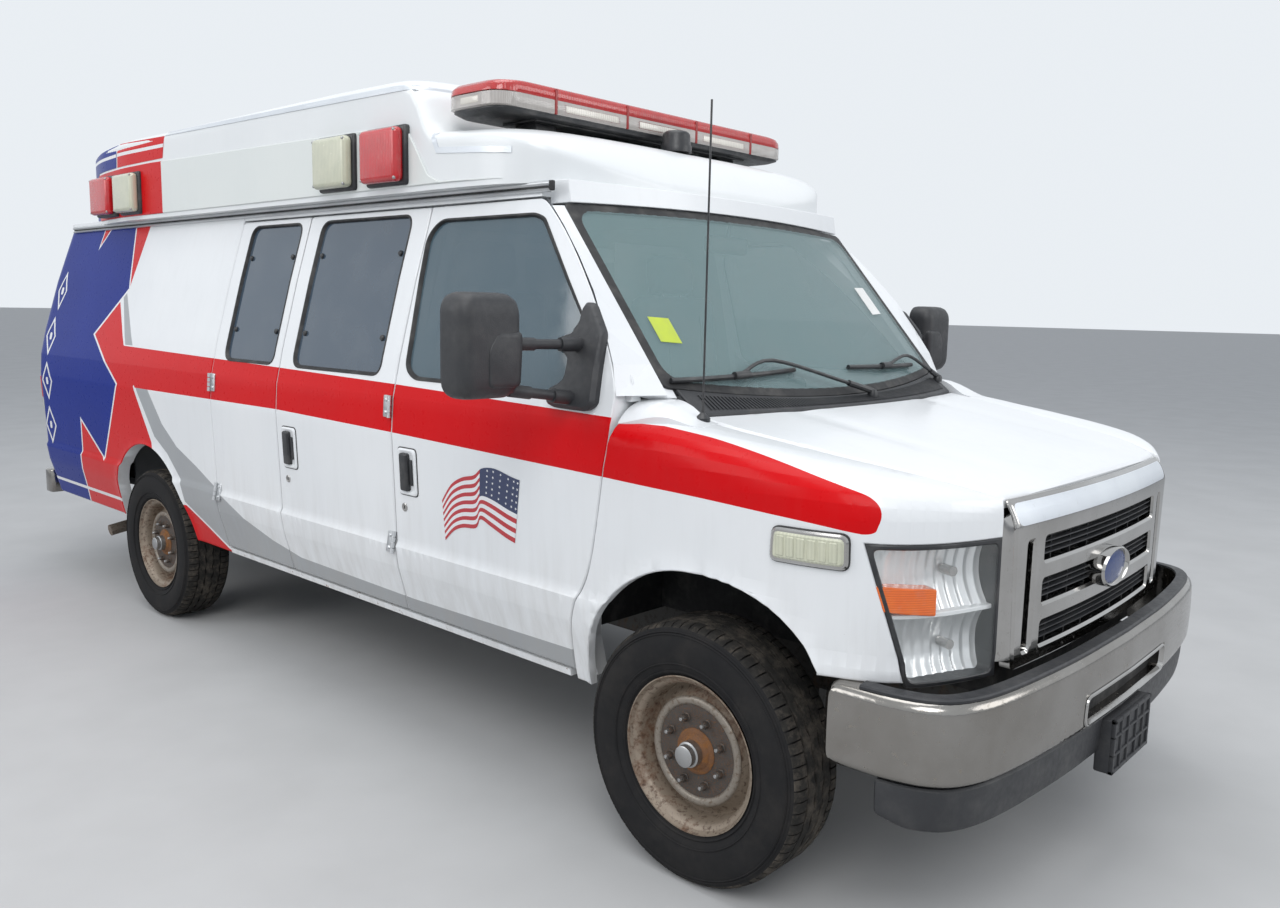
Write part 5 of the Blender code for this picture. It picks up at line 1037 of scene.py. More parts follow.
def rust_look(name, paint, rust, deep, amount=0.5, rough=0.6, metallic=0.35, scale=9.0):
    look = Look(name)
    broad = look.noise(scale, 8.0, 0.68, 0.6)
    fine = look.noise(scale * 9, 8.0, 0.7)
    level = look.math("ADD", look.math("MULTIPLY", broad, 0.65), look.math("MULTIPLY", fine, 0.35))
    eaten = look.span(level, 0.62 - amount * 0.25, 0.70 - amount * 0.20)
    colour = look.mix(eaten, paint, rust)
    colour = look.mix(look.span(fine, 0.52, 0.66), colour, deep)
    look.colour(colour)
    look.rough(look.span(eaten, 0.0, 1.0, rough - 0.15, rough + 0.2))
    look.metal(look.span(eaten, 0.0, 1.0, metallic, 0.0))
    look.bump((broad, 0.003, 0.25), (fine, 0.0012, 0.4))
    return look.made


def glass_look(name, tint, alpha, rough=0.03, dust=0.05, index=1.5):
    look = Look(name, Alpha=alpha, IOR=index, Specular_IOR_Level=0.42)
    haze = look.span(look.noise(6.0, 6.0, 0.6), 0.45, 0.75, 0.0, dust)
    look.colour(look.mix(haze, tint, (0.45, 0.45, 0.43)))
    look.rough(look.span(look.noise(22.0, 5.0), 0.3, 0.8, rough, rough + 0.06))
    look.bump((look.noise(1.6, 1.0), 0.003, 0.05))
    look.made.surface_render_method = "BLENDED"
    return look.made


def lens_look(name, base, tint, pitch, alpha=1.0, rough=0.16, direction="X"):
    # A moulded lamp lens with ribs at a pitch.
    look = Look(name, Alpha=alpha, Coat_Weight=0.6, Coat_Roughness=0.06, Specular_IOR_Level=0.6)
    ribs = look.wave(1 / pitch / 6.2832 * 2, direction)
    tone = look.span(look.noise(18.0, 5.0), 0.3, 0.7)
    colour = look.mix(tone, base, tint)
    colour = look.mix(look.math("MULTIPLY", ribs, 0.28), colour, tuple(c * 0.55 for c in base))
    dirt = look.span(look.noise(30.0, 7.0, 0.66), 0.55, 0.8, 0.0, 0.16)
    look.colour(look.mix(dirt, colour, (0.36, 0.33, 0.28)))
    look.rough(look.span(look.noise(60.0, 4.0), 0.3, 0.7, rough - 0.04, rough + 0.08))
    look.bump((ribs, 0.0012, 0.5))
    return look.made


def fabric_look(name, base, tint, pitch=0.0018):
    look = Look(name, Sheen_Weight=0.35, Sheen_Roughness=0.5)
    one = look.wave(1 / pitch / 6.2832, "X", 0.6)
    two = look.wave(1 / pitch / 6.2832, "Y", 0.6)
    three = look.wave(1 / pitch / 6.2832, "Z", 0.6)
    weave = look.math("MULTIPLY", look.math("MAXIMUM", one, three), look.math("ADD", two, 0.3))
    colour = look.mix(look.span(look.noise(9.0, 6.0), 0.3, 0.7), base, tint)
    colour = look.mix(look.math("MULTIPLY", weave, 0.35), colour, tuple(c * 0.5 for c in base))
    look.colour(colour)
    look.rough(look.span(weave, 0.0, 1.0, 0.95, 0.8))
    look.bump((weave, 0.0006, 0.5), (look.noise(160.0, 4.0), 0.0005, 0.3))
    return look.made


def vinyl_look(name, base, tint, rough=0.42):
    look = Look(name, Coat_Weight=0.15, Coat_Roughness=0.3)
    grain = look.cells(260.0)
    fold = look.noise(16.0, 5.0, 0.6)
    look.colour(look.mix(look.span(fold, 0.3, 0.7), base, tint))
    look.rough(look.span(look.noise(30.0, 5.0), 0.3, 0.7, rough - 0.06, rough + 0.12))
    look.bump((fold, 0.003, 0.18), (grain, 0.0006, 0.4))
    return look.made


def rubber_look():
    look = Look("tyre_rubber", Specular_IOR_Level=0.18)
    tone = look.noise(11.0, 7.0, 0.66)
    dust = look.span(look.noise(5.0, 8.0, 0.7), 0.50, 0.70, 0.0, 0.16)
    colour = look.mix(look.span(tone, 0.35, 0.7), (0.012, 0.012, 0.013), (0.022, 0.021, 0.021))
    look.colour(look.mix(dust, colour, (0.082, 0.071, 0.060)))
    look.rough(look.span(tone, 0.3, 0.7, 0.72, 0.9))
    look.bump((look.noise(60.0, 5.0), 0.0012, 0.3), (look.noise(500.0, 3.0), 0.0004, 0.3))
    return look.made


def tread_look():
    look = Look("tyre_tread", Specular_IOR_Level=0.15)
    mud = look.noise(16.0, 9.0, 0.72)
    colour = look.mix(
        look.span(look.noise(40.0, 6.0), 0.35, 0.7), (0.020, 0.019, 0.018), (0.040, 0.037, 0.033),
    )
    look.colour(look.mix(look.span(mud, 0.47, 0.62, 0.0, 0.70), colour, (0.110, 0.094, 0.077)))
    look.rough(look.span(mud, 0.4, 0.6, 0.8, 0.97))
    look.bump((mud, 0.003, 0.35), (look.noise(300.0, 4.0), 0.0006, 0.4))
    return look.made


WHITE = body_look("body_white", (0.78, 0.79, 0.795), (0.735, 0.75, 0.76))
RED = body_look("film_red", (0.60, 0.002, 0.004), (0.56, 0.003, 0.006), 0.28, 0.10, False, 0.05, 0.12)
BLUE = body_look(
    "film_blue", (0.008, 0.026, 0.235), (0.006, 0.021, 0.200), 0.28, 0.03, False, 0.0, 0.07,
)
GREY = body_look("film_grey", (0.34, 0.355, 0.365), (0.30, 0.31, 0.32), 0.34, 0.8, False)
LINE = body_look("film_white", (0.80, 0.80, 0.80), (0.74, 0.74, 0.75), 0.28, 0.5, False)
PANEL = body_look("panel_white", (0.70, 0.725, 0.70), (0.67, 0.70, 0.68), 0.42, 0.5, False)
BODY = [WHITE, RED, BLUE, GREY, LINE, PANEL]
# This chrome's darkened, warm grey tones are partly painted reflection of the ground.
CHROME = metal_look("chrome", (0.50, 0.49, 0.48), (0.38, 0.37, 0.355), 0.07, 0.8, 0.45)
# The bumper chrome's dark, brownish base is painted reflection of the ground, darker than bare chrome.
BUMPER_CHROME = metal_look("bumper_chrome", (0.33, 0.317, 0.300), (0.25, 0.235, 0.215), 0.10, 1.1, 0.75)
STEEL = metal_look("plain_steel", (0.45, 0.45, 0.45), (0.36, 0.36, 0.36), 0.35, 0.8, 0.4)
ALLOY = metal_look("bright_alloy", (0.66, 0.67, 0.68), (0.55, 0.56, 0.57), 0.28, 0.8, 0.3)
MIRROR_FACE = metal_look("mirror_face", (0.80, 0.82, 0.84), (0.76, 0.78, 0.80), 0.02, 0.1, 0.08)
BLACK = plastic_look("black_grain", (0.022, 0.023, 0.026), (0.030, 0.031, 0.034), 0.50, amount=0.07)
SATIN = plastic_look("black_satin", (0.016, 0.017, 0.019), (0.026, 0.027, 0.030), 0.36, 700.0, 0.0003)
SEAL = plastic_look("black_seal", (0.014, 0.014, 0.015), (0.024, 0.024, 0.025), 0.62, 500.0, 0.0004)
# Near-black. Behind the grille and the bumper slot, and in the lock slit, it stands as painted shade.
DARK = plastic_look("dark_inside", (0.012, 0.012, 0.013), (0.020, 0.020, 0.021), 0.8, 120.0, 0.0009)
RUBBER = rubber_look()
TREAD = tread_look()
WHEEL = rust_look(
    "wheel_steel", (0.265, 0.215, 0.165), (0.155, 0.085, 0.050), (0.075, 0.045, 0.030), 0.55,
    0.62, 0.3, 7.0,
)
HUB = rust_look(
    "hub_iron", (0.075, 0.068, 0.062), (0.050, 0.034, 0.024), (0.20, 0.085, 0.03), 0.45, 0.68,
    0.5, 30.0,
)
UNDER = rust_look(
    "under_steel", (0.060, 0.058, 0.055), (0.095, 0.060, 0.038), (0.030, 0.024, 0.020), 0.35,
    0.75, 0.4, 6.0,
)
PIPE = rust_look(
    "pipe_steel", (0.17, 0.145, 0.12), (0.15, 0.080, 0.045), (0.07, 0.045, 0.03), 0.5, 0.65,
    0.5, 8.0,
)
GLASS = glass_look("dark_glass", (0.050, 0.078, 0.112), 0.92, index=2.0)
DOOR_GLASS = glass_look("door_glass", (0.075, 0.125, 0.155), 0.74, index=1.9)
SCREEN = glass_look("screen_glass", (0.26, 0.38, 0.385), 0.38, 0.03, 0.10, 1.6)
CLEAR = glass_look("lamp_cover", (0.55, 0.58, 0.57), 0.07, 0.05, 0.30)
# The lamp reflector's near-white base, with its metal kept low, is a painted reflection that lights up the
# lamp's inside.
REFLECTOR = metal_look("lamp_reflector", (0.93, 0.94, 0.94), (0.84, 0.86, 0.86), 0.22, 0.3, 0.05, 0.4)
AMBER = lens_look("amber_lens", (0.85, 0.16, 0.006), (0.78, 0.12, 0.004), 0.006, 1.0, 0.14, "Z")
RED_LENS = lens_look("red_lens", (0.60, 0.014, 0.020), (0.50, 0.010, 0.014), 0.010, 1.0, 0.14, "Y")
CREAM = lens_look("cream_lens", (0.62, 0.62, 0.47), (0.54, 0.55, 0.42), 0.010, 1.0, 0.2, "Y")
BAR_RED = lens_look("bar_red", (0.55, 0.020, 0.018), (0.47, 0.015, 0.014), 0.012, 0.90, 0.14, "X")
BAR_CLEAR = lens_look("bar_clear", (0.66, 0.62, 0.58), (0.58, 0.54, 0.50), 0.007, 0.72, 0.14, "X")
TRIM = plastic_look("cab_trim", (0.20, 0.205, 0.21), (0.245, 0.25, 0.255), 0.6, 300.0, 0.0005)
FLOOR = plastic_look("floor_cover", (0.17, 0.175, 0.18), (0.21, 0.215, 0.22), 0.6, 90.0, 0.001)
CABINET = plastic_look("cabinet_front", (0.62, 0.62, 0.60), (0.66, 0.66, 0.64), 0.35, 900.0, 0.0001)
CLOTH = fabric_look("seat_cloth", (0.16, 0.165, 0.175), (0.21, 0.215, 0.225))
VINYL = vinyl_look("bench_vinyl", (0.030, 0.032, 0.037), (0.045, 0.047, 0.053))
STICKER = plastic_look("sticker_green", (0.52, 0.62, 0.06), (0.46, 0.56, 0.05), 0.4, 800.0, 0.0001)
PAPER = plastic_look("sticker_white", (0.78, 0.78, 0.76), (0.72, 0.72, 0.70), 0.5, 800.0, 0.0001)


# Graphics on the body side, as (along, up): a belt with a round tip, a star-edged rear and a sweep
# on the sills

BELT_LOW = (
    (-0.60, 1.098), (-0.04, 1.105), (0.31, 1.116), (1.37, 1.145), (2.18, 1.161), (3.39, 1.156),
    (5.40, 1.156),
)
BELT_HIGH = (
    (-0.60, 1.150), (-0.585, 1.172), (-0.51, 1.197), (-0.28, 1.247), (-0.02, 1.277),
    (0.31, 1.288), (1.37, 1.314), (2.20, 1.329), (3.79, 1.356), (5.40, 1.372),
)
STAR = (
    (3.955, 2.05), (3.82, 1.64), (4.15, 1.40), (3.79, 1.16), (4.04, 0.745), (4.33, 0.935),
    (4.345, 0.77), (4.44, 0.40),
)
RED_LOWER = (
    (3.905, 1.580), (3.743, 1.361), (3.58, 1.165), (3.39, 0.86), (3.20, 0.55), (3.20, 0.30),
    (4.44, 0.30),
)
SWEEP_UPPER = (
    (3.42, 1.165), (3.28, 1.00), (
        3.139, 0.905,
    ), (2.95, 0.835), (2.76, 0.755), (2.52, 0.655), (2.30, 0.592),
    (2.09, 0.553), (1.31, 0.540), (0.465, 0.553), (-0.40, 0.56),
)
SWEEP_LOWER = (
    (-0.40, 0.30), (2.70, 0.30), (2.733, 0.46), (3.095, 0.63), (3.118, 0.746), (3.25, 0.86),
    (3.38, 0.93), (3.56, 1.165),
)
TRIM_LINE = 0.013
# The belt's round end on a fender, as (run from the nose, height over the shoulder).
BELT_END = (
    (
        1.260, 1.350,
    ), (1.119, 1.328), (0.920, 1.318), (0.822, 1.309), (0.689, 1.276), (0.590, 1.244), (0.499, 1.211),
    (
        0.415, 1.179,
    ), (0.383, 1.162), (0.362, 1.138), (0.354, 1.112), (0.357, 1.092), (0.370, 1.079), (0.392, 1.074),
    (0.420, 1.076), (0.517, 1.087), (0.637, 1.095), (0.840, 1.105), (1.069, 1.112), (1.260, 1.119),
)


def ribbon(points, width):
    # A narrow band along an open line.
    line = [Vector(p) for p in points]
    left, right = [], []
    for i, spot in enumerate(line):
        before = (spot - line[max(i - 1, 0)]).normalized()
        after = (line[min(i + 1, len(line) - 1)] - spot).normalized()
        way = (before + after).normalized()
        normal = Vector((-way.y, way.x))
        base = before if before.length else after
        spread = max(0.35, abs(normal.dot(Vector((-base.y, base.x)))))
        left.append(tuple(spot + normal * width / 2 / spread))
        right.append(tuple(spot - normal * width / 2 / spread))
    return left + right[::-1]


def side_areas():
    belt = [*BELT_LOW, *reversed(BELT_HIGH)]
    star_end = [(5.40, 0.30), (5.40, 2.05)]
    edge = [*STAR[::-1]]
    red_top = [(3.955, 2.05), (3.73, 2.05), (3.82, 1.64)]
    red = [*RED_LOWER, *edge[:-1]]
    sweep = [*SWEEP_UPPER, *SWEEP_LOWER]
    wedge = [(3.095, 0.63), (2.733, 0.46), (2.69, 0.30), (3.30, 0.30), (3.30, 0.63)]
    low_line = [(4.95, 0.548), (4.95, 0.530), (3.80, 0.527), (3.80, 0.545)]
    notch = [(4.385, 1.86), (4.18, 2.05), (4.355, 2.05)]
    return [
        (sweep, 3), (wedge, 1), (ribbon(((3.13, 0.655), (2.733, 0.462), (2.66, 0.40)), TRIM_LINE), 4),
        (belt, 1), (
            [(3.872, 1.600), (3.725, 1.360), (3.635, 1.360), (3.840, 1.622)], 3,
        ), (red, 1), (red_top, 1), ([*STAR, *star_end], 2), (notch, 1), (low_line, 4),
        (ribbon(STAR, TRIM_LINE), 4), (ribbon(((3.895, 1.580), (3.738, 1.361)), TRIM_LINE), 4),
        (ribbon(((3.58, 1.165), (3.39, 0.86), (3.36, 0.80)), TRIM_LINE), 4),
        (ribbon(((4.18, 2.05), (4.385, 1.86), (4.355, 2.05)), TRIM_LINE * 0.8), 4),
    ]


AREAS = side_areas()


def near(areas, low, high):
    # The areas that reach into a stretch of the body side.
    return [
        (area, look)
        for area, look in areas
        if max(p[0] for p in area) > low and min(p[0] for p in area) < high
    ]


# Doors and body side

FRONT_LIP = 0.0035


def smooth_front_outline():
    corners = front_door_outline()
    curve = eased(corners[:13], 5)
    return [*curve, *corners[13:]]


def window_outline(corners, radius, sides=6):
    return rounded(corners, radius, sides)


def door_skin(name, faces, outline, window, body, areas, step=0.042):
    outer, inner = faces
    holes = [window]
    mesh = skin(
        outline,
        holes,
        outer,
        inner,
        step,
        areas,
        FRONT_LIP,
        rows=[mix(SILL_Z, GUTTER_Z, row[0]) for row in SECTION_SHARES[1:-1]],
    )
    piece(f"skin_door_{name}", mesh, body, BODY, f"door_{name}")
    pane = moved_in(window, GLASS_GAP)
    glass_out, glass_in = between(outer, inner, GLASS_INSET), between(
        outer, inner, GLASS_INSET + GLASS_DEPTH,
    )
    look = DOOR_GLASS if "front_" in name and "side" not in name else GLASS
    glass = skin(pane, [], glass_out, glass_in, 0.06, (), 0.0)
    piece(f"pane_{name}", glass, body, look, f"glass_{name}")
    band(f"seal_{name}", window, lambda u, v, d: outer(u, v).lerp(inner(u, v), d / DOOR_DEPTH), body)


def band(name, loop, spot, body, wide=0.007, proud=0.0025, deep=GLASS_INSET, look=None):
    # A rubber seal round a window: from just outside its edge on the panel down to the glass.
    rings = []
    loop = resampled(loop, 0.03)
    profile = (
        (wide, 0.0005), (wide * 0.7, -proud), (0.0, -proud), (-wide * 0.5, proud),
        (-wide * 0.9, deep),
    )
    lines = [(moved_in(loop, -across), depth) for across, depth in profile]
    for i in range(len(loop)):
        rings.append([spot(line[i][0], line[i][1], depth) for line, depth in lines])
    count, size = len(rings), len(profile)
    faces = []
    for i in range(count):
        j = (i + 1) % count
        faces += [
            (i * size + k, j * size + k, j * size + k + 1, i * size + k + 1)
            for k in range(size - 1)
        ]
        faces.append((i * size + size - 1, j * size + size - 1, j * size, i * size))
    mesh = mesh_from([p for ring in rings for p in ring], faces)
    return piece(name, mesh, body, look or SEAL)


def front_doors():
    outline, window = smooth_front_outline(), window_outline(front_window(), WINDOW_RADIUS)
    for side, sign in SIDES:
        faces = door_faces(sign, DOOR_FRONT_Y, B_GAP_Y - PANEL_GAP / 2, by_pillar=True)
        door_skin(
            f"front_{side}", faces, outline, window, f"front_door_{side}", near(AREAS, 0.25, 1.40),
        )


def side_leaves():
    wide, narrow = WINDOW_RADIUS * 2, WINDOW_RADIUS
    rows = (
        (
            "side_front", "side_leaf_front", B_GAP_Y + PANEL_GAP / 2,
            LEAF_GAP_Y - PANEL_GAP / 2, True, (wide, wide),
        ),
        (
            "side_rear", "side_leaf_rear", LEAF_GAP_Y + PANEL_GAP / 2,
            REAR_GAP_Y - PANEL_GAP / 2, False, (narrow, wide),
        ),
    )
    for name, body, low, high, front_hinged, margins in rows:
        hinge, free = (low, high) if front_hinged else (high, low)
        window = leaf_window(low, high, *margins)
        outline = rounded(leaf(low, high), 0.012, 3)
        door_skin(name, door_faces(-1, hinge, free), outline, window, body, near(AREAS, low, high))
        # Black knobs hold the hinged panes.
        for y in (low + margins[0] + 0.035, high - margins[1] - 0.035):
            for z in (BELT_Z + WINDOW_RADIUS + 0.13, DOOR_TOP_Z - WINDOW_RADIUS - 0.11):
                out = side_point(-1, y, z, GLASS_INSET)
                place = lambda a, b, c, out=out: out + Vector((-c, a, b))
                knob = lathe(
                    [(0.0, 0.0), (0.011, 0.0), (0.011, 0.005), (0.008, 0.009), (0.0, 0.010)],
                    place,
                    16,
                )
                piece(f"knob_{name}_{int(y * 1000)}_{int(z * 1000)}", knob, body, SATIN)


REAR_BELT_LOW, REAR_BELT_HIGH = 1.156, 1.372


def rear_doors():
    free, hinge = PANEL_GAP / 2, REAR_EDGE_X
    outline = [
        (free, REAR_DOOR_BOTTOM_Z), (hinge, REAR_DOOR_BOTTOM_Z), (hinge, DOOR_TOP_Z),
        (free, DOOR_TOP_Z),
    ]
    outline = rounded(outline, 0.012, 3)
    low, high = free + REAR_WINDOW_MARGIN, hinge - REAR_WINDOW_MARGIN
    base, top = BELT_Z + WINDOW_RADIUS, DOOR_TOP_Z - WINDOW_RADIUS * 2
    window = rounded([(low, base), (high, base), (high, top), (low, top)], WINDOW_RADIUS, 6)
    areas = [(
        [
            (-0.1, REAR_BELT_LOW), (1.1, REAR_BELT_LOW), (1.1, REAR_BELT_HIGH - 0.04),
            (-0.1, REAR_BELT_HIGH - 0.04),
        ],
        1,
    )]
    for side, sign in SIDES:

        def inner(u, z, sign=sign):
            drop = REAR_FACE_Y + DOOR_SWING_AXIS_OUT - rear_surface(sign, free, z).y
            reach = hinge - free
            shift = free_edge_shift(reach, drop) * (hinge - u) / reach
            return rear_surface(sign, u + shift, z, DOOR_DEPTH)

        outer = lambda u, z, sign=sign: rear_surface(sign, u, z)
        door_skin(f"rear_{side}", (outer, inner), outline, window, f"rear_door_{side}", areas)


def quarter_edges(front):
    straight_end = REAR_FACE_Y - REAR_CORNER_RADIUS
    rear = straight_end + REAR_CORNER_RADIUS * math.pi / 2 - PANEL_GAP
    drop = math.asin((SILL_Z - ARCH_CENTRE_Z) / REAR_ARCH_RADIUS)
    arch = arc((WHEELBASE, ARCH_CENTRE_Z), REAR_ARCH_RADIUS, math.pi - drop, drop, 40)
    return [(front, SILL_Z), *arch, (rear, SILL_Z), (rear, GUTTER_Z), (front, GUTTER_Z)]


def lipped(outer, centre, radius, wide=0.030, proud=0.007):
    # Raises a flare beside a wheel opening.
    def shaped(y, z):
        gap = math.hypot(y - centre[0], z - centre[1]) - radius
        spot = outer(y, z)
        if gap > wide or z < SILL_Z - 0.1:
            return spot
        rise = proud * (0.5 + 0.5 * math.cos(math.pi * clamp(gap / wide)))
        return spot + Vector((math.copysign(rise, spot.x), 0, 0))

    return shaped


def quarters():
    for (side, sign), front in zip(SIDES, (REAR_GAP_Y + PANEL_GAP / 2, B_GAP_Y + PANEL_GAP / 2)):
        flat = lambda along, z, sign=sign: side_point(sign, along, z)
        outer = lipped(flat, (WHEELBASE, ARCH_CENTRE_Z), REAR_ARCH_RADIUS)
        inner = lambda along, z, sign=sign: side_point(sign, along, z, DOOR_DEPTH)
        columns = [
            SIDE_END_Y + REAR_CORNER_RADIUS * math.pi / 2 * share
            for share in (0, 0.125, 0.25, 0.375, 0.5, 0.625, 0.75, 0.875)
        ]
        rows = [mix(SILL_Z, GUTTER_Z, row[0]) for row in SECTION_SHARES[1:-1]]
        mesh = skin(
            quarter_edges(front), [], outer, inner, 0.045, near(AREAS, front, 5.3), 0.004,
            columns=columns, rows=rows,
        )
        piece(f"skin_quarter_{side}", mesh, "body", BODY, f"quarter_panel_{side}")


# Nose


def fender_height(sign, run, z):
    # The height on a fender's surface at which a level lies.
    low, high = 0.30, shoulder_z(run) + SHOULDER_RUN
    for _ in range(24):
        middle = (low + high) / 2
        if fender_point(sign, run, middle).z < z:
            low = middle
        else:
            high = middle
    return low


def on_fender(area):
    spots = []
    for y, z in resampled(area, 0.02):
        if y > DOOR_FRONT_Y + 0.05:
            y = DOOR_FRONT_Y + 0.05
        run = nose_run(y)
        spots.append((run, fender_height(-1, run, z) if z > 0.9 else z))
    return spots


def smooth_front_arch():
    points = []
    for step in range(41):
        turn = math.pi * step / 40
        front = turn > math.pi / 2
        power = ARCH_FRONT_POWER if front else 1.0
        y = math.copysign(abs(math.cos(turn)) ** power, math.cos(turn)) * ARCH_HALF_LENGTH
        z = ARCH_CENTRE_Z + max(math.sin(turn), 0.0) ** power * ARCH_HEIGHT
        if front and z < BUMPER_TOP_Z:
            continue
        points.append((nose_run(FRONT_ARCH_CENTRE_Y + y), max(z, SILL_Z)))
    return points


def fender_edges():
    door = eased(front_door_outline()[:9], 5)
    rear = [(nose_run(y - PANEL_GAP), z) for y, z in door if z < SHOULDER_REAR_Z]
    edge = nose_run(DOOR_FRONT_Y - PANEL_GAP)
    corner = (edge, SHOULDER_REAR_Z + SHOULDER_RUN)
    foot = (rear[0][0], SILL_Z)
    lamp_low, lamp_high = nose_run(LAMP_SEAM_BOTTOM_Y), nose_run(LAMP_SEAM_TOP_Y)
    base = BUMPER_TOP_Z + SEAT_GAP
    runs = [row[0] for row in reversed(NOSE[:-2])]
    runs = [
        a
        for pair in zip(runs, [(p + q) / 2 for p, q in zip(runs, runs[1:])] + [runs[-1]])
        for a in pair
    ][:-1]
    top = [(run, shoulder_z(run) + SHOULDER_RUN) for run in runs]
    arch = list(reversed(smooth_front_arch()))
    lamp = [(0.0, LAMP_TOP_Z), (lamp_high, LAMP_TOP_Z), (lamp_low, base)]
    curl = (edge, SHOULDER_REAR_Z + SHOULDER_RUN / 4)
    return [foot, *rear, curl, corner, *top, *lamp, (arch[0][0], base), *arch]


def fenders():
    outline = fender_edges()
    areas = [(on_fender(AREAS[0][0]), AREAS[0][1]), (eased(BELT_END, 3), 1)]
    arch = smooth_front_arch()
    for side, sign in SIDES:

        def outer(run, z, sign=sign):
            spot = fender_point(sign, run, z)
            gap = min(math.dist((run, z), p) for p in arch)
            if gap < 0.032 and z < 1.0:
                rise = 0.008 * (0.5 + 0.5 * math.cos(math.pi * gap / 0.032))
                spot = spot + (spot - fender_point(sign, run, z, FENDER_DEPTH)).normalized() * rise
            return spot

        inner = lambda run, z, sign=sign: fender_point(sign, run, z, FENDER_DEPTH)
        mesh = skin(outline, [], outer, inner, 0.036, areas, 0.003)
        piece(f"skin_fender_{side}", mesh, "body", BODY, f"fender_{side}")


def hood():
    seam = [(row[3] - PANEL_GAP, row[4]) for row in NOSE if row[4] < hood_rear_y(row[3]) - PANEL_GAP]
    corner_x = NOSE[-3][3] - PANEL_GAP
    rear = [(corner_x * step / 12, hood_rear_y(corner_x * step / 12)) for step in range(12, -1, -1)]
    nose_x, nose_y = seam[0]
    nose = [(nose_x * step / 12, nose_y - GRILLE_BOW * (1 - (step / 12) ** 2)) for step in range(12)]
    seam = eased(seam, 4)
    half = nose[1:] + seam + rear
    outline = nose[:1] + half + [(-x, y) for x, y in reversed(half[:-1])]

    def outer(x, y):
        # A broad centre dome with a soft crease each side.
        crease = math.exp(-(((abs(x) - 0.40) / 0.05) ** 2))
        front_fade = clamp((y - HOOD_FRONT_Y) / 0.15)
        rear_fade = clamp((HOOD_REAR_Y + 0.1 - y) / 0.1)
        lift = 0.010 * crease * front_fade * rear_fade
        return Vector((x, y, hood_z(x, y) - lift * 0.35))

    inner = lambda x, y: Vector((x, y, hood_z(x, y) - HOOD_DEPTH))
    mesh = skin(outline, [], outer, inner, 0.045, [], 0.008)
    piece("skin_hood", mesh, "hood_lid", BODY, "hood")


def cowl():
    half = SCREEN_BASE_HALF - FENDER_DEPTH * 2
    shares = [step / 24 for step in range(-24, 25)]
    front = [(half * share, hood_rear_y(half * share) + PANEL_GAP) for share in shares]
    rear = [(half * share, screen_foot_y(half * share)) for share in reversed(shares)]
    outer = lambda x, y: Vector((x, y, cowl_z(x, y)))
    inner = lambda x, y: Vector((x, y, cowl_z(x, y) - COWL_DEPTH))
    mesh = skin(front + rear, [], outer, inner, 0.05, [], 0.002)
    piece("cowl_plate", mesh, "body", BLACK, "cowl_grille")
    ribs = []
    for i in range(-50, 51):
        x = i * 0.0145
        if abs(x) > half - 0.03:
            continue
        low, high = hood_rear_y(x) + 0.020, screen_foot_y(x) - 0.018
        ends = [Vector((x, y, cowl_z(x, y))) for y in (low, high)]
        ribs.append(soft_box(
            (x - 0.0032, low, min(e.z for e in ends)),
            (x + 0.0032, high, max(e.z for e in ends) + 0.002),
            0.002,
            1,
        ))
        mesh = ribs[-1]
        for vertex in mesh.vertices:
            level = cowl_z(x, vertex.co.y)
            up = vertex.co.z > sum(e.z for e in ends) / 2
            vertex.co.z = level + (0.004 if up else -0.002)
    piece("cowl_ribs", ribs, "body", BLACK)


def windscreen():
    half, tall = SCREEN_BASE_HALF, math.hypot(
        SCREEN_TOP_Z - SCREEN_BASE_Z, SCREEN_TOP_Y - SCREEN_BASE_Y,
    )
    corners = [(-half, 0.0), (half, 0.0), (half, tall), (-half, tall)]
    outline = rounded(moved_in(corners, LAMP_GAP), WINDOW_RADIUS / 2, 5)
    outer = lambda u, v: screen_point(u / half, v / tall)
    inner = lambda u, v: screen_point(u / half, v / tall, SCREEN_DEPTH)
    inset = rounded(moved_in(corners, 0.035), 0.075, 8)
    glass = skin(moved_in(inset, -0.004), [], outer, inner, 0.05, (), 0.0)
    piece("screen_pane", glass, "body", SCREEN, "windscreen")
    frame_mesh = skin(outline, [inset], outer, inner, 0.05, (), 0.002)
    piece("screen_border", frame_mesh, "body", SEAL)


front_doors()
side_leaves()
rear_doors()
quarters()
fenders()
hood()
cowl()
windscreen()


# Headlamps, grille, bumper and valance

FILM = metal_look("header_film", (0.70, 0.73, 0.76), (0.62, 0.65, 0.69), 0.30, 0.5, 0.2, 0.55)
BOSS_BLUE = plastic_look(
    "boss_blue", (0.030, 0.055, 0.17), (0.022, 0.042, 0.14), 0.2, 900.0, 0.0001, amount=0.05,
)


def lamp_outline():
    low, high = nose_run(LAMP_SEAM_BOTTOM_Y), nose_run(LAMP_SEAM_TOP_Y)
    base, top = LAMP_BOTTOM_Z, LAMP_TOP_Z - LAMP_GAP
    low = mix(high, low, (LAMP_TOP_Z - base) / (LAMP_TOP_Z - BUMPER_TOP_Z - SEAT_GAP))
    return [(0.0, base), (low - LAMP_GAP * 2, base), (high - LAMP_GAP * 2, top), (0.0, top)]


def lamp_depth(run, z):
    # Two dished reflectors, one over the other, with upright flutes.
    split = 0.875
    centre = 0.972 if z > split else 0.785
    half = 0.095
    dish = 1 - min(1.0, ((run - 0.135) / 0.19) ** 2 * 0.7 + ((z - centre) / half) ** 2 * 0.8)
    flute = 0.0045 * abs(math.sin(math.pi * run / 0.034))
    step = 0.006 if abs(z - split) < 0.006 else 0.0
    return 0.026 + 0.044 * dish + flute - step


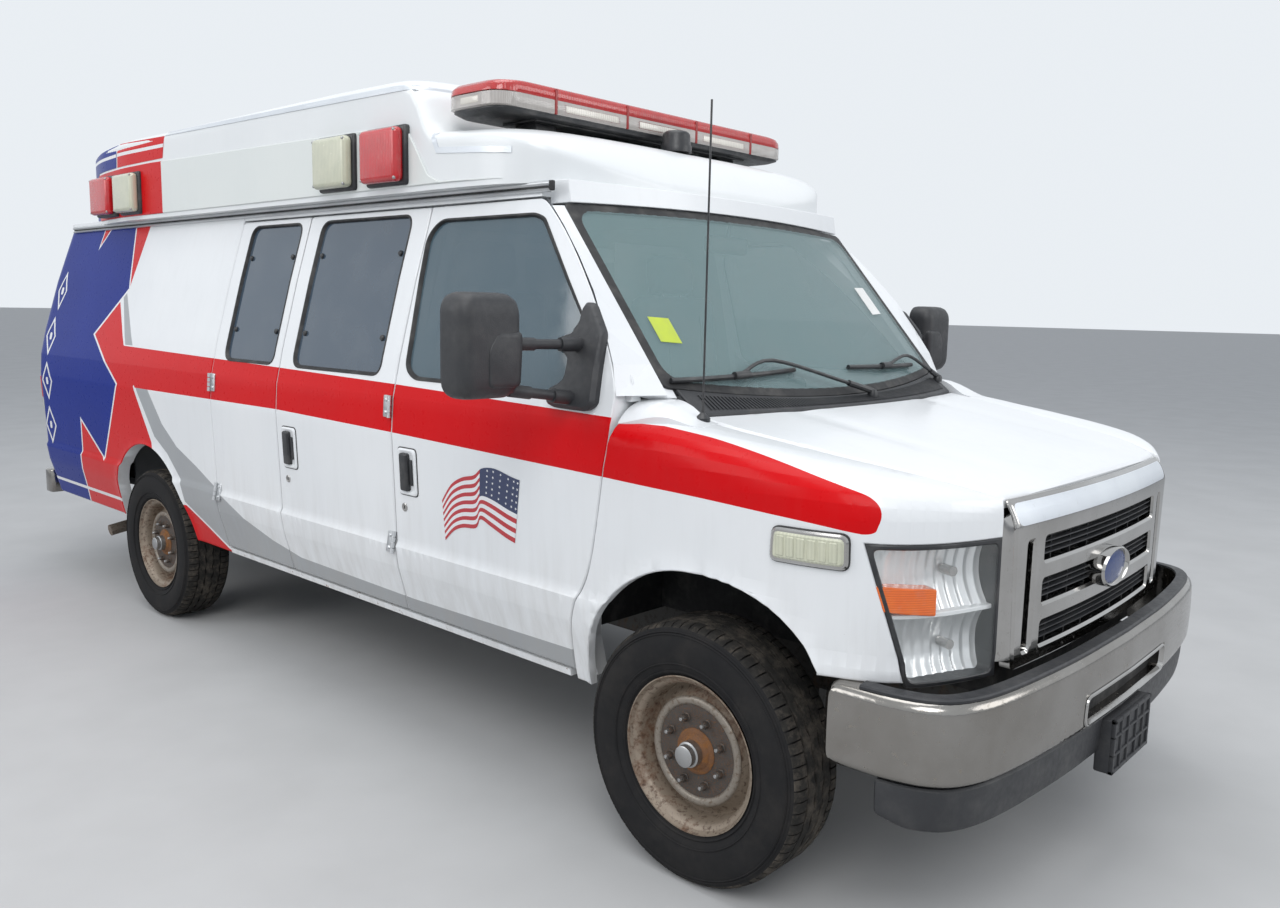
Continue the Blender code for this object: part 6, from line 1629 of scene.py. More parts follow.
def headlamps():
    outline = lamp_outline()
    border = moved_in(outline, 0.013)
    border = rounded(border, 0.02, 4)
    for side, sign in SIDES:
        at = lambda depth, sign=sign: (lambda run, z: fender_point(sign, run, z, depth))
        lens = skin(moved_in(border, -0.004), [], at(0.0025), at(0.007), 0.03, (), 0.0)
        piece(f"lamp_lens_{side}", lens, "body", CLEAR, f"headlamp_{side}")
        rim = skin(outline, [border], at(0.0), at(0.060), 0.03, (), 0.003)
        piece(f"lamp_rim_{side}", rim, "body", SATIN)
        # The reflector shell and the bar below take that painted reflection.
        shape = lambda run, z, sign=sign: fender_point(sign, run, z, lamp_depth(run, z))
        back = skin(moved_in(outline, 0.010), [], shape, at(0.082), 0.0085, (), 0.0)
        piece(f"lamp_reflector_{side}", back, "body", REFLECTOR)
        run = outline[2][0]
        block = rounded(
            [(run - 0.185, 0.872), (run - 0.026, 0.886), (run - 0.010, 0.950), (run - 0.185, 0.940)],
            0.006,
            3,
        )
        amber = skin(block, [], at(0.0012), at(0.045), 0.02, (), 0.003)
        piece(f"lamp_amber_{side}", amber, "body", AMBER)
        for number, (place, z) in enumerate(((0.135, 0.972), (0.135, 0.785))):
            middle, ahead = fender_point(sign, place, z, 0.068), fender_point(sign, place, z, 0.030)
            bulb = wire([middle, middle.lerp(ahead, 0.5), ahead], 0.013, 16)
            piece(f"lamp_bulb_{side}_{number}", bulb, "body", CHROME)
        bar = [(0.005, 0.868), (run - 0.02, 0.862), (run - 0.02, 0.874), (0.005, 0.880)]
        piece(
            f"lamp_bar_{side}",
            skin(bar, [], at(0.014), at(0.060), 0.03, (), 0.002),
            "body",
            REFLECTOR,
        )


def grille():
    top, base = GRILLE_TOP_HALF, GRILLE_BOTTOM_HALF
    outline = [
        (-base, GRILLE_BOTTOM_Z), (base, GRILLE_BOTTOM_Z), (top, GRILLE_STRIP_Z),
        (top, GRILLE_TOP_Z),
    ]
    outline += [(-top, GRILLE_TOP_Z), (-top, GRILLE_STRIP_Z)]
    outline = rounded(outline, 0.022, 5)
    slot_low, slot_high = GRILLE_BOTTOM_Z + GRILLE_FRAME, GRILLE_STRIP_Z - GRILLE_FRAME
    holes = []
    for sign in (-1, 1):
        outer_x = base - GRILLE_FRAME
        xs = sorted((sign * outer_x, sign * (outer_x - GRILLE_SLOT_WIDTH)))
        holes.append(rounded(
            [(xs[0], slot_low), (xs[1], slot_low), (xs[1], slot_high), (xs[0], slot_high)],
            0.010,
            4,
        ))
    half = base - GRILLE_FRAME * 2.4 - GRILLE_SLOT_WIDTH
    pitch = (slot_high - slot_low + GRILLE_BAR) / 3
    rows = []
    for row in range(3):
        low = slot_low + pitch * row
        high = low + pitch - GRILLE_BAR
        rows.append((low, high))
        holes.append(rounded([(-half, low), (half, low), (half, high), (-half, high)], 0.010, 4))
    face = lambda x, z: grille_front(x, z)
    back = lambda x, z: Vector((
        x,
        min(
            GRILLE_BACK_Y - 0.030, 0,
        ) if z < GRILLE_STRIP_Z + MERGE else grille_front(x, z).y + EDGE_TRIM / 2,
        z,
    ))
    strip_low, strip_high = GRILLE_STRIP_Z + 0.004, GRILLE_TOP_Z - 0.010
    film = rounded(
        [
            (-top + 0.014, strip_low), (top - 0.014, strip_low), (top - 0.014, strip_high),
            (-top + 0.014, strip_high),
        ],
        0.026,
        5,
    )
    mesh = skin(outline, holes, face, back, 0.035, [(film, 1)], 0.007)
    piece("grille_frame", mesh, "body", [CHROME, FILM], "grille")
    # A near-black box behind the grille slots, as painted shade in the space behind them.
    dark = soft_box(
        (-half - 0.11, GRILLE_BACK_Y - 0.028, slot_low - 0.02),
        (half + 0.11, GRILLE_BACK_Y - 0.004, slot_high + 0.02),
        0.004,
        1,
    )
    piece("grille_back", dark, "body", DARK)
    slats = []
    for low, high in rows:
        count = 3
        for i in range(1, count + 1):
            z = mix(low, high, i / (count + 1))
            path = []
            for step in range(-8, 9):
                x = half * step / 8 * 0.995
                path.append((
                    Vector((x, grille_front(x, z).y + 0.026, z)),
                    Vector((0, 1, 0)),
                    Vector((0, 0, 1)),
                ))
            slats.append(sweep(
                path,
                [(-0.014, -0.0015), (-0.014, 0.0015), (0.016, 0.0045), (0.016, -0.0045)],
            ))
    for x in (-0.36, -0.24, -0.12, 0.12, 0.24, 0.36):
        for low, high in rows:
            y = grille_front(x, low).y
            slats.append(soft_box(
                (x - 0.002, y + 0.022, low - 0.004), (x + 0.002, y + 0.044, high + 0.004),
                0.0008, 1,
            ))
    piece("grille_slats", slats, "body", BLACK)
    middle = (slot_low + slot_high) / 2
    front = GRILLE_FRONT_Y - 0.014
    place = lambda a, b, c: Vector((a * BOSS_WIDTH / BOSS_HEIGHT, front - c, middle + b))
    tall = BOSS_HEIGHT / 2
    ring = [
        (tall * 0.80, 0.004), (tall * 0.84, 0.011), (tall * 0.92, 0.014), (tall, 0.008),
        (tall, -0.050), (0.0, -0.050),
    ]
    piece("boss_ring", lathe([(0.0, 0.002), *ring], place, 64), "body", CHROME)
    dome = [
        (0.0, 0.0115), (tall * 0.35, 0.0105), (tall * 0.62, 0.0080), (tall * 0.80, 0.0045),
        (tall * 0.80, 0.0), (0.0, 0.0),
    ]
    piece("boss_oval", lathe(dome, place, 64), "body", BOSS_BLUE)


def grille_cheeks():
    # Chrome returns close the grille's sides towards the lamps.
    base, top = GRILLE_BOTTOM_HALF, GRILLE_TOP_HALF
    for side, sign in SIDES:
        rings = []
        for z in evenly(GRILLE_BOTTOM_Z + 0.002, GRILLE_TOP_Z - 0.004, 0.03):
            half = mix(
                base, top, clamp((z - GRILLE_BOTTOM_Z) / (GRILLE_STRIP_Z - GRILLE_BOTTOM_Z)),
            ) - 0.004
            front = grille_front(sign * half, z) + Vector((0, 0.006, 0))
            rear = fender_point(sign, 0.0, z, 0.003)
            inward = Vector((-sign * 0.003, 0.006, 0))
            rings.append([
                front,
                front.lerp(rear, 0.5) + Vector((sign * 0.004, -0.003, 0)),
                rear,
                rear + inward,
                front + inward,
            ])
        piece(
            f"grille_cheek_{side}", loft(rings), "body", CHROME,
            angle=math.radians(50),
        )


def bumper_spot(run, z, depth=0.0):
    # The face is crowned a little, and curls in at its top and bottom edges.
    middle, half = (BUMPER_TOP_Z + BUMPER_BOTTOM_Z) / 2, (BUMPER_TOP_Z - BUMPER_BOTTOM_Z) / 2
    share = abs(z - middle) / half
    return bumper_point(run, z, depth + 0.004 * share**2 + 0.010 * max(0.0, share - 0.80) / 0.20)


def bumper():
    run = BUMPER[-1][0]
    low, high = BUMPER_BOTTOM_Z, BUMPER_TOP_Z
    outline = [(-run, low), (run, low), (run, high), (-run, high)]
    half = BUMPER_SLOT_HALF
    low_z, high_z = BUMPER_SLOT_LOW_Z - 0.006, BUMPER_SLOT_HIGH_Z + 0.014
    slot = [(-half, low_z), (half, low_z), (half, high_z), (-half, high_z)]
    slot = rounded(slot, 0.024, 5)
    outline = rounded(outline, 0.040, 5)
    inner = lambda place, z: bumper_point(place, z, BUMPER_DEPTH)
    mesh = skin(outline, [slot], lambda a, b: bumper_spot(a, b), inner, 0.03, [], 0.014)
    # The bar's chrome carries painted reflection of the ground in its dark, brownish colour.
    piece("bumper_bar", mesh, "body", BUMPER_CHROME, "front_bumper")
    # A near-black plate behind the bumper slot, as painted shade in the opening.
    behind = moved_in(slot, -0.018)
    at = lambda depth: (lambda a, b: bumper_point(a, b, depth))
    piece(
        "bumper_slot_back",
        skin(behind, [], at(0.040), at(0.050), 0.05, (), 0.0),
        "body",
        DARK,
    )
    band(
        "bumper_slot_lip", slot, lambda a, b, d: bumper_spot(a, b, d), "body", 0.007, 0.004,
        0.010, CHROME,
    )
    # The black pad lies on the bar's top.
    path = []
    for step in range(-40, 41):
        place = run * 0.93 * step / 40
        spot = bumper_point(place, high - 0.001, 0.034)
        side = (bumper_point(place, high, 0.050) - bumper_point(place, high, 0.020)).normalized()
        path.append((spot, side, Vector((0, 0, 1))))
    pad = sweep(
        path, [(-0.016, -0.004), (-0.016, 0.002), (-0.012, 0.006), (0.020, 0.007), (0.020, -0.004)],
    )
    piece("bumper_pad", pad, "body", BLACK)


def valance():
    run = BUMPER[-2][0]
    top = BUMPER_BOTTOM_Z - SEAT_GAP
    outline = rounded(
        [
            (-run, VALANCE_BOTTOM_Z + 0.02), (-run * 0.93, VALANCE_BOTTOM_Z),
            (run * 0.93, VALANCE_BOTTOM_Z), (run, VALANCE_BOTTOM_Z + 0.02), (run, top),
            (-run, top),
        ],
        0.012,
        3,
    )

    def outer(place, z):
        share = clamp((top - z) / (top - VALANCE_BOTTOM_Z))
        return bumper_point(place, z, VALANCE_SETBACK + 0.010 * share**3)

    inner = lambda place, z: bumper_point(place, z, BUMPER_DEPTH)
    piece(
        "valance_skirt",
        skin(outline, [], outer, inner, 0.035, [], 0.006),
        "body",
        BLACK,
        "front_valance",
    )
    half, front = PLATE_WIDTH / 2, -FRONT_OVERHANG
    low, high = top - PLATE_HEIGHT, top - EDGE_TRIM
    parts = [soft_box(
        (-half, front + 0.006, low),
        (half, BUMPER[0][2] + VALANCE_SETBACK * 2, high),
        0.006,
    )]
    bars = [
        (-half, low, half, low + 0.012), (-half, high - 0.012, half, high),
        (-half, low, -half + 0.012, high), (half - 0.012, low, half, high),
    ]
    bars += [(x - 0.004, low, x + 0.004, high) for x in (-0.095, -0.035, 0.035, 0.095)]
    bars += [(-half, z - 0.004, half, z + 0.004) for z in (low + 0.055, low + 0.108)]
    for x0, z0, x1, z1 in bars:
        parts.append(soft_box((x0, front, z0), (x1, front + 0.014, z1), 0.0025, 2))
    piece("plate_bracket", parts, "body", BLACK)


headlamps()
grille()
grille_cheeks()
bumper()
valance()


# Raised roof, side lamps, rails and light bar


def roof_row(place):
    spot = clamp(place)
    return [curve_value(ROOF_SHARES, spot, column) for column in (1, 2, 3)]


def roof_measures(y, wall=0.0):
    half_share, side_share, top_share = roof_row((y - ROOF_FRONT_Y) / (ROOF_REAR_Y - ROOF_FRONT_Y))
    base = GUTTER_Z + SEAT_GAP
    rise = ROOF_TOP_Z - base
    return ROOF_HALF * half_share - wall, base + rise * side_share - wall, base + rise * top_share - wall


ROOF_TURNS = (0.0, 0.03, 0.07, 0.12, 0.18, 0.25, 0.33, 0.42, 0.52, 0.62, 0.72, 0.82, 0.91, 1.0)


def roof_ring(y, wall=0.0, floor=None):
    half, side, top = roof_measures(y, wall)
    base = GUTTER_Z + SEAT_GAP if floor is None else floor
    arch = []
    for share in ROOF_TURNS:
        turn = share * math.pi / 2
        arch.append((half * math.cos(turn) ** ROOF_POWER, mix(side, top, math.sin(turn) ** ROOF_POWER)))
    arch = [(0.0 if abs(x) < 1e-6 else x, max(z, base)) for x, z in arch]
    right = [(-x, y, z) for x, z in arch]
    left = [(x, y, z) for x, z in reversed(arch[:-1])]
    low = [(half, y, base + (side - base) * share) for share in (0.75, 0.5, 0.25, 0.0)]
    return [(-x, y, z) for x, y, z in reversed(low)] + right + left + low


def roof_stations():
    spots = []
    for a, b in zip(ROOF_SHARES, ROOF_SHARES[1:]):
        parts = max(2, math.ceil((b[0] - a[0]) * (ROOF_REAR_Y - ROOF_FRONT_Y) / 0.06))
        spots += [mix(a[0], b[0], i / parts) for i in range(parts)]
    return [mix(ROOF_FRONT_Y, ROOF_REAR_Y, share) for share in [*spots, 1.0]]


def roof_side(sign, y, z, out=0.0):
    # A point on the raised roof's flank, moved out by a little.
    half, side, top = roof_measures(y)
    if z > side:
        turn = math.asin(clamp((z - side) / max(top - side, 1e-6)) ** (1 / ROOF_POWER))
        x = half * math.cos(turn) ** ROOF_POWER
        lift = out * math.sin(turn)
        return Vector((sign * (x + out * math.cos(turn)), y, z + lift))
    return Vector((sign * (half + out), y, z))


def roof_shell():
    rings = [roof_ring(y) for y in roof_stations()]
    piece(
        "roof_shell", loft(rings), "body", PANEL_TOP, "roof_raised",
        angle=math.radians(36),
    )
    inner = [roof_ring(y, ROOF_WALL, GUTTER_Z + 0.05) for y in roof_stations() if 1.02 < y < 4.6]
    piece("roof_liner", loft(inner), "body", TRIM)
    rings = []
    for step in range(-12, 13):
        share = step / 12 * 0.97
        top = screen_point(share, 1.0)
        deep = top.y + 0.09
        base = top.z + EDGE_TRIM / 2
        rings.append([
            (top.x, top.y - EDGE_TRIM, base),
            (top.x, deep, base),
            (top.x, deep, GUTTER_Z + 0.01),
            (top.x, top.y + EDGE_TRIM, GUTTER_Z + 0.01),
        ])
    piece("roof_header", loft(rings), "body", WHITE, bevel=0.003)
    corner_end = SIDE_END_Y + REAR_CORNER_RADIUS * math.pi / 2
    places = [
        mix(ROOF_FRONT_Y, ROOF_REAR_Y, 0.70),
        *[mix(SIDE_END_Y - 0.8, corner_end, i / 24) for i in range(25)],
    ]
    half = [side_point(1, along, GUTTER_Z, -RAIL_LIP / 2) for along in places]
    outline = [(spot.x, spot.y) for spot in half] + [(-spot.x, spot.y) for spot in reversed(half)]
    base = GUTTER_Z + SEAT_GAP * 2
    deck = loft([[(x, y, z) for x, y in outline] for z in (base, base + 0.022)])
    piece("roof_deck", deck, "body", WHITE, bevel=0.004)
    for side, sign in SIDES:
        flank = lambda out, sign=sign: (lambda y, z: roof_side(sign, y, z, out))
        panel = [
            (4.36, 2.004), (4.36, 2.245), (3.565, 2.250), (1.441, 2.218), (1.300, 2.035),
            (1.240, 2.012), (0.93, 2.004),
        ]
        red = [(3.44, 1.9), (3.44, 2.4), (4.5, 2.4), (4.5, 1.9)]
        plate = skin(rounded(panel, 0.012, 3), [], flank(0.006), flank(0.0005), 0.06, [(red, 1)], 0.003)
        piece(f"roof_panel_{side}", plate, "body", [PANEL, RED])
        upper = [(3.99, 2.258), (3.975, 2.375), (3.405, 2.362), (3.43, 2.262)]
        line = [(4.0, 2.312), (4.0, 2.328), (3.3, 2.328), (3.3, 2.312)]
        mesh = skin(upper, [], flank(0.002), flank(0.0004), 0.04, [(line, 1)], 0.0)
        piece(f"roof_red_{side}", mesh, "body", [RED, LINE])
        back = [
            (4.70, 2.10), (4.66, 2.33), (4.20, 2.362), (3.995, 2.372), (4.01, 2.258),
            (4.37, 2.256), (4.37, 2.01), (4.70, 2.005),
        ]
        line = [(4.9, 2.306), (4.9, 2.320), (3.8, 2.328), (3.8, 2.312)]
        mesh = skin(back, [], flank(0.002), flank(0.0004), 0.04, [(line, 1)], 0.0)
        piece(f"roof_blue_{side}", mesh, "body", [BLUE, LINE])
        tape = ribbon(((3.399, 2.372), (1.372, 2.345), (1.250, 2.115), (0.90, 2.092)), 0.020)
        mesh = skin(tape, [], flank(0.0025), flank(0.0004), 0.03, (), 0.0)
        piece(f"roof_tape_{side}", mesh, "body", FILM)


def rails():
    for side, sign in SIDES:
        path = []
        low, high = mix(DOOR_FRONT_Y, B_GAP_Y, 0.42), SIDE_END_Y
        for i in range(61):
            y = mix(low, high, i / 60)
            spot = side_point(sign, y, GUTTER_Z)
            path.append((spot, Vector((sign, 0, 0)), Vector((0, 0, 1))))
        profile = [
            (0.0, -0.030), (0.017, -0.030), (0.021, -0.024), (0.013, -0.018), (0.012, -0.013),
            (0.021, -0.009), (0.022, -0.002), (0.016, 0.004), (0.0, 0.006),
        ]
        piece(
            f"drip_rail_{side}", sweep(path, profile), "body", ALLOY,
            angle=math.radians(60),
        )
        strip = [(0.0125, -0.0185), (0.0150, -0.0185), (0.0150, -0.0125), (0.0125, -0.0125)]
        piece(f"drip_line_{side}", sweep(path, strip), "body", SEAL)
        nose = [(spot + Vector((sign * 0.004, -0.006, -0.006)), s, u) for spot, s, u in path[:1]]
        cap = soft_box(*[tuple(v) for v in cap_corners(nose[0][0], sign)], 0.004)
        piece(f"drip_cap_{side}", cap, "body", SEAL)


def cap_corners(spot, sign):
    xs = sorted((spot.x, spot.x + sign * 0.016))
    return Vector((
        xs[0], spot.y - 0.006, spot.z - 0.022,
    )), Vector((xs[1], spot.y + 0.012, spot.z + 0.010))


def side_lamps():
    for side, sign in SIDES:
        for number, (share, look) in enumerate(zip(LAMP_SHARES, (RED_LENS, CREAM, CREAM, RED_LENS))):
            y = mix(ROOF_FRONT_Y, ROOF_REAR_Y, share)
            half, tall = LAMP_WIDTH / 2, LAMP_HEIGHT / 2
            wide = roof_measures(y)[0]
            xs = sorted((sign * (wide - 0.02), sign * (ROOF_HALF + 0.018)))
            base = soft_box((xs[0], y - half, LAMP_Z - tall), (xs[1], y + half, LAMP_Z + tall), 0.012)
            piece(f"side_lamp_base_{side}_{number}", base, "body", SATIN)
            trim = 0.010
            xs = sorted((sign * (ROOF_HALF + 0.010), sign * (ROOF_HALF + LAMP_PROUD)))
            lens = soft_box(
                (xs[0], y - half + trim, LAMP_Z - tall + trim),
                (xs[1], y + half - trim, LAMP_Z + tall - trim),
                0.020,
                5,
            )
            piece(
                f"side_lamp_{side}_{number}",
                lens,
                "body",
                look,
            )
            screws = []
            for a, b in ((-1, -1), (-1, 1), (1, -1), (1, 1)):
                spot = Vector((
                    sign * (ROOF_HALF + 0.030), y + a * (half - 0.022),
                    LAMP_Z + b * (tall - 0.022),
                ))
                place = lambda p, q, c, spot=spot: spot + Vector((sign * c, p, q))
                screws.append(lathe(
                    [(0.0, 0.0), (0.006, 0.0), (0.006, 0.022), (0.004, 0.0235), (0.0, 0.0235)],
                    place,
                    12,
                ))
            piece(f"side_lamp_screws_{side}_{number}", screws, "body", STEEL)


def bar_plan(scale, grow=0.0):
    half, deep = LIGHT_BAR_LENGTH / 2, LIGHT_BAR_DEPTH / 2
    corners = [
        (-half - grow, -deep - grow), (half + grow, -deep - grow), (half + grow, deep + grow),
        (-half - grow, deep + grow),
    ]
    return [(x * scale, LIGHT_BAR_Y + y * scale) for x, y in rounded(corners, deep * 0.6, 8)]


def bar_layer(levels):
    # levels are (scale, height) rings.
    return loft([[(x, y, LIGHT_BAR_Z + z) for x, y in bar_plan(scale)] for scale, z in levels])


def light_bar():
    tall = LIGHT_BAR_HEIGHT / 2
    base = bar_layer(((0.94, -tall), (0.985, -tall * 0.80), (0.985, -tall * 0.70)))
    feet = []
    for _, sign in SIDES:
        x = sign * 0.520
        feet.append(soft_box(
            (x - 0.055, LIGHT_BAR_Y - 0.055, ROOF_CAP_Z - 0.03),
            (x + 0.055, LIGHT_BAR_Y + 0.055, LIGHT_BAR_Z - tall + 0.004),
            0.012,
        ))
    feet.append(soft_box(
        (-0.60, LIGHT_BAR_Y - 0.09, LIGHT_BAR_Z - tall - 0.006),
        (0.60, LIGHT_BAR_Y + 0.09, LIGHT_BAR_Z - tall + 0.006),
        0.004,
    ))
    piece("bar_base", [base, *feet], "body", SATIN, "light_bar")
    lower = bar_layer((
        (0.985, -tall * 0.70), (1.0, -tall * 0.62), (1.0, tall * 0.16), (0.99, tall * 0.20),
    ))
    piece("bar_lower_lens", lower, "body", BAR_CLEAR)
    upper = bar_layer((
        (0.99, tall * 0.20), (1.0, tall * 0.24), (0.995, tall * 0.62), (0.975, tall * 0.88),
        (0.93, tall * 0.99), (0.90, tall),
    ))
    piece("bar_upper_lens", upper, "body", BAR_RED)
    trims = []
    for x in (-0.56, -0.20, 0.20, 0.56):
        trims.append(soft_box(
            (x - 0.006, LIGHT_BAR_Y - LIGHT_BAR_DEPTH / 2 - 0.003, LIGHT_BAR_Z - tall * 0.72),
            (x + 0.006, LIGHT_BAR_Y + LIGHT_BAR_DEPTH / 2 + 0.003, LIGHT_BAR_Z + tall * 0.90),
            0.003,
        ))
    piece("bar_seams", trims, "body", RED_DARK)
    modules, rims = [], []
    for x in (-0.38, 0.0, 0.38):
        for way in (-1, 1):
            y = LIGHT_BAR_Y + way * (LIGHT_BAR_DEPTH / 2 + 0.001)
            ys = sorted((y, y - way * 0.012))
            modules.append(soft_box(
                (x - 0.135, ys[0], LIGHT_BAR_Z - tall * 0.50),
                (x + 0.135, ys[1], LIGHT_BAR_Z + tall * 0.02),
                0.006,
                3,
            ))
            ys = sorted((y - way * 0.001, y - way * 0.012))
            rims.append(soft_box(
                (x - 0.145, ys[0], LIGHT_BAR_Z - tall * 0.60),
                (x + 0.145, ys[1], LIGHT_BAR_Z + tall * 0.12),
                0.006,
                3,
            ))
    for sign in (-1, 1):
        x = sign * (LIGHT_BAR_LENGTH / 2 + 0.001)
        xs = sorted((x, x - sign * 0.012))
        modules.append(soft_box(
            (xs[0], LIGHT_BAR_Y - 0.05, LIGHT_BAR_Z - tall * 0.50),
            (xs[1], LIGHT_BAR_Y + 0.05, LIGHT_BAR_Z + tall * 0.02),
            0.006,
            3,
        ))
    piece("bar_modules", modules, "body", MODULE)
    piece("bar_module_rims", rims, "body", RED_DARK)
    dome_y = ROOF_FRONT_Y + (LIGHT_BAR_Y - ROOF_FRONT_Y) * 0.55
    place = lambda a, b, c: Vector((a, dome_y + b, ROOF_CAP_Z - 0.02 + c))
    tall = DOME_HEIGHT + 0.02
    reach = DOME_RADIUS
    profile = [
        (0.0, 0.0), (reach * 1.08, 0.0), (reach * 1.08, 0.024), (reach, 0.030),
        (reach * 0.97, tall * 0.78), (reach * 0.90, tall * 0.90), (reach * 0.72, tall * 0.98),
        (0.0, tall),
    ]
    piece("roof_dome", lathe(profile, place, 48), "body", SATIN)


RED_DARK = plastic_look("bar_trim", (0.30, 0.015, 0.014), (0.24, 0.012, 0.012), 0.3, 600.0, 0.0002)
MODULE = lens_look("bar_module", (0.74, 0.70, 0.62), (0.66, 0.61, 0.54), 0.011, 1.0, 0.16)
PANEL_TOP = [body_look("roof_white", (0.76, 0.775, 0.775), (0.72, 0.74, 0.745), 0.36, 0.6, False)]
roof_shell()
rails()
side_lamps()
light_bar()


# Wheels

RIM_PALE = rust_look(
    "rim_pale", (0.245, 0.215, 0.180), (0.160, 0.110, 0.078), (0.12, 0.080, 0.050), 0.30, 0.55,
    0.35, 9.0,
)
RUST = rust_look(
    "hub_rust", (0.17, 0.075, 0.030), (0.24, 0.100, 0.028), (0.08, 0.045, 0.028), 0.6, 0.85,
    0.1, 40.0,
)
TYRE_PROFILE = (
    (-0.075, 0.690), (0.02, 0.790), (0.120, 0.870), (0.300, 0.965), (0.500, 1.000),
    (0.700, 0.985), (0.880, 0.920), (0.935, 0.850),
)
GROOVE_DEPTH = 0.0085
TREAD_STEPS = 150


def tyre_meshes(place):
    wide, rise = TYRE_WIDTH / 2, TYRE_RADIUS - RIM_RADIUS
    half = [(RIM_RADIUS + r * rise, a * wide) for r, a in eased(TYRE_PROFILE, 3)]
    floor = TYRE_RADIUS - GROOVE_DEPTH
    carcass = half + [
        (floor, wide * 0.80), (floor, -wide * 0.80),
    ] + [(r, -a) for r, a in reversed(half)]
    sides = [lathe(carcass, place, 96)]
    for r, a, size in (
        (0.10, 0.885, 0.0022), (0.26, 0.968, 0.0014), (0.80, 0.968, 0.0018), (0.845, 0.955, 0.0018),
    ):
        for way in (-1, 1):
            radius, along = RIM_RADIUS + r * rise, way * a * wide
            ring = [
                (radius - size * 2, along - way * size), (radius, along + way * size),
                (radius + size * 2, along - way * size),
            ]
            sides.append(lathe(ring, place, 96))
    return sides


def tread_meshes(place):
    wide = TYRE_WIDTH / 2
    floor = TYRE_RADIUS - GROOVE_DEPTH * 1.15
    meshes = []
    for low, high, phase in ((-0.44, -0.19, 0), (-0.135, 0.135, 1), (0.19, 0.44, 0)):
        points = []
        for step in range(TREAD_STEPS):
            angle = 2 * math.pi * step / TREAD_STEPS
            shift = 0.026 if (step + phase) % 4 < 2 else -0.026
            for share, radius in (
                (low + shift, floor), (low + shift, TYRE_RADIUS), (high + shift, TYRE_RADIUS),
                (high + shift, floor),
            ):
                points.append(place(radius * math.cos(angle), radius * math.sin(angle), share * wide))
        faces = []
        for step in range(TREAD_STEPS):
            a, b = step * 4, (step + 1) % TREAD_STEPS * 4
            faces += [(a + k, b + k, b + (k + 1) % 4, a + (k + 1) % 4) for k in range(4)]
        meshes.append(mesh_from(points, faces))
    # Shoulder lugs
    count = 74
    for way in (-1, 1):
        points, faces = [], []
        for step in range(count):
            start = 2 * math.pi * (step + (0.5 if way > 0 else 0.0)) / count
            end = start + 2 * math.pi / count * 0.80
            first = len(points)
            for angle in (start, end):
                slip = 0.004 if angle == end else 0.0
                for share, radius in (
                    (0.500, floor), (0.500, TYRE_RADIUS), (0.64, TYRE_RADIUS),
                    (0.765, TYRE_RADIUS - 0.0025), (0.880, TYRE_RADIUS - 0.0105),
                    (0.905, TYRE_RADIUS - 0.024), (0.80, floor - 0.010),
                ):
                    points.append(place(
                        radius * math.cos(angle + slip), radius * math.sin(angle + slip),
                        way * share * wide,
                    ))
            faces += [
                (first + k, first + (k + 1) % 7, first + 7 + (k + 1) % 7, first + 7 + k)
                for k in range(7)
            ]
            faces += [
                tuple(first + k for k in range(7)), tuple(first + 7 + k for k in reversed(range(7))),
            ]
        meshes.append(mesh_from(points, faces))
    return meshes


def scaled(rows):
    return [(r * RIM_RADIUS, a * RIM_WIDTH / 2) for r, a in rows]


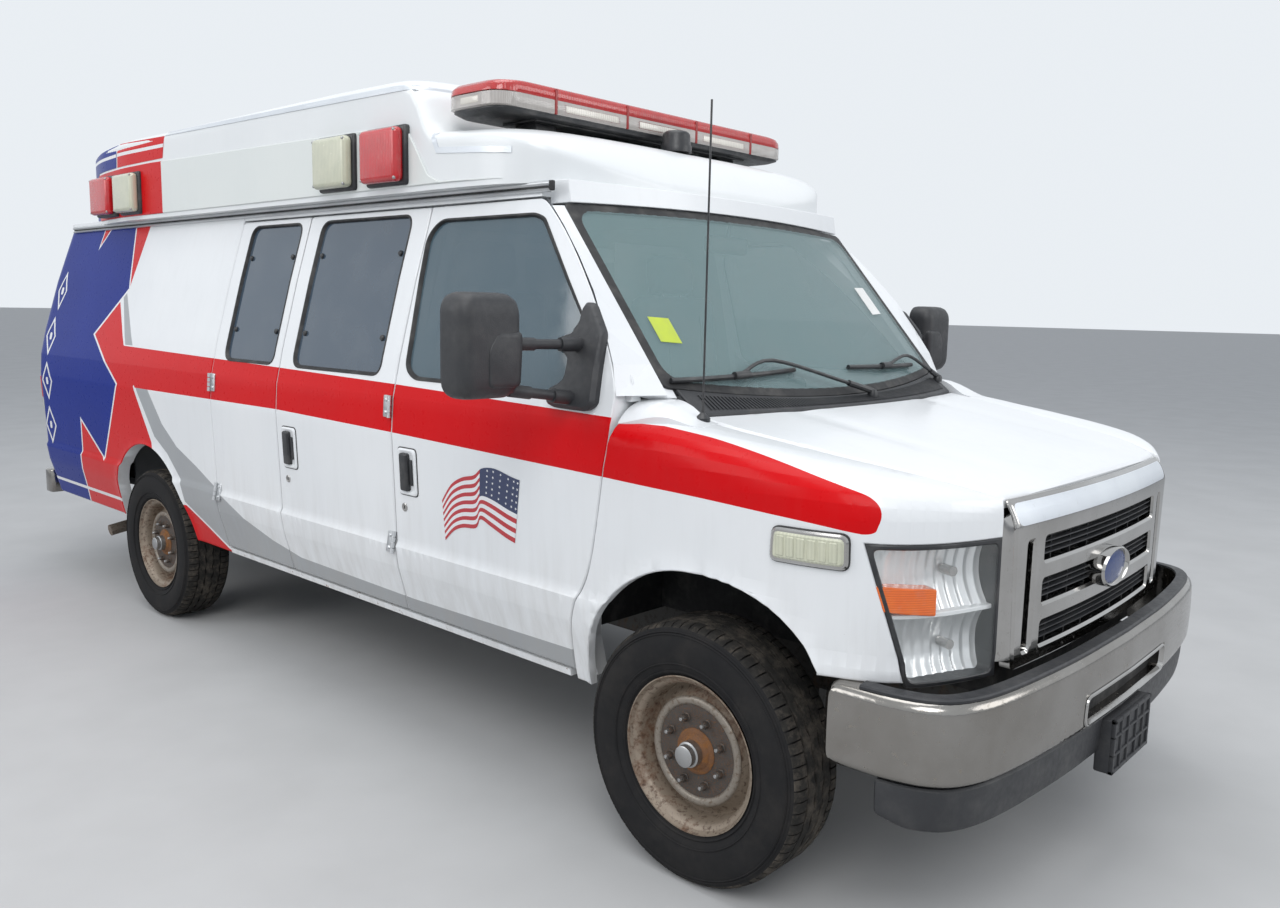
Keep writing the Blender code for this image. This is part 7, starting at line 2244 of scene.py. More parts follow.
def rim_pieces(name, sign, y, middle, body):
    place = wheel_frame(sign, y, middle)
    outer_face = [
        (0.660, 0.560), (0.700, 0.470), (0.760, 0.290), (0.815, 0.165), (0.850, 0.140),
        (0.868, 0.200), (0.878, 0.420), (0.888, 0.640), (0.905, 0.760), (0.940, 0.830),
        (0.975, 0.870), (1.000, 0.925), (1.016, 0.985),
    ]
    back = [
        (0.868, 0.300), (0.868, -0.340), (0.947, -0.830), (1.000, -1.000), (0.880, -1.000),
        (0.835, -0.020), (0.640, 0.400),
    ]
    loop = outer_face[:-1] + [(1.016, 0.995), (1.0, 1.0)] + [(0.980, 0.900), (0.947, 0.800)] + back
    piece(
        f"rim_barrel_{name}", lathe(scaled(loop), place, 96), body, WHEEL,
        f"rim_{name}", angle=math.radians(50),
    )
    ring = [
        (0.560, 0.535), (0.575, 0.585), (0.590, 0.612), (0.615, 0.622), (0.640, 0.612),
        (0.662, 0.580), (0.672, 0.535), (0.640, 0.400), (0.560, 0.400),
    ]
    ring = [(r * 1.06, a) for r, a in ring]
    piece(
        f"rim_ring_{name}", lathe(scaled(ring), place, 96), body, RIM_PALE,
        angle=math.radians(50),
    )
    disc = [
        (0.255, 0.40), (0.600, 0.40), (0.600, 0.545), (0.540, 0.560), (0.430, 0.548),
        (0.330, 0.560), (0.255, 0.560),
    ]
    piece(f"rim_disc_{name}", lathe(scaled(disc), place, 64), body, HUB)
    crown = [
        (0.165, 0.40), (0.300, 0.40), (0.300, 0.575), (0.285, 0.610), (0.235, 0.620),
        (0.205, 0.700), (0.165, 0.720),
    ]
    piece(f"hub_ring_{name}", lathe(scaled(crown), place, 48), body, RUST)
    nose = [
        (0.0, 1.165), (0.120, 1.165), (0.138, 1.140), (0.142, 0.960), (0.165, 0.935),
        (0.168, 0.600), (0.0, 0.600),
    ]
    piece(f"hub_nose_{name}", lathe(scaled(nose), place, 32), body, STEEL)
    nuts, studs = [], []
    for i in range(8):
        angle = 2 * math.pi * (i + 0.5) / 8
        a, b = 0.440 * RIM_RADIUS * math.cos(angle), 0.440 * RIM_RADIUS * math.sin(angle)
        spot = lambda p, q, c, a=a, b=b: place(a + p, b + q, c)
        base = 0.540 * RIM_WIDTH / 2
        nuts.append(lathe(
            [
                (0.0, base), (0.0145, base), (0.0145, base + 0.003), (0.0115, base + 0.005),
                (0.0115, base + 0.017), (0.0095, base + 0.020), (0.0, base + 0.020),
            ],
            spot,
            6,
        ))
        studs.append(lathe(
            [
                (0.0, base), (0.0062, base), (0.0062, base + 0.027), (0.005, base + 0.029),
                (0.0, base + 0.029),
            ],
            spot,
            10,
        ))
    piece(f"wheel_nuts_{name}", nuts, body, HUB)
    piece(f"wheel_studs_{name}", studs, body, STEEL)
    valve = wire(
        [
            place(0.86 * RIM_RADIUS * math.cos(2.2), 0.86 * RIM_RADIUS * math.sin(2.2), 0.014),
            place(0.80 * RIM_RADIUS * math.cos(2.2), 0.80 * RIM_RADIUS * math.sin(2.2), 0.040),
        ],
        0.004,
        8,
    )
    piece(f"valve_{name}", valve, body, SATIN)


def wheels():
    for name, sign, y, middle in wheel_places():
        body = f"wheel_{name}"
        place = wheel_frame(sign, y, middle)
        piece(
            f"tyre_side_{name}", tyre_meshes(place), body, RUBBER,
            f"tyre_{name}", angle=math.radians(60),
        )
        piece(
            f"tyre_tread_{name}", tread_meshes(place), body, TREAD,
            angle=math.radians(25),
        )
        rim_pieces(name, sign, y, middle, body)


wheels()


# Cab, load space and the parts kept from the CAD


def dress(names, look, bevel=0.0):
    # A finish, and softened edges, for solids that stay as the CAD made them.
    for name in [names] if isinstance(names, str) else names:
        made = bpy.data.objects[name]
        made.data.materials.clear()
        made.data.materials.append(look)
        made.data.shade_smooth()
        made.data.set_sharp_from_angle(angle=math.radians(35))
        if bevel:
            weld = made.modifiers.new("weld", "WELD")
            weld.merge_threshold = 0.0002
            edge = made.modifiers.new("edges", "BEVEL")
            edge.width, edge.segments, edge.limit_method = bevel, 2, "ANGLE"
            edge.angle_limit = math.radians(38)
            edge.use_clamp_overlap = True


def kept_solids():
    dress(["body_frame_right", "body_frame_left", "rear_frame"], WHITE)
    dress(
        ["chassis_frame", "front_axle_beams", "knuckle_right", "knuckle_left", "rear_axle"],
        UNDER,
    )
    dress("exhaust", PIPE)
    dress("fuel_tank", BLACK, 0.02)
    dress("engine_block", UNDER, 0.008)
    dress("front_inner_body", DARK)
    dress("floor_pan", FLOOR)
    dress("cabinets", CABINET)
    dress("dashboard", TRIM)
    # The rear bumper's chrome carries the same painted reflection of the ground.
    dress("rear_bumper", BUMPER_CHROME, 0.012)
    dress("whip_antenna", SATIN)


def seats():
    half = SEAT_WIDTH / 2
    pad = SEAT_DEPTH * 0.26
    lean = SEAT_DEPTH * 0.16
    for side, sign in SIDES:
        middle = sign * SEAT_X
        front, rear, top = SEAT_FRONT_Y, SEAT_FRONT_Y + SEAT_DEPTH, CUSHION_TOP_Z
        cushion = soft_box(
            (middle - half, front, top - pad), (middle + half, rear - 0.02, top - 0.004), 0.045, 5,
        )
        made = piece(f"seat_cushion_{side}", cushion, "body", CLOTH, f"seat_{side}")
        turn = math.atan2(lean, BACK_TOP_Z - top)
        about = Matrix.Translation((0, rear, top - pad / 2)) @ Matrix.Rotation(-turn, 4, "X")
        height = (BACK_TOP_Z - top + pad / 2) / math.cos(turn)
        back = moved(
            soft_box(
                (middle - half * 0.95, -pad * 0.85, 0.0), (middle + half * 0.95, 0.0, height),
                0.045, 5,
            ),
            about,
        )
        made = piece(f"seat_back_{side}", back, "body", CLOTH)
        rest = moved(
            soft_box(
                (middle - half * 0.5, -pad * 0.72, height + 0.015),
                (middle + half * 0.5, -0.01, height + 0.185),
                0.035,
                5,
            ),
            about,
        )
        made = piece(f"seat_rest_{side}", rest, "body", CLOTH)
        posts = [
            wire(
                [
                    about @ Vector((middle + x, -pad * 0.4, height - 0.04)),
                    about @ Vector((middle + x, -pad * 0.4, height + 0.05)),
                ],
                0.006,
            )
            for x in (-0.06, 0.06)
        ]
        piece(f"seat_posts_{side}", posts, "body", CHROME)
        base = soft_box(
            (middle - half * 0.7, front + pad, FLOOR_PLATE_Z),
            (middle + half * 0.7, rear - pad, top - pad * 0.9),
            0.015,
        )
        piece(f"seat_base_{side}", base, "body", BLACK)
        seams = []
        for x in (-0.115, 0.115):
            line = [
                about @ Vector((middle + x, -pad * 0.85 - 0.001, z))
                for z in evenly(0.05, height - 0.04, 0.06)
            ]
            seams.append(wire(line, 0.0028, 6))
            line = [
                Vector((middle + x, y, top - 0.003))
                for y in evenly(front + 0.045, rear - 0.08, 0.06)
            ]
            seams.append(wire(line, 0.0028, 6))
        piece(f"seat_seams_{side}", seams, "body", SEAL)


FLOOR_PLATE_Z = 0.6356


def bench_and_cabinets():
    outer, inner = -(HOUSING_INNER_X - SEAT_GAP), -(HOUSING_INNER_X - CABINET_DEPTH)
    low = soft_box(
        (outer, BENCH_FRONT_Y, FLOOR_PLATE_Z), (inner, CABINET_REAR_Y, BENCH_TOP_Z - 0.10), 0.006,
    )
    piece("bench_box", low, "body", CABINET, "squad_bench")
    wall = -(half_width(BENCH_TOP_Z) - DOOR_DEPTH - EDGE_TRIM * 8)
    third = (CABINET_REAR_Y - BENCH_FRONT_Y) / 3
    for i in range(3):
        start = BENCH_FRONT_Y + third * i
        top = soft_box(
            (wall, start + 0.006, BENCH_TOP_Z - 0.105),
            (inner - 0.004, start + third - 0.006, BENCH_TOP_Z - 0.008),
            0.028,
            4,
        )
        made = piece(f"bench_pad_{i}", top, "body", VINYL)
    wall = half_width(CABINET_TOP_Z) - FRAME_DEEP - EDGE_TRIM
    face = wall - CABINET_DEPTH * 0.8
    doors, pulls = [], []
    for i in range(4):
        start = BULKHEAD_Y + 0.10 + i * 0.72
        for low_z, high_z in ((0.98, 1.38), (1.42, 1.84)):
            doors.append(soft_box(
                (face - 0.008, start, low_z), (face + 0.004, start + 0.68, high_z), 0.003, 1,
            ))
            pulls.append(soft_box(
                (face - 0.020, start + 0.30, low_z + 0.03),
                (face - 0.006, start + 0.38, low_z + 0.045),
                0.003,
                1,
            ))
    piece("cabinet_doors", doors, "body", CABINET_DARK)
    piece("cabinet_pulls", pulls, "body", ALLOY)


HOUSING_INNER_X = 0.665
CABINET_DEPTH = 0.420
CABINET_REAR_Y = 4.500
CABINET_TOP_Z = 1.880
BENCH_FRONT_Y = 2.860
BENCH_TOP_Z = 1.080
BULKHEAD_Y = 1.500
FRAME_DEEP = 0.0903
CABINET_DARK = plastic_look("cabinet_door", (0.42, 0.44, 0.45), (0.48, 0.50, 0.51), 0.3, 900.0, 0.0001)
DASH_TOP_Z = 1.275
DASH_REAR_Y = 0.760


def dash_details():
    vents = []
    for x in (-0.62, -0.16, 0.16, 0.70):
        for k in range(4):
            z = DASH_TOP_Z - 0.060 - k * 0.010
            vents.append(soft_box(
                (x - 0.05, DASH_REAR_Y - 0.004, z),
                (x + 0.05, DASH_REAR_Y + 0.003, z + 0.004),
                0.001,
                1,
            ))
    vents.append(soft_box((-0.13, DASH_REAR_Y - 0.002, 1.03), (0.13, DASH_REAR_Y + 0.006, 1.15), 0.006))
    vents.append(soft_box(
        (0.34, DASH_REAR_Y - 0.03, DASH_TOP_Z - 0.012),
        (0.66, DASH_REAR_Y + 0.004, DASH_TOP_Z + 0.040),
        0.02,
        3,
    ))
    piece("dash_vents", vents, "body", BLACK)
    mirror = soft_box((-0.12, 0.66, 1.800), (0.12, 0.695, 1.865), 0.018, 4)
    piece("inside_mirror", mirror, "body", BLACK)
    piece(
        "inside_mirror_stem",
        wire([(0.0, 0.675, 1.850), (0.0, 0.660, 1.905)], 0.008),
        "body",
        BLACK,
    )


kept_solids()
seats()
bench_and_cabinets()
dash_details()


# Mirrors, handles, hinges, wipers, lamps and decals


def mirrors():
    for side, sign in SIDES:
        outline = [
            (
                0.355, 1.318,
            ), (0.385, 1.298), (0.520, 1.300), (0.560, 1.312), (0.562, 1.350), (0.505, 1.378), (0.492, 1.420),
            (
                0.502, 1.452,
            ), (0.550, 1.470), (0.552, 1.505), (0.500, 1.520), (0.478, 1.560), (0.468, 1.612), (0.435, 1.605), (0.368, 1.520),
        ]
        outer = lambda along, z, sign=sign: side_point(sign, along, z, -0.030)
        inner = lambda along, z, sign=sign: side_point(sign, along, z, -SEAT_GAP)
        base = skin(rounded(outline, 0.014, 4), [], outer, inner, 0.02, (), 0.012)
        body = f"front_door_{side}"
        piece(f"mirror_base_{side}", base, body, BLACK, f"mirror_{side}")
        middle = sign * (HALF_WIDTH + MIRROR_OUT)
        half, deep, mid = MIRROR_WIDTH / 2, MIRROR_DEPTH / 2, MIRROR_HEIGHT / 2
        corners = [(-half, 0.0), (half, 0.0), (half, MIRROR_HEIGHT), (-half, MIRROR_HEIGHT)]
        face = rounded(corners, half * 0.55, 8)
        rings = []
        rows = (
            (-1.0, 0.60), (-0.96, 0.74), (-0.84, 0.86), (-0.62, 0.94), (-0.30, 0.985),
            (0.15, 1.0), (0.70, 1.0), (0.92, 0.985), (1.0, 0.955), (0.985, 0.93), (0.86, 0.915),
        )
        for share, scale in rows:
            y = MIRROR_Y + deep * share
            rings.append([
                (middle + x * scale, y, MIRROR_LOW_Z + mid + (z - mid) * scale)
                for x, z in face
            ])
        piece(f"mirror_head_{side}", loft(rings), body, BLACK, angle=math.radians(60))
        # A raised cover on the inner lower part of the shell
        low, high = -half * 0.20, half * 0.99
        cover = [
            (low, 0.030), (high * 0.90, 0.030), (high * 0.96, 0.160), (high * 0.94, 0.185),
            (low + 0.035, 0.185), (low, 0.140),
        ]
        cover = rounded([(x * -sign, z) for x, z in cover], 0.022, 5)
        shell = [
            [
                (middle + x * scale, MIRROR_Y + deep * y, MIRROR_LOW_Z + 0.105 + (z - 0.105) * scale)
                for x, z in cover
            ]
            for y, scale in ((-0.35, 1.0), (-0.80, 1.0), (-0.97, 0.965), (-1.04, 0.92), (-1.07, 0.80))
        ]
        piece(f"mirror_cover_{side}", loft(shell), body, BLACK, angle=math.radians(60))
        glass = []
        for low, high in ((0.10, 0.36), (0.40, 0.90)):
            outline = rounded(
                [
                    (-half * 0.84, MIRROR_HEIGHT * low), (half * 0.84, MIRROR_HEIGHT * low),
                    (half * 0.84, MIRROR_HEIGHT * high), (-half * 0.84, MIRROR_HEIGHT * high),
                ],
                0.020,
                5,
            )
            place = lambda a, b, c: Vector((middle + a, MIRROR_Y + deep * 0.84 + c, MIRROR_LOW_Z + b))
            glass.append(extruded(outline, place, 0.0, 0.006))
        piece(f"mirror_glass_{side}", glass, body, MIRROR_FACE)
        arms = []
        for base_z, head_z in ((1.333, 1.362), (1.487, 1.490)):
            start = side_point(sign, 0.450, base_z, -0.018)
            end = Vector((middle - sign * half * 0.7, MIRROR_Y - 0.004, head_z))
            route = [start.lerp(end, step / 8) for step in range(9)]
            arms.append(wire(route, 0.0145, 16))
            arms.append(wire([route[0], route[0].lerp(end, 0.30)], 0.0205, 16))
            arms.append(wire([end.lerp(start, 0.36), end.lerp(start, 0.05)], 0.0185, 16))
        piece(f"mirror_arms_{side}", arms, body, BLACK)


def oval_place(sign, y, z, out=0.0):
    centre = side_point(sign, y, z, -out)
    ahead = (side_point(sign, y + 0.02, z) - side_point(sign, y - 0.02, z)).normalized()
    up = (side_point(sign, y, z + 0.02) - side_point(sign, y, z - 0.02)).normalized()
    normal = Vector((sign, 0, 0)) - up * up.x * sign
    normal.normalize()
    return lambda a, b, c: centre + ahead * a + up * b + normal * c


def dish(place, wide, tall, radius, rows, sides=8):
    # A closed rounded plate: rows hold (inset, height) from its foot to its middle.
    corners = [
        (-wide / 2, -tall / 2), (wide / 2, -tall / 2), (wide / 2, tall / 2), (-wide / 2, tall / 2),
    ]
    rings = []
    for inset, height in rows:
        scale_a, scale_b = 1 - 2 * inset / wide, 1 - 2 * inset / tall
        rings.append([
            tuple(place(a * scale_a, b * scale_b, height))
            for a, b in rounded(corners, radius, sides)
        ])
    return loft(rings)


def handle(name, sign, y, z, body):
    place = oval_place(sign, y, z)
    gasket = dish(place, 0.112, 0.172, 0.020, ((0.0, -0.001), (0.0, 0.0016), (0.002, 0.0020)))
    piece(f"handle_gasket_{name}", gasket, body, SEAL)
    rim = dish(
        place,
        0.106,
        0.166,
        0.018,
        (
            (0.0, 0.0), (0.001, 0.0050), (0.006, 0.0085), (0.012, 0.0075), (0.020, 0.0035),
            (0.034, 0.0032),
        ),
    )
    piece(f"handle_dish_{name}", rim, body, WHITE)
    paddle = dish(
        lambda a,
        b,
        c: place(a + 0.006, b, c),
        0.044,
        0.134,
        0.008,
        ((0.0, 0.0), (0.0, 0.014), (0.002, 0.018), (0.006, 0.020)),
    )
    pivot = dish(
        lambda a,
        b,
        c: place(a - 0.024, b, c),
        0.018,
        0.090,
        0.004,
        ((0.0, 0.0), (0.0, 0.008), (0.002, 0.010)),
    )
    piece(f"handle_paddle_{name}", [paddle, pivot], body, SATIN)
    spot = oval_place(sign, y + 0.030, z - 0.130)
    lock = lathe(
        [
            (0.0, -0.001), (0.0155, -0.001), (0.0155, 0.002), (0.0135, 0.0035),
            (0.0095, 0.0035), (0.009, 0.0022), (0.0, 0.0022),
        ],
        spot,
        24,
    )
    # The lock's slit is a near-black patch, as painted shade of the keyhole.
    slit = dish(lambda a, b, c: spot(a, b, c), 0.004, 0.012, 0.001, ((0.0, 0.001), (0.0, 0.0030)), 2)
    piece(f"lock_{name}", lock, body, CHROME)
    piece(f"lock_slit_{name}", slit, body, DARK)


def hinge(name, sign, y, z, body, way=1):
    place = oval_place(sign, y, z)
    plate = dish(
        lambda a,
        b,
        c: place(a + way * 0.020, b, c),
        0.040,
        0.078,
        0.006,
        ((0.0, -0.001), (0.0, 0.004), (0.002, 0.006)),
    )
    barrel = []
    for k in range(4):
        low, high = -0.040 + k * 0.0205, -0.040 + k * 0.0205 + 0.0175
        ends = [place(-way * 0.002, low, 0.008), place(-way * 0.002, high, 0.008)]
        barrel.append(wire(ends, 0.0085, 12))
    bolts = [
        lathe(
            [(0.0, 0.0), (0.007, 0.0), (0.007, 0.009), (0.0, 0.011)],
            (lambda a, b, c, h=h: place(a + way * 0.024, b + h, c)),
            6,
        )
        for h in (-0.022, 0.022)
    ]
    piece(f"hinge_{name}", [plate, *barrel, *bolts], body, ALLOY)


def patch(
    name, sign, corners, radius, depths, look, lip=0.004, areas=(), surface=None,
    step=0.03, body="body",
):
    # A thin shape that lies on a curved panel, between two heights over it.
    point = surface or (lambda u, v, d: side_point(sign, u, v, d))
    top, foot = depths
    outline = rounded(corners, radius, 5) if radius else corners
    mesh = skin(
        outline, [], lambda u, v: point(u, v, -top), lambda u, v: point(u, v, -foot), step,
        areas, lip,
    )
    return piece(name, mesh, body, look)


def fender_lamps():
    for side, sign in SIDES:
        surface = lambda run, z, d, sign=sign: fender_point(sign, run, z, d)
        low, high = nose_run(-0.472), nose_run(-0.262)
        outline = [(low, 0.979), (high, 0.977), (high - 0.008, 1.071), (low, 1.073)]
        steps = (
            ("gasket", 0.0, 0.024, (0.006, -0.001), SEAL, "black_trim", 0.002),
            ("rim", 0.003, 0.022, (0.014, 0.002), CHROME, "bright_chrome", 0.005),
            ("lens", 0.013, 0.014, (0.019, 0.008), CREAM, "lamp_lens", 0.005),
        )
        for part, inset, radius, depths, look, slot, lip in steps:
            shape = moved_in(outline, inset) if inset else outline
            patch(
                f"fender_lamp_{part}_{side}", sign, shape, radius, depths, look, lip,
                surface=surface,
            )
        facets = []
        for i in range(6):
            start = mix(low + 0.024, high - 0.026, i / 6)
            cell = [
                (start + 0.003, 0.999), (start + 0.024, 0.999), (start + 0.024, 1.050),
                (start + 0.003, 1.050),
            ]
            facets.append(skin(
                rounded(cell, 0.004, 3), [], lambda u, v: surface(u, v, -0.0215), lambda u,
                v: surface(u, v, -0.017), 0.03, (), 0.002,
            ))
        piece(f"fender_lamp_cells_{side}", facets, "body", CREAM)


def fender_caps():
    # The fender's rear end rises to meet the windscreen pillar and the cowl.
    for side, sign in SIDES:

        def outer(run, height, sign=sign):
            low = shoulder_z(run) + SHOULDER_RUN * 0.45
            share = clamp((height - low) / (SHOULDER_RUN * 0.55))
            rise = clamp((run - 0.93) / 0.17)
            rise = rise * rise * (3 - 2 * rise)
            return fender_point(sign, run, height) + Vector((
                0,
                0,
                0.0006 + 0.044 * rise * math.sin(share * math.pi / 2),
            ))

        inner = lambda run, height, sign=sign: fender_point(sign, run, height, 0.002)
        edge = nose_run(DOOR_FRONT_Y - PANEL_GAP)
        outline = [
            (0.92, shoulder_z(0.92) + SHOULDER_RUN),
            (edge, shoulder_z(edge) + SHOULDER_RUN),
            (edge, shoulder_z(edge) + SHOULDER_RUN * 0.46),
            (0.92, shoulder_z(0.92) + SHOULDER_RUN * 0.8),
        ]
        mesh = skin(resampled(outline, 0.03), [], outer, inner, 0.025, (), 0.0)
        piece(f"fender_cap_{side}", mesh, "body", WHITE)


def on_screen(x, up, out=0.0):
    return screen_point(x / SCREEN_BASE_HALF, up, -out)


def wipers():
    # Each row: pivot, blade ends and arm bend, across the screen and up it.
    rows = (
        (0.10, (-0.800, 0.030), (-0.231, 0.128), (-0.350, 0.150), (-0.504, 0.092)),
        (0.76, (0.099, 0.132), (0.613, 0.082), (0.566, 0.125), (0.400, 0.112)),
    )
    for number, (pivot_x, left, right, bend, hold) in enumerate(rows):
        foot = screen_foot_y(pivot_x) - 0.040
        pivot = Vector((pivot_x, foot, cowl_z(pivot_x, foot)))
        cap = lathe(
            [(0.0, 0.0), (0.017, 0.0), (0.017, 0.018), (0.012, 0.026), (0.0, 0.028)],
            lambda a,
            b,
            c: pivot + Vector((a, b, c)),
            20,
        )
        bend, hold = on_screen(*bend, 0.034), on_screen(*hold, 0.022)
        path = eased(
            [pivot + Vector((0, 0, 0.020)), pivot.lerp(bend, 0.35) + Vector((0, 0, 0.016)), bend, hold],
            5,
        )
        parts = [cap, wire(path, 0.0062, 8), wire([path[0], path[4]], 0.0105, 8)]
        route = [
            (mix(left[0], right[0], step / 14), mix(left[1], right[1], step / 14))
            for step in range(15)
        ]
        parts.append(wire([on_screen(x, up, 0.004) for x, up in route], 0.0034, 6))
        parts.append(wire(
            [
                on_screen(x, up, 0.0095 + 0.006 * math.sin(math.pi * i / 14))
                for i, (x, up) in enumerate(route)
            ],
            0.0082,
            8,
        ))
        clip = [
            on_screen(mix(left[0], right[0], share), mix(left[1], right[1], share), 0.020)
            for share in (0.44, 0.56)
        ]
        parts.append(wire(clip, 0.013, 10))
        piece(f"wiper_{number}", parts, "body", SATIN)


FLAG_TOP = (
    (0.679, 1.060), (0.72, 1.066), (0.80, 1.082), (0.864, 1.075), (0.905, 1.048),
    (0.970, 1.032), (1.030, 1.000), (1.082, 0.940),
)
FLAG_LOW = (
    (0.711, 0.854), (0.76, 0.866), (0.83, 0.890), (0.880, 0.905), (0.905, 0.872),
    (0.975, 0.862), (1.025, 0.842), (1.072, 0.803),
)


def flag():
    columns = 35
    top, low = eased(FLAG_TOP, 5), eased(FLAG_LOW, 5)
    points, faces, looks = [], [], []
    for i in range(columns + 1):
        place = i / columns * (len(top) - 1)
        k, t = min(int(place), len(top) - 2), place - min(int(place), len(top) - 2)
        a = Vector(top[k]).lerp(Vector(top[k + 1]), t)
        b = Vector(low[k]).lerp(Vector(low[k + 1]), t)
        for row in range(27):
            spot = a.lerp(b, row / 26)
            points.append(side_point(-1, spot.x, spot.y, -0.0012))
    for i in range(columns):
        for row in range(26):
            first = i * 27 + row
            faces.append((first, first + 27, first + 28, first + 1))
            canton = i < columns * 0.43 and row < 14
            looks.append(2 if canton else (0 if (row // 2) % 2 == 0 else 1))
    bm = bmesh.new()
    vertices = [bm.verts.new(p) for p in points]
    for face, look in zip(faces, looks):
        bm.faces.new([vertices[i] for i in face]).material_index = look
    bmesh.ops.recalc_face_normals(bm, faces=bm.faces)
    mesh = bpy.data.meshes.new("flag")
    bm.to_mesh(mesh)
    bm.free()
    piece("flag_decal", mesh, "front_door_right", [FLAG_RED, LINE, FLAG_BLUE])
    stars = []
    for i in range(6):
        for row in range(5):
            place = (i + 0.6) / 6.6 * 0.42 * (len(top) - 1)
            k, t = int(place), place - int(place)
            a = Vector(top[k]).lerp(Vector(top[k + 1]), t)
            b = Vector(low[k]).lerp(Vector(low[k + 1]), t)
            spot = a.lerp(b, (row + 0.55) / 5.2 * 0.53)
            centre = oval_place(-1, spot.x, spot.y, 0.0014)
            rim = [
                centre(
                    (0.0052 if n % 2 else 0.0022) * math.sin(math.pi * n / 5),
                    (0.0052 if n % 2 else 0.0022) * math.cos(math.pi * n / 5),
                    0.0,
                )
                for n in range(10)
            ]
            stars.append(mesh_from(rim, [tuple(range(10))]))
    piece("flag_stars", stars, "front_door_right", LINE)


def stickers():
    screen = lambda u, v, d: screen_point(u / SCREEN_BASE_HALF, v, d)
    patch(
        "screen_sticker_low",
        1,
        [(-0.745, 0.245), (-0.665, 0.245), (-0.665, 0.375), (-0.745, 0.375)],
        0.0,
        (0.0012, 0.0002),
        STICKER,
        0.0,
        surface=screen,
    )
    patch(
        "screen_sticker_high",
        1,
        [(0.60, 0.42), (0.69, 0.42), (0.69, 0.60), (0.60, 0.60)],
        0.0,
        (0.0012, 0.0002),
        PAPER,
        0.0,
        surface=screen,
    )
    shield = [
        (5.035, 0.925), (5.070, 0.945), (5.105, 0.925), (5.110, 0.840), (5.072, 0.785),
        (5.032, 0.840),
    ]
    patch("corner_sticker", -1, shield, 0.008, (0.0015, 0.0002), PAPER, 0.0)


def emblem():
    # A plain pattern on the blue: four pale outlined diamonds, one over the other.
    shapes = []
    for number in range(4):
        z, tall, wide = 0.86 + number * 0.255, 0.110, 0.085 - 0.006 * number
        y = 4.800 - 0.012 * number
        ring = [(y - wide, z), (y, z - tall), (y + wide, z), (y, z + tall)]
        inner = moved_in(ring, 0.014)
        shapes.append(skin(
            resampled(ring, 0.03), [inner], lambda u, v: side_point(-1, u, v, -0.0014),
            lambda u, v: side_point(-1, u, v, -0.0003), 0.03, (), 0.0,
        ))
    piece("quarter_emblem", shapes, "body", LINE)
    piece(
        "quarter_emblem_dots",
        [
            dish(
                oval_place(-1, 4.800 - 0.012 * n, 0.86 + n * 0.255, 0.0),
                0.030,
                0.042,
                0.012,
                ((0.0, 0.0003), (0.0, 0.0013)),
            )
            for n in range(4)
        ],
        "body",
        LINE,
    )


def tail_lamps():
    for side, sign in SIDES:
        low, high = SIDE_END_Y + 0.095, SIDE_END_Y + 0.225
        corners = [(low, 0.93), (high, 0.93), (high, 1.14), (low, 1.14)]
        patch(
            f"tail_lamp_base_{side}", sign, corners, 0.012, (0.006, -0.001), SATIN,
            0.003,
        )
        corners = [
            (low + 0.006, 1.005), (high - 0.006, 1.005), (high - 0.006, 1.134), (low + 0.006, 1.134),
        ]
        patch(
            f"tail_lamp_red_{side}", sign, corners, 0.008, (0.016, 0.003), RED_LENS,
            0.006,
        )
        corners = [
            (low + 0.006, 0.936), (high - 0.006, 0.936), (high - 0.006, 1.000), (low + 0.006, 1.000),
        ]
        patch(
            f"tail_lamp_clear_{side}", sign, corners, 0.008, (0.014, 0.003), CREAM,
            0.006,
        )


def rear_fittings():
    for side, sign in SIDES:
        body = f"rear_door_{side}"
        for number, z in enumerate((0.72, 1.22, 1.80)):
            spot = rear_surface(sign, REAR_EDGE_X - 0.085, z, -0.002)
            parts = [soft_box(
                (spot.x - 0.036, spot.y - 0.004, z - 0.028),
                (spot.x + 0.036, spot.y + 0.006, z + 0.028),
                0.004,
            )]
            edge = rear_surface(sign, REAR_EDGE_X - 0.046, z, -0.005)
            parts.append(wire([edge + Vector((0, 0, -0.034)), edge + Vector((0, 0, 0.034))], 0.007, 12))
            piece(f"rear_hinge_{side}_{number}", parts, body, ALLOY)
    spot = rear_surface(-1, 0.075, 1.02, 0.0)
    parts = [soft_box(
        (spot.x - 0.038, spot.y - 0.004, 0.94), (spot.x + 0.038, spot.y + 0.006, 1.10), 0.010, 4,
    )]
    piece("rear_handle_dish", parts, "rear_door_right", WHITE)
    parts = [soft_box(
        (spot.x - 0.018, spot.y, 0.955), (spot.x + 0.018, spot.y + 0.020, 1.085), 0.008, 4,
    )]
    piece("rear_handle", parts, "rear_door_right", SATIN)


FLAG_RED = body_look("flag_red", (0.50, 0.018, 0.030), (0.45, 0.016, 0.026), 0.3, 0.3, False)
FLAG_BLUE = body_look("flag_blue", (0.022, 0.035, 0.105), (0.018, 0.030, 0.090), 0.3, 0.3, False)
mirrors()
for side, sign in SIDES:
    handle(f"front_{side}", sign, 1.272, 1.014, f"front_door_{side}")
    if sign < 0:
        hinge(f"front_high_{side}", sign, B_GAP_Y + 0.006, 1.235, "body", 1)
handle("side_front", -1, LEAF_GAP_Y - 0.100, 1.014, "side_leaf_front")
hinge("side_low", -1, B_GAP_Y + 0.006, 0.745, "side_leaf_front", 1)
hinge("side_rear_high", -1, REAR_GAP_Y - 0.006, 1.235, "side_leaf_rear", -1)
hinge("side_rear_low", -1, REAR_GAP_Y - 0.006, 0.745, "side_leaf_rear", -1)
fender_lamps()
fender_caps()
wipers()
flag()
stickers()
emblem()
tail_lamps()
rear_fittings()


# Floor, backdrop, light and camera


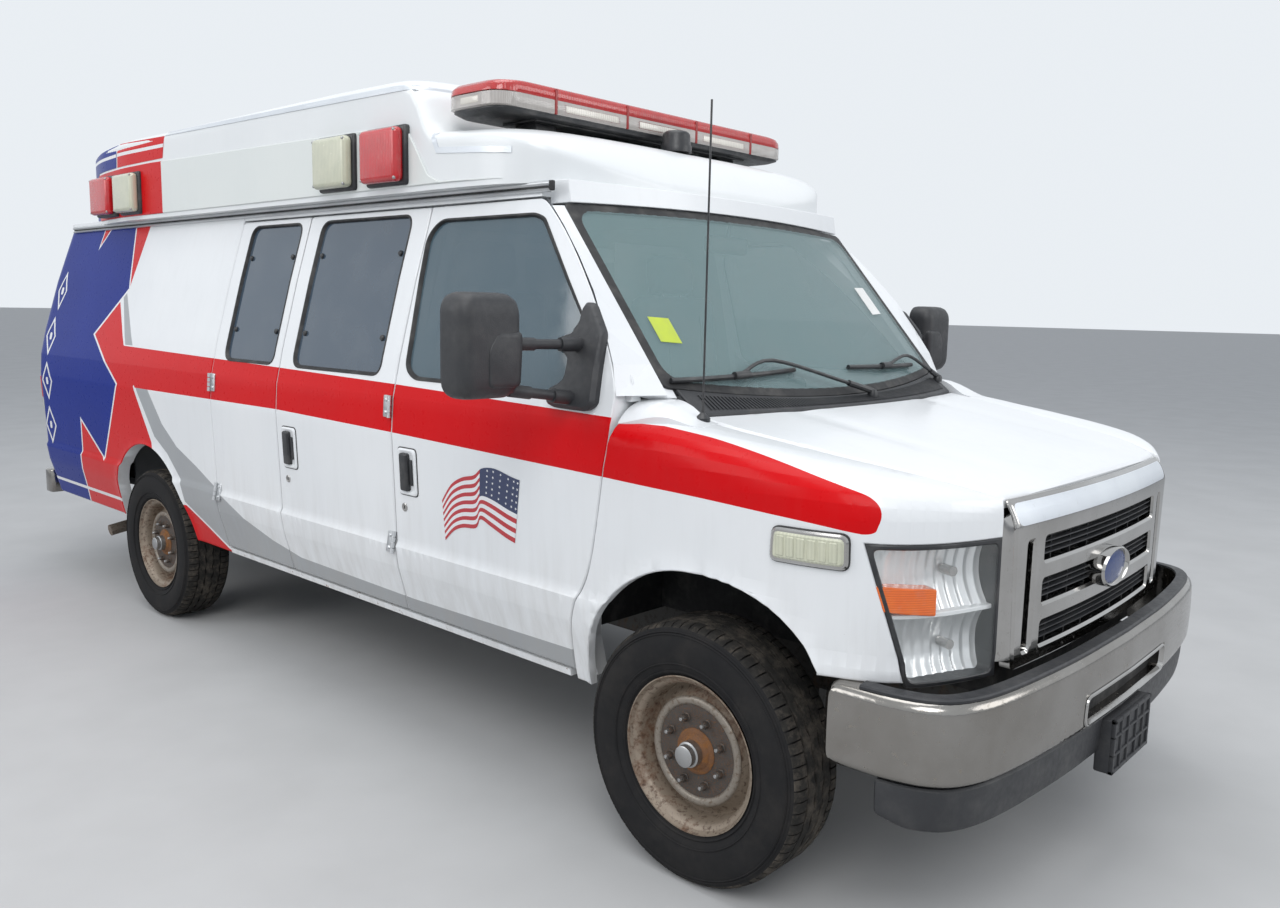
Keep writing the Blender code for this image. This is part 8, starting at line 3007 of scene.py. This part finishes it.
def stage_and_light():
    floor_look = Look("stage_floor")
    tone = floor_look.noise(2.0, 3.0)
    floor_look.colour(floor_look.mix(
        floor_look.span(tone, 0.35, 0.65), (0.47, 0.47, 0.465), (0.50, 0.50, 0.495),
    ))
    floor_look.rough(floor_look.span(floor_look.noise(9.0, 4.0), 0.3, 0.7, 0.85, 0.95))
    mesh = mesh_from([(-150, -150, 0), (150, -150, 0), (150, 150, 0), (-150, 150, 0)], [(0, 1, 2, 3)])
    mesh.materials.append(floor_look.made)
    floor = bpy.data.objects.new("stage_floor", mesh)
    bpy.context.scene.collection.objects.link(floor)
    world = bpy.data.worlds.new("sky")
    bpy.context.scene.world = world
    world.use_nodes = True
    bpy.context.scene.view_settings.view_transform = "Standard"
    tree = world.node_tree
    tree.nodes.clear()
    light = add(tree, "ShaderNodeBackground", {"Color": (0.80, 0.86, 0.95, 1.0), "Strength": 0.68})
    shown = add(tree, "ShaderNodeBackground", {"Color": (0.82, 0.86, 0.90, 1.0), "Strength": 1.0})
    path = add(tree, "ShaderNodeLightPath")
    mixed = light
    for ray in ("Is Camera Ray", "Is Glossy Ray", "Is Transmission Ray"):
        mixed = add(
            tree, "ShaderNodeMixShader", [path.outputs[ray], mixed.outputs[0], shown.outputs[0]],
        )
    out = add(tree, "ShaderNodeOutputWorld")
    tree.links.new(mixed.outputs[0], out.inputs["Surface"])
    for name, place, size, power in (
        ("key", (-7.5, -7.0, 9.0), 7.0, 540.0),
        ("fill", (-9.5, 4.0, 6.0), 7.0, 300.0),
        ("nose", (5.0, -10.0, 5.0), 6.0, 240.0),
        ("top", (-0.5, -0.8, 9.5), 7.0, 320.0),
    ):
        lamp = bpy.data.lights.new(name, "AREA")
        lamp.shape, lamp.size, lamp.energy = "DISK", size, power
        held = bpy.data.objects.new(name, lamp)
        held.location = place
        aim = Vector((0, -0.5, 1.0)) - Vector(place)
        held.rotation_euler = aim.to_track_quat("-Z", "Y").to_euler()
        bpy.context.scene.collection.objects.link(held)


def camera():
    data = bpy.data.cameras.new("photo_view")
    data.lens, data.sensor_width = 29.147, 36.0
    data.clip_end = 300
    held = bpy.data.objects.new("photo_view", data)
    bpy.context.scene.collection.objects.link(held)
    ahead = Vector((0.73138, 0.66745, -0.13915)).normalized()
    level = ahead.cross(Vector((0, 0, 1))).normalized()
    roll = math.radians(1.19)
    across = (level * math.cos(roll) + level.cross(ahead).normalized() * math.sin(roll)).normalized()
    up = across.cross(ahead).normalized()
    turn = Matrix((across, up, -ahead)).transposed()
    held.matrix_world = Matrix.Translation((-3.08767, -3.87076, 1.59524)) @ turn.to_4x4()
    bpy.context.scene.camera = held


stage_and_light()
camera()

bpy.context.view_layer.update()
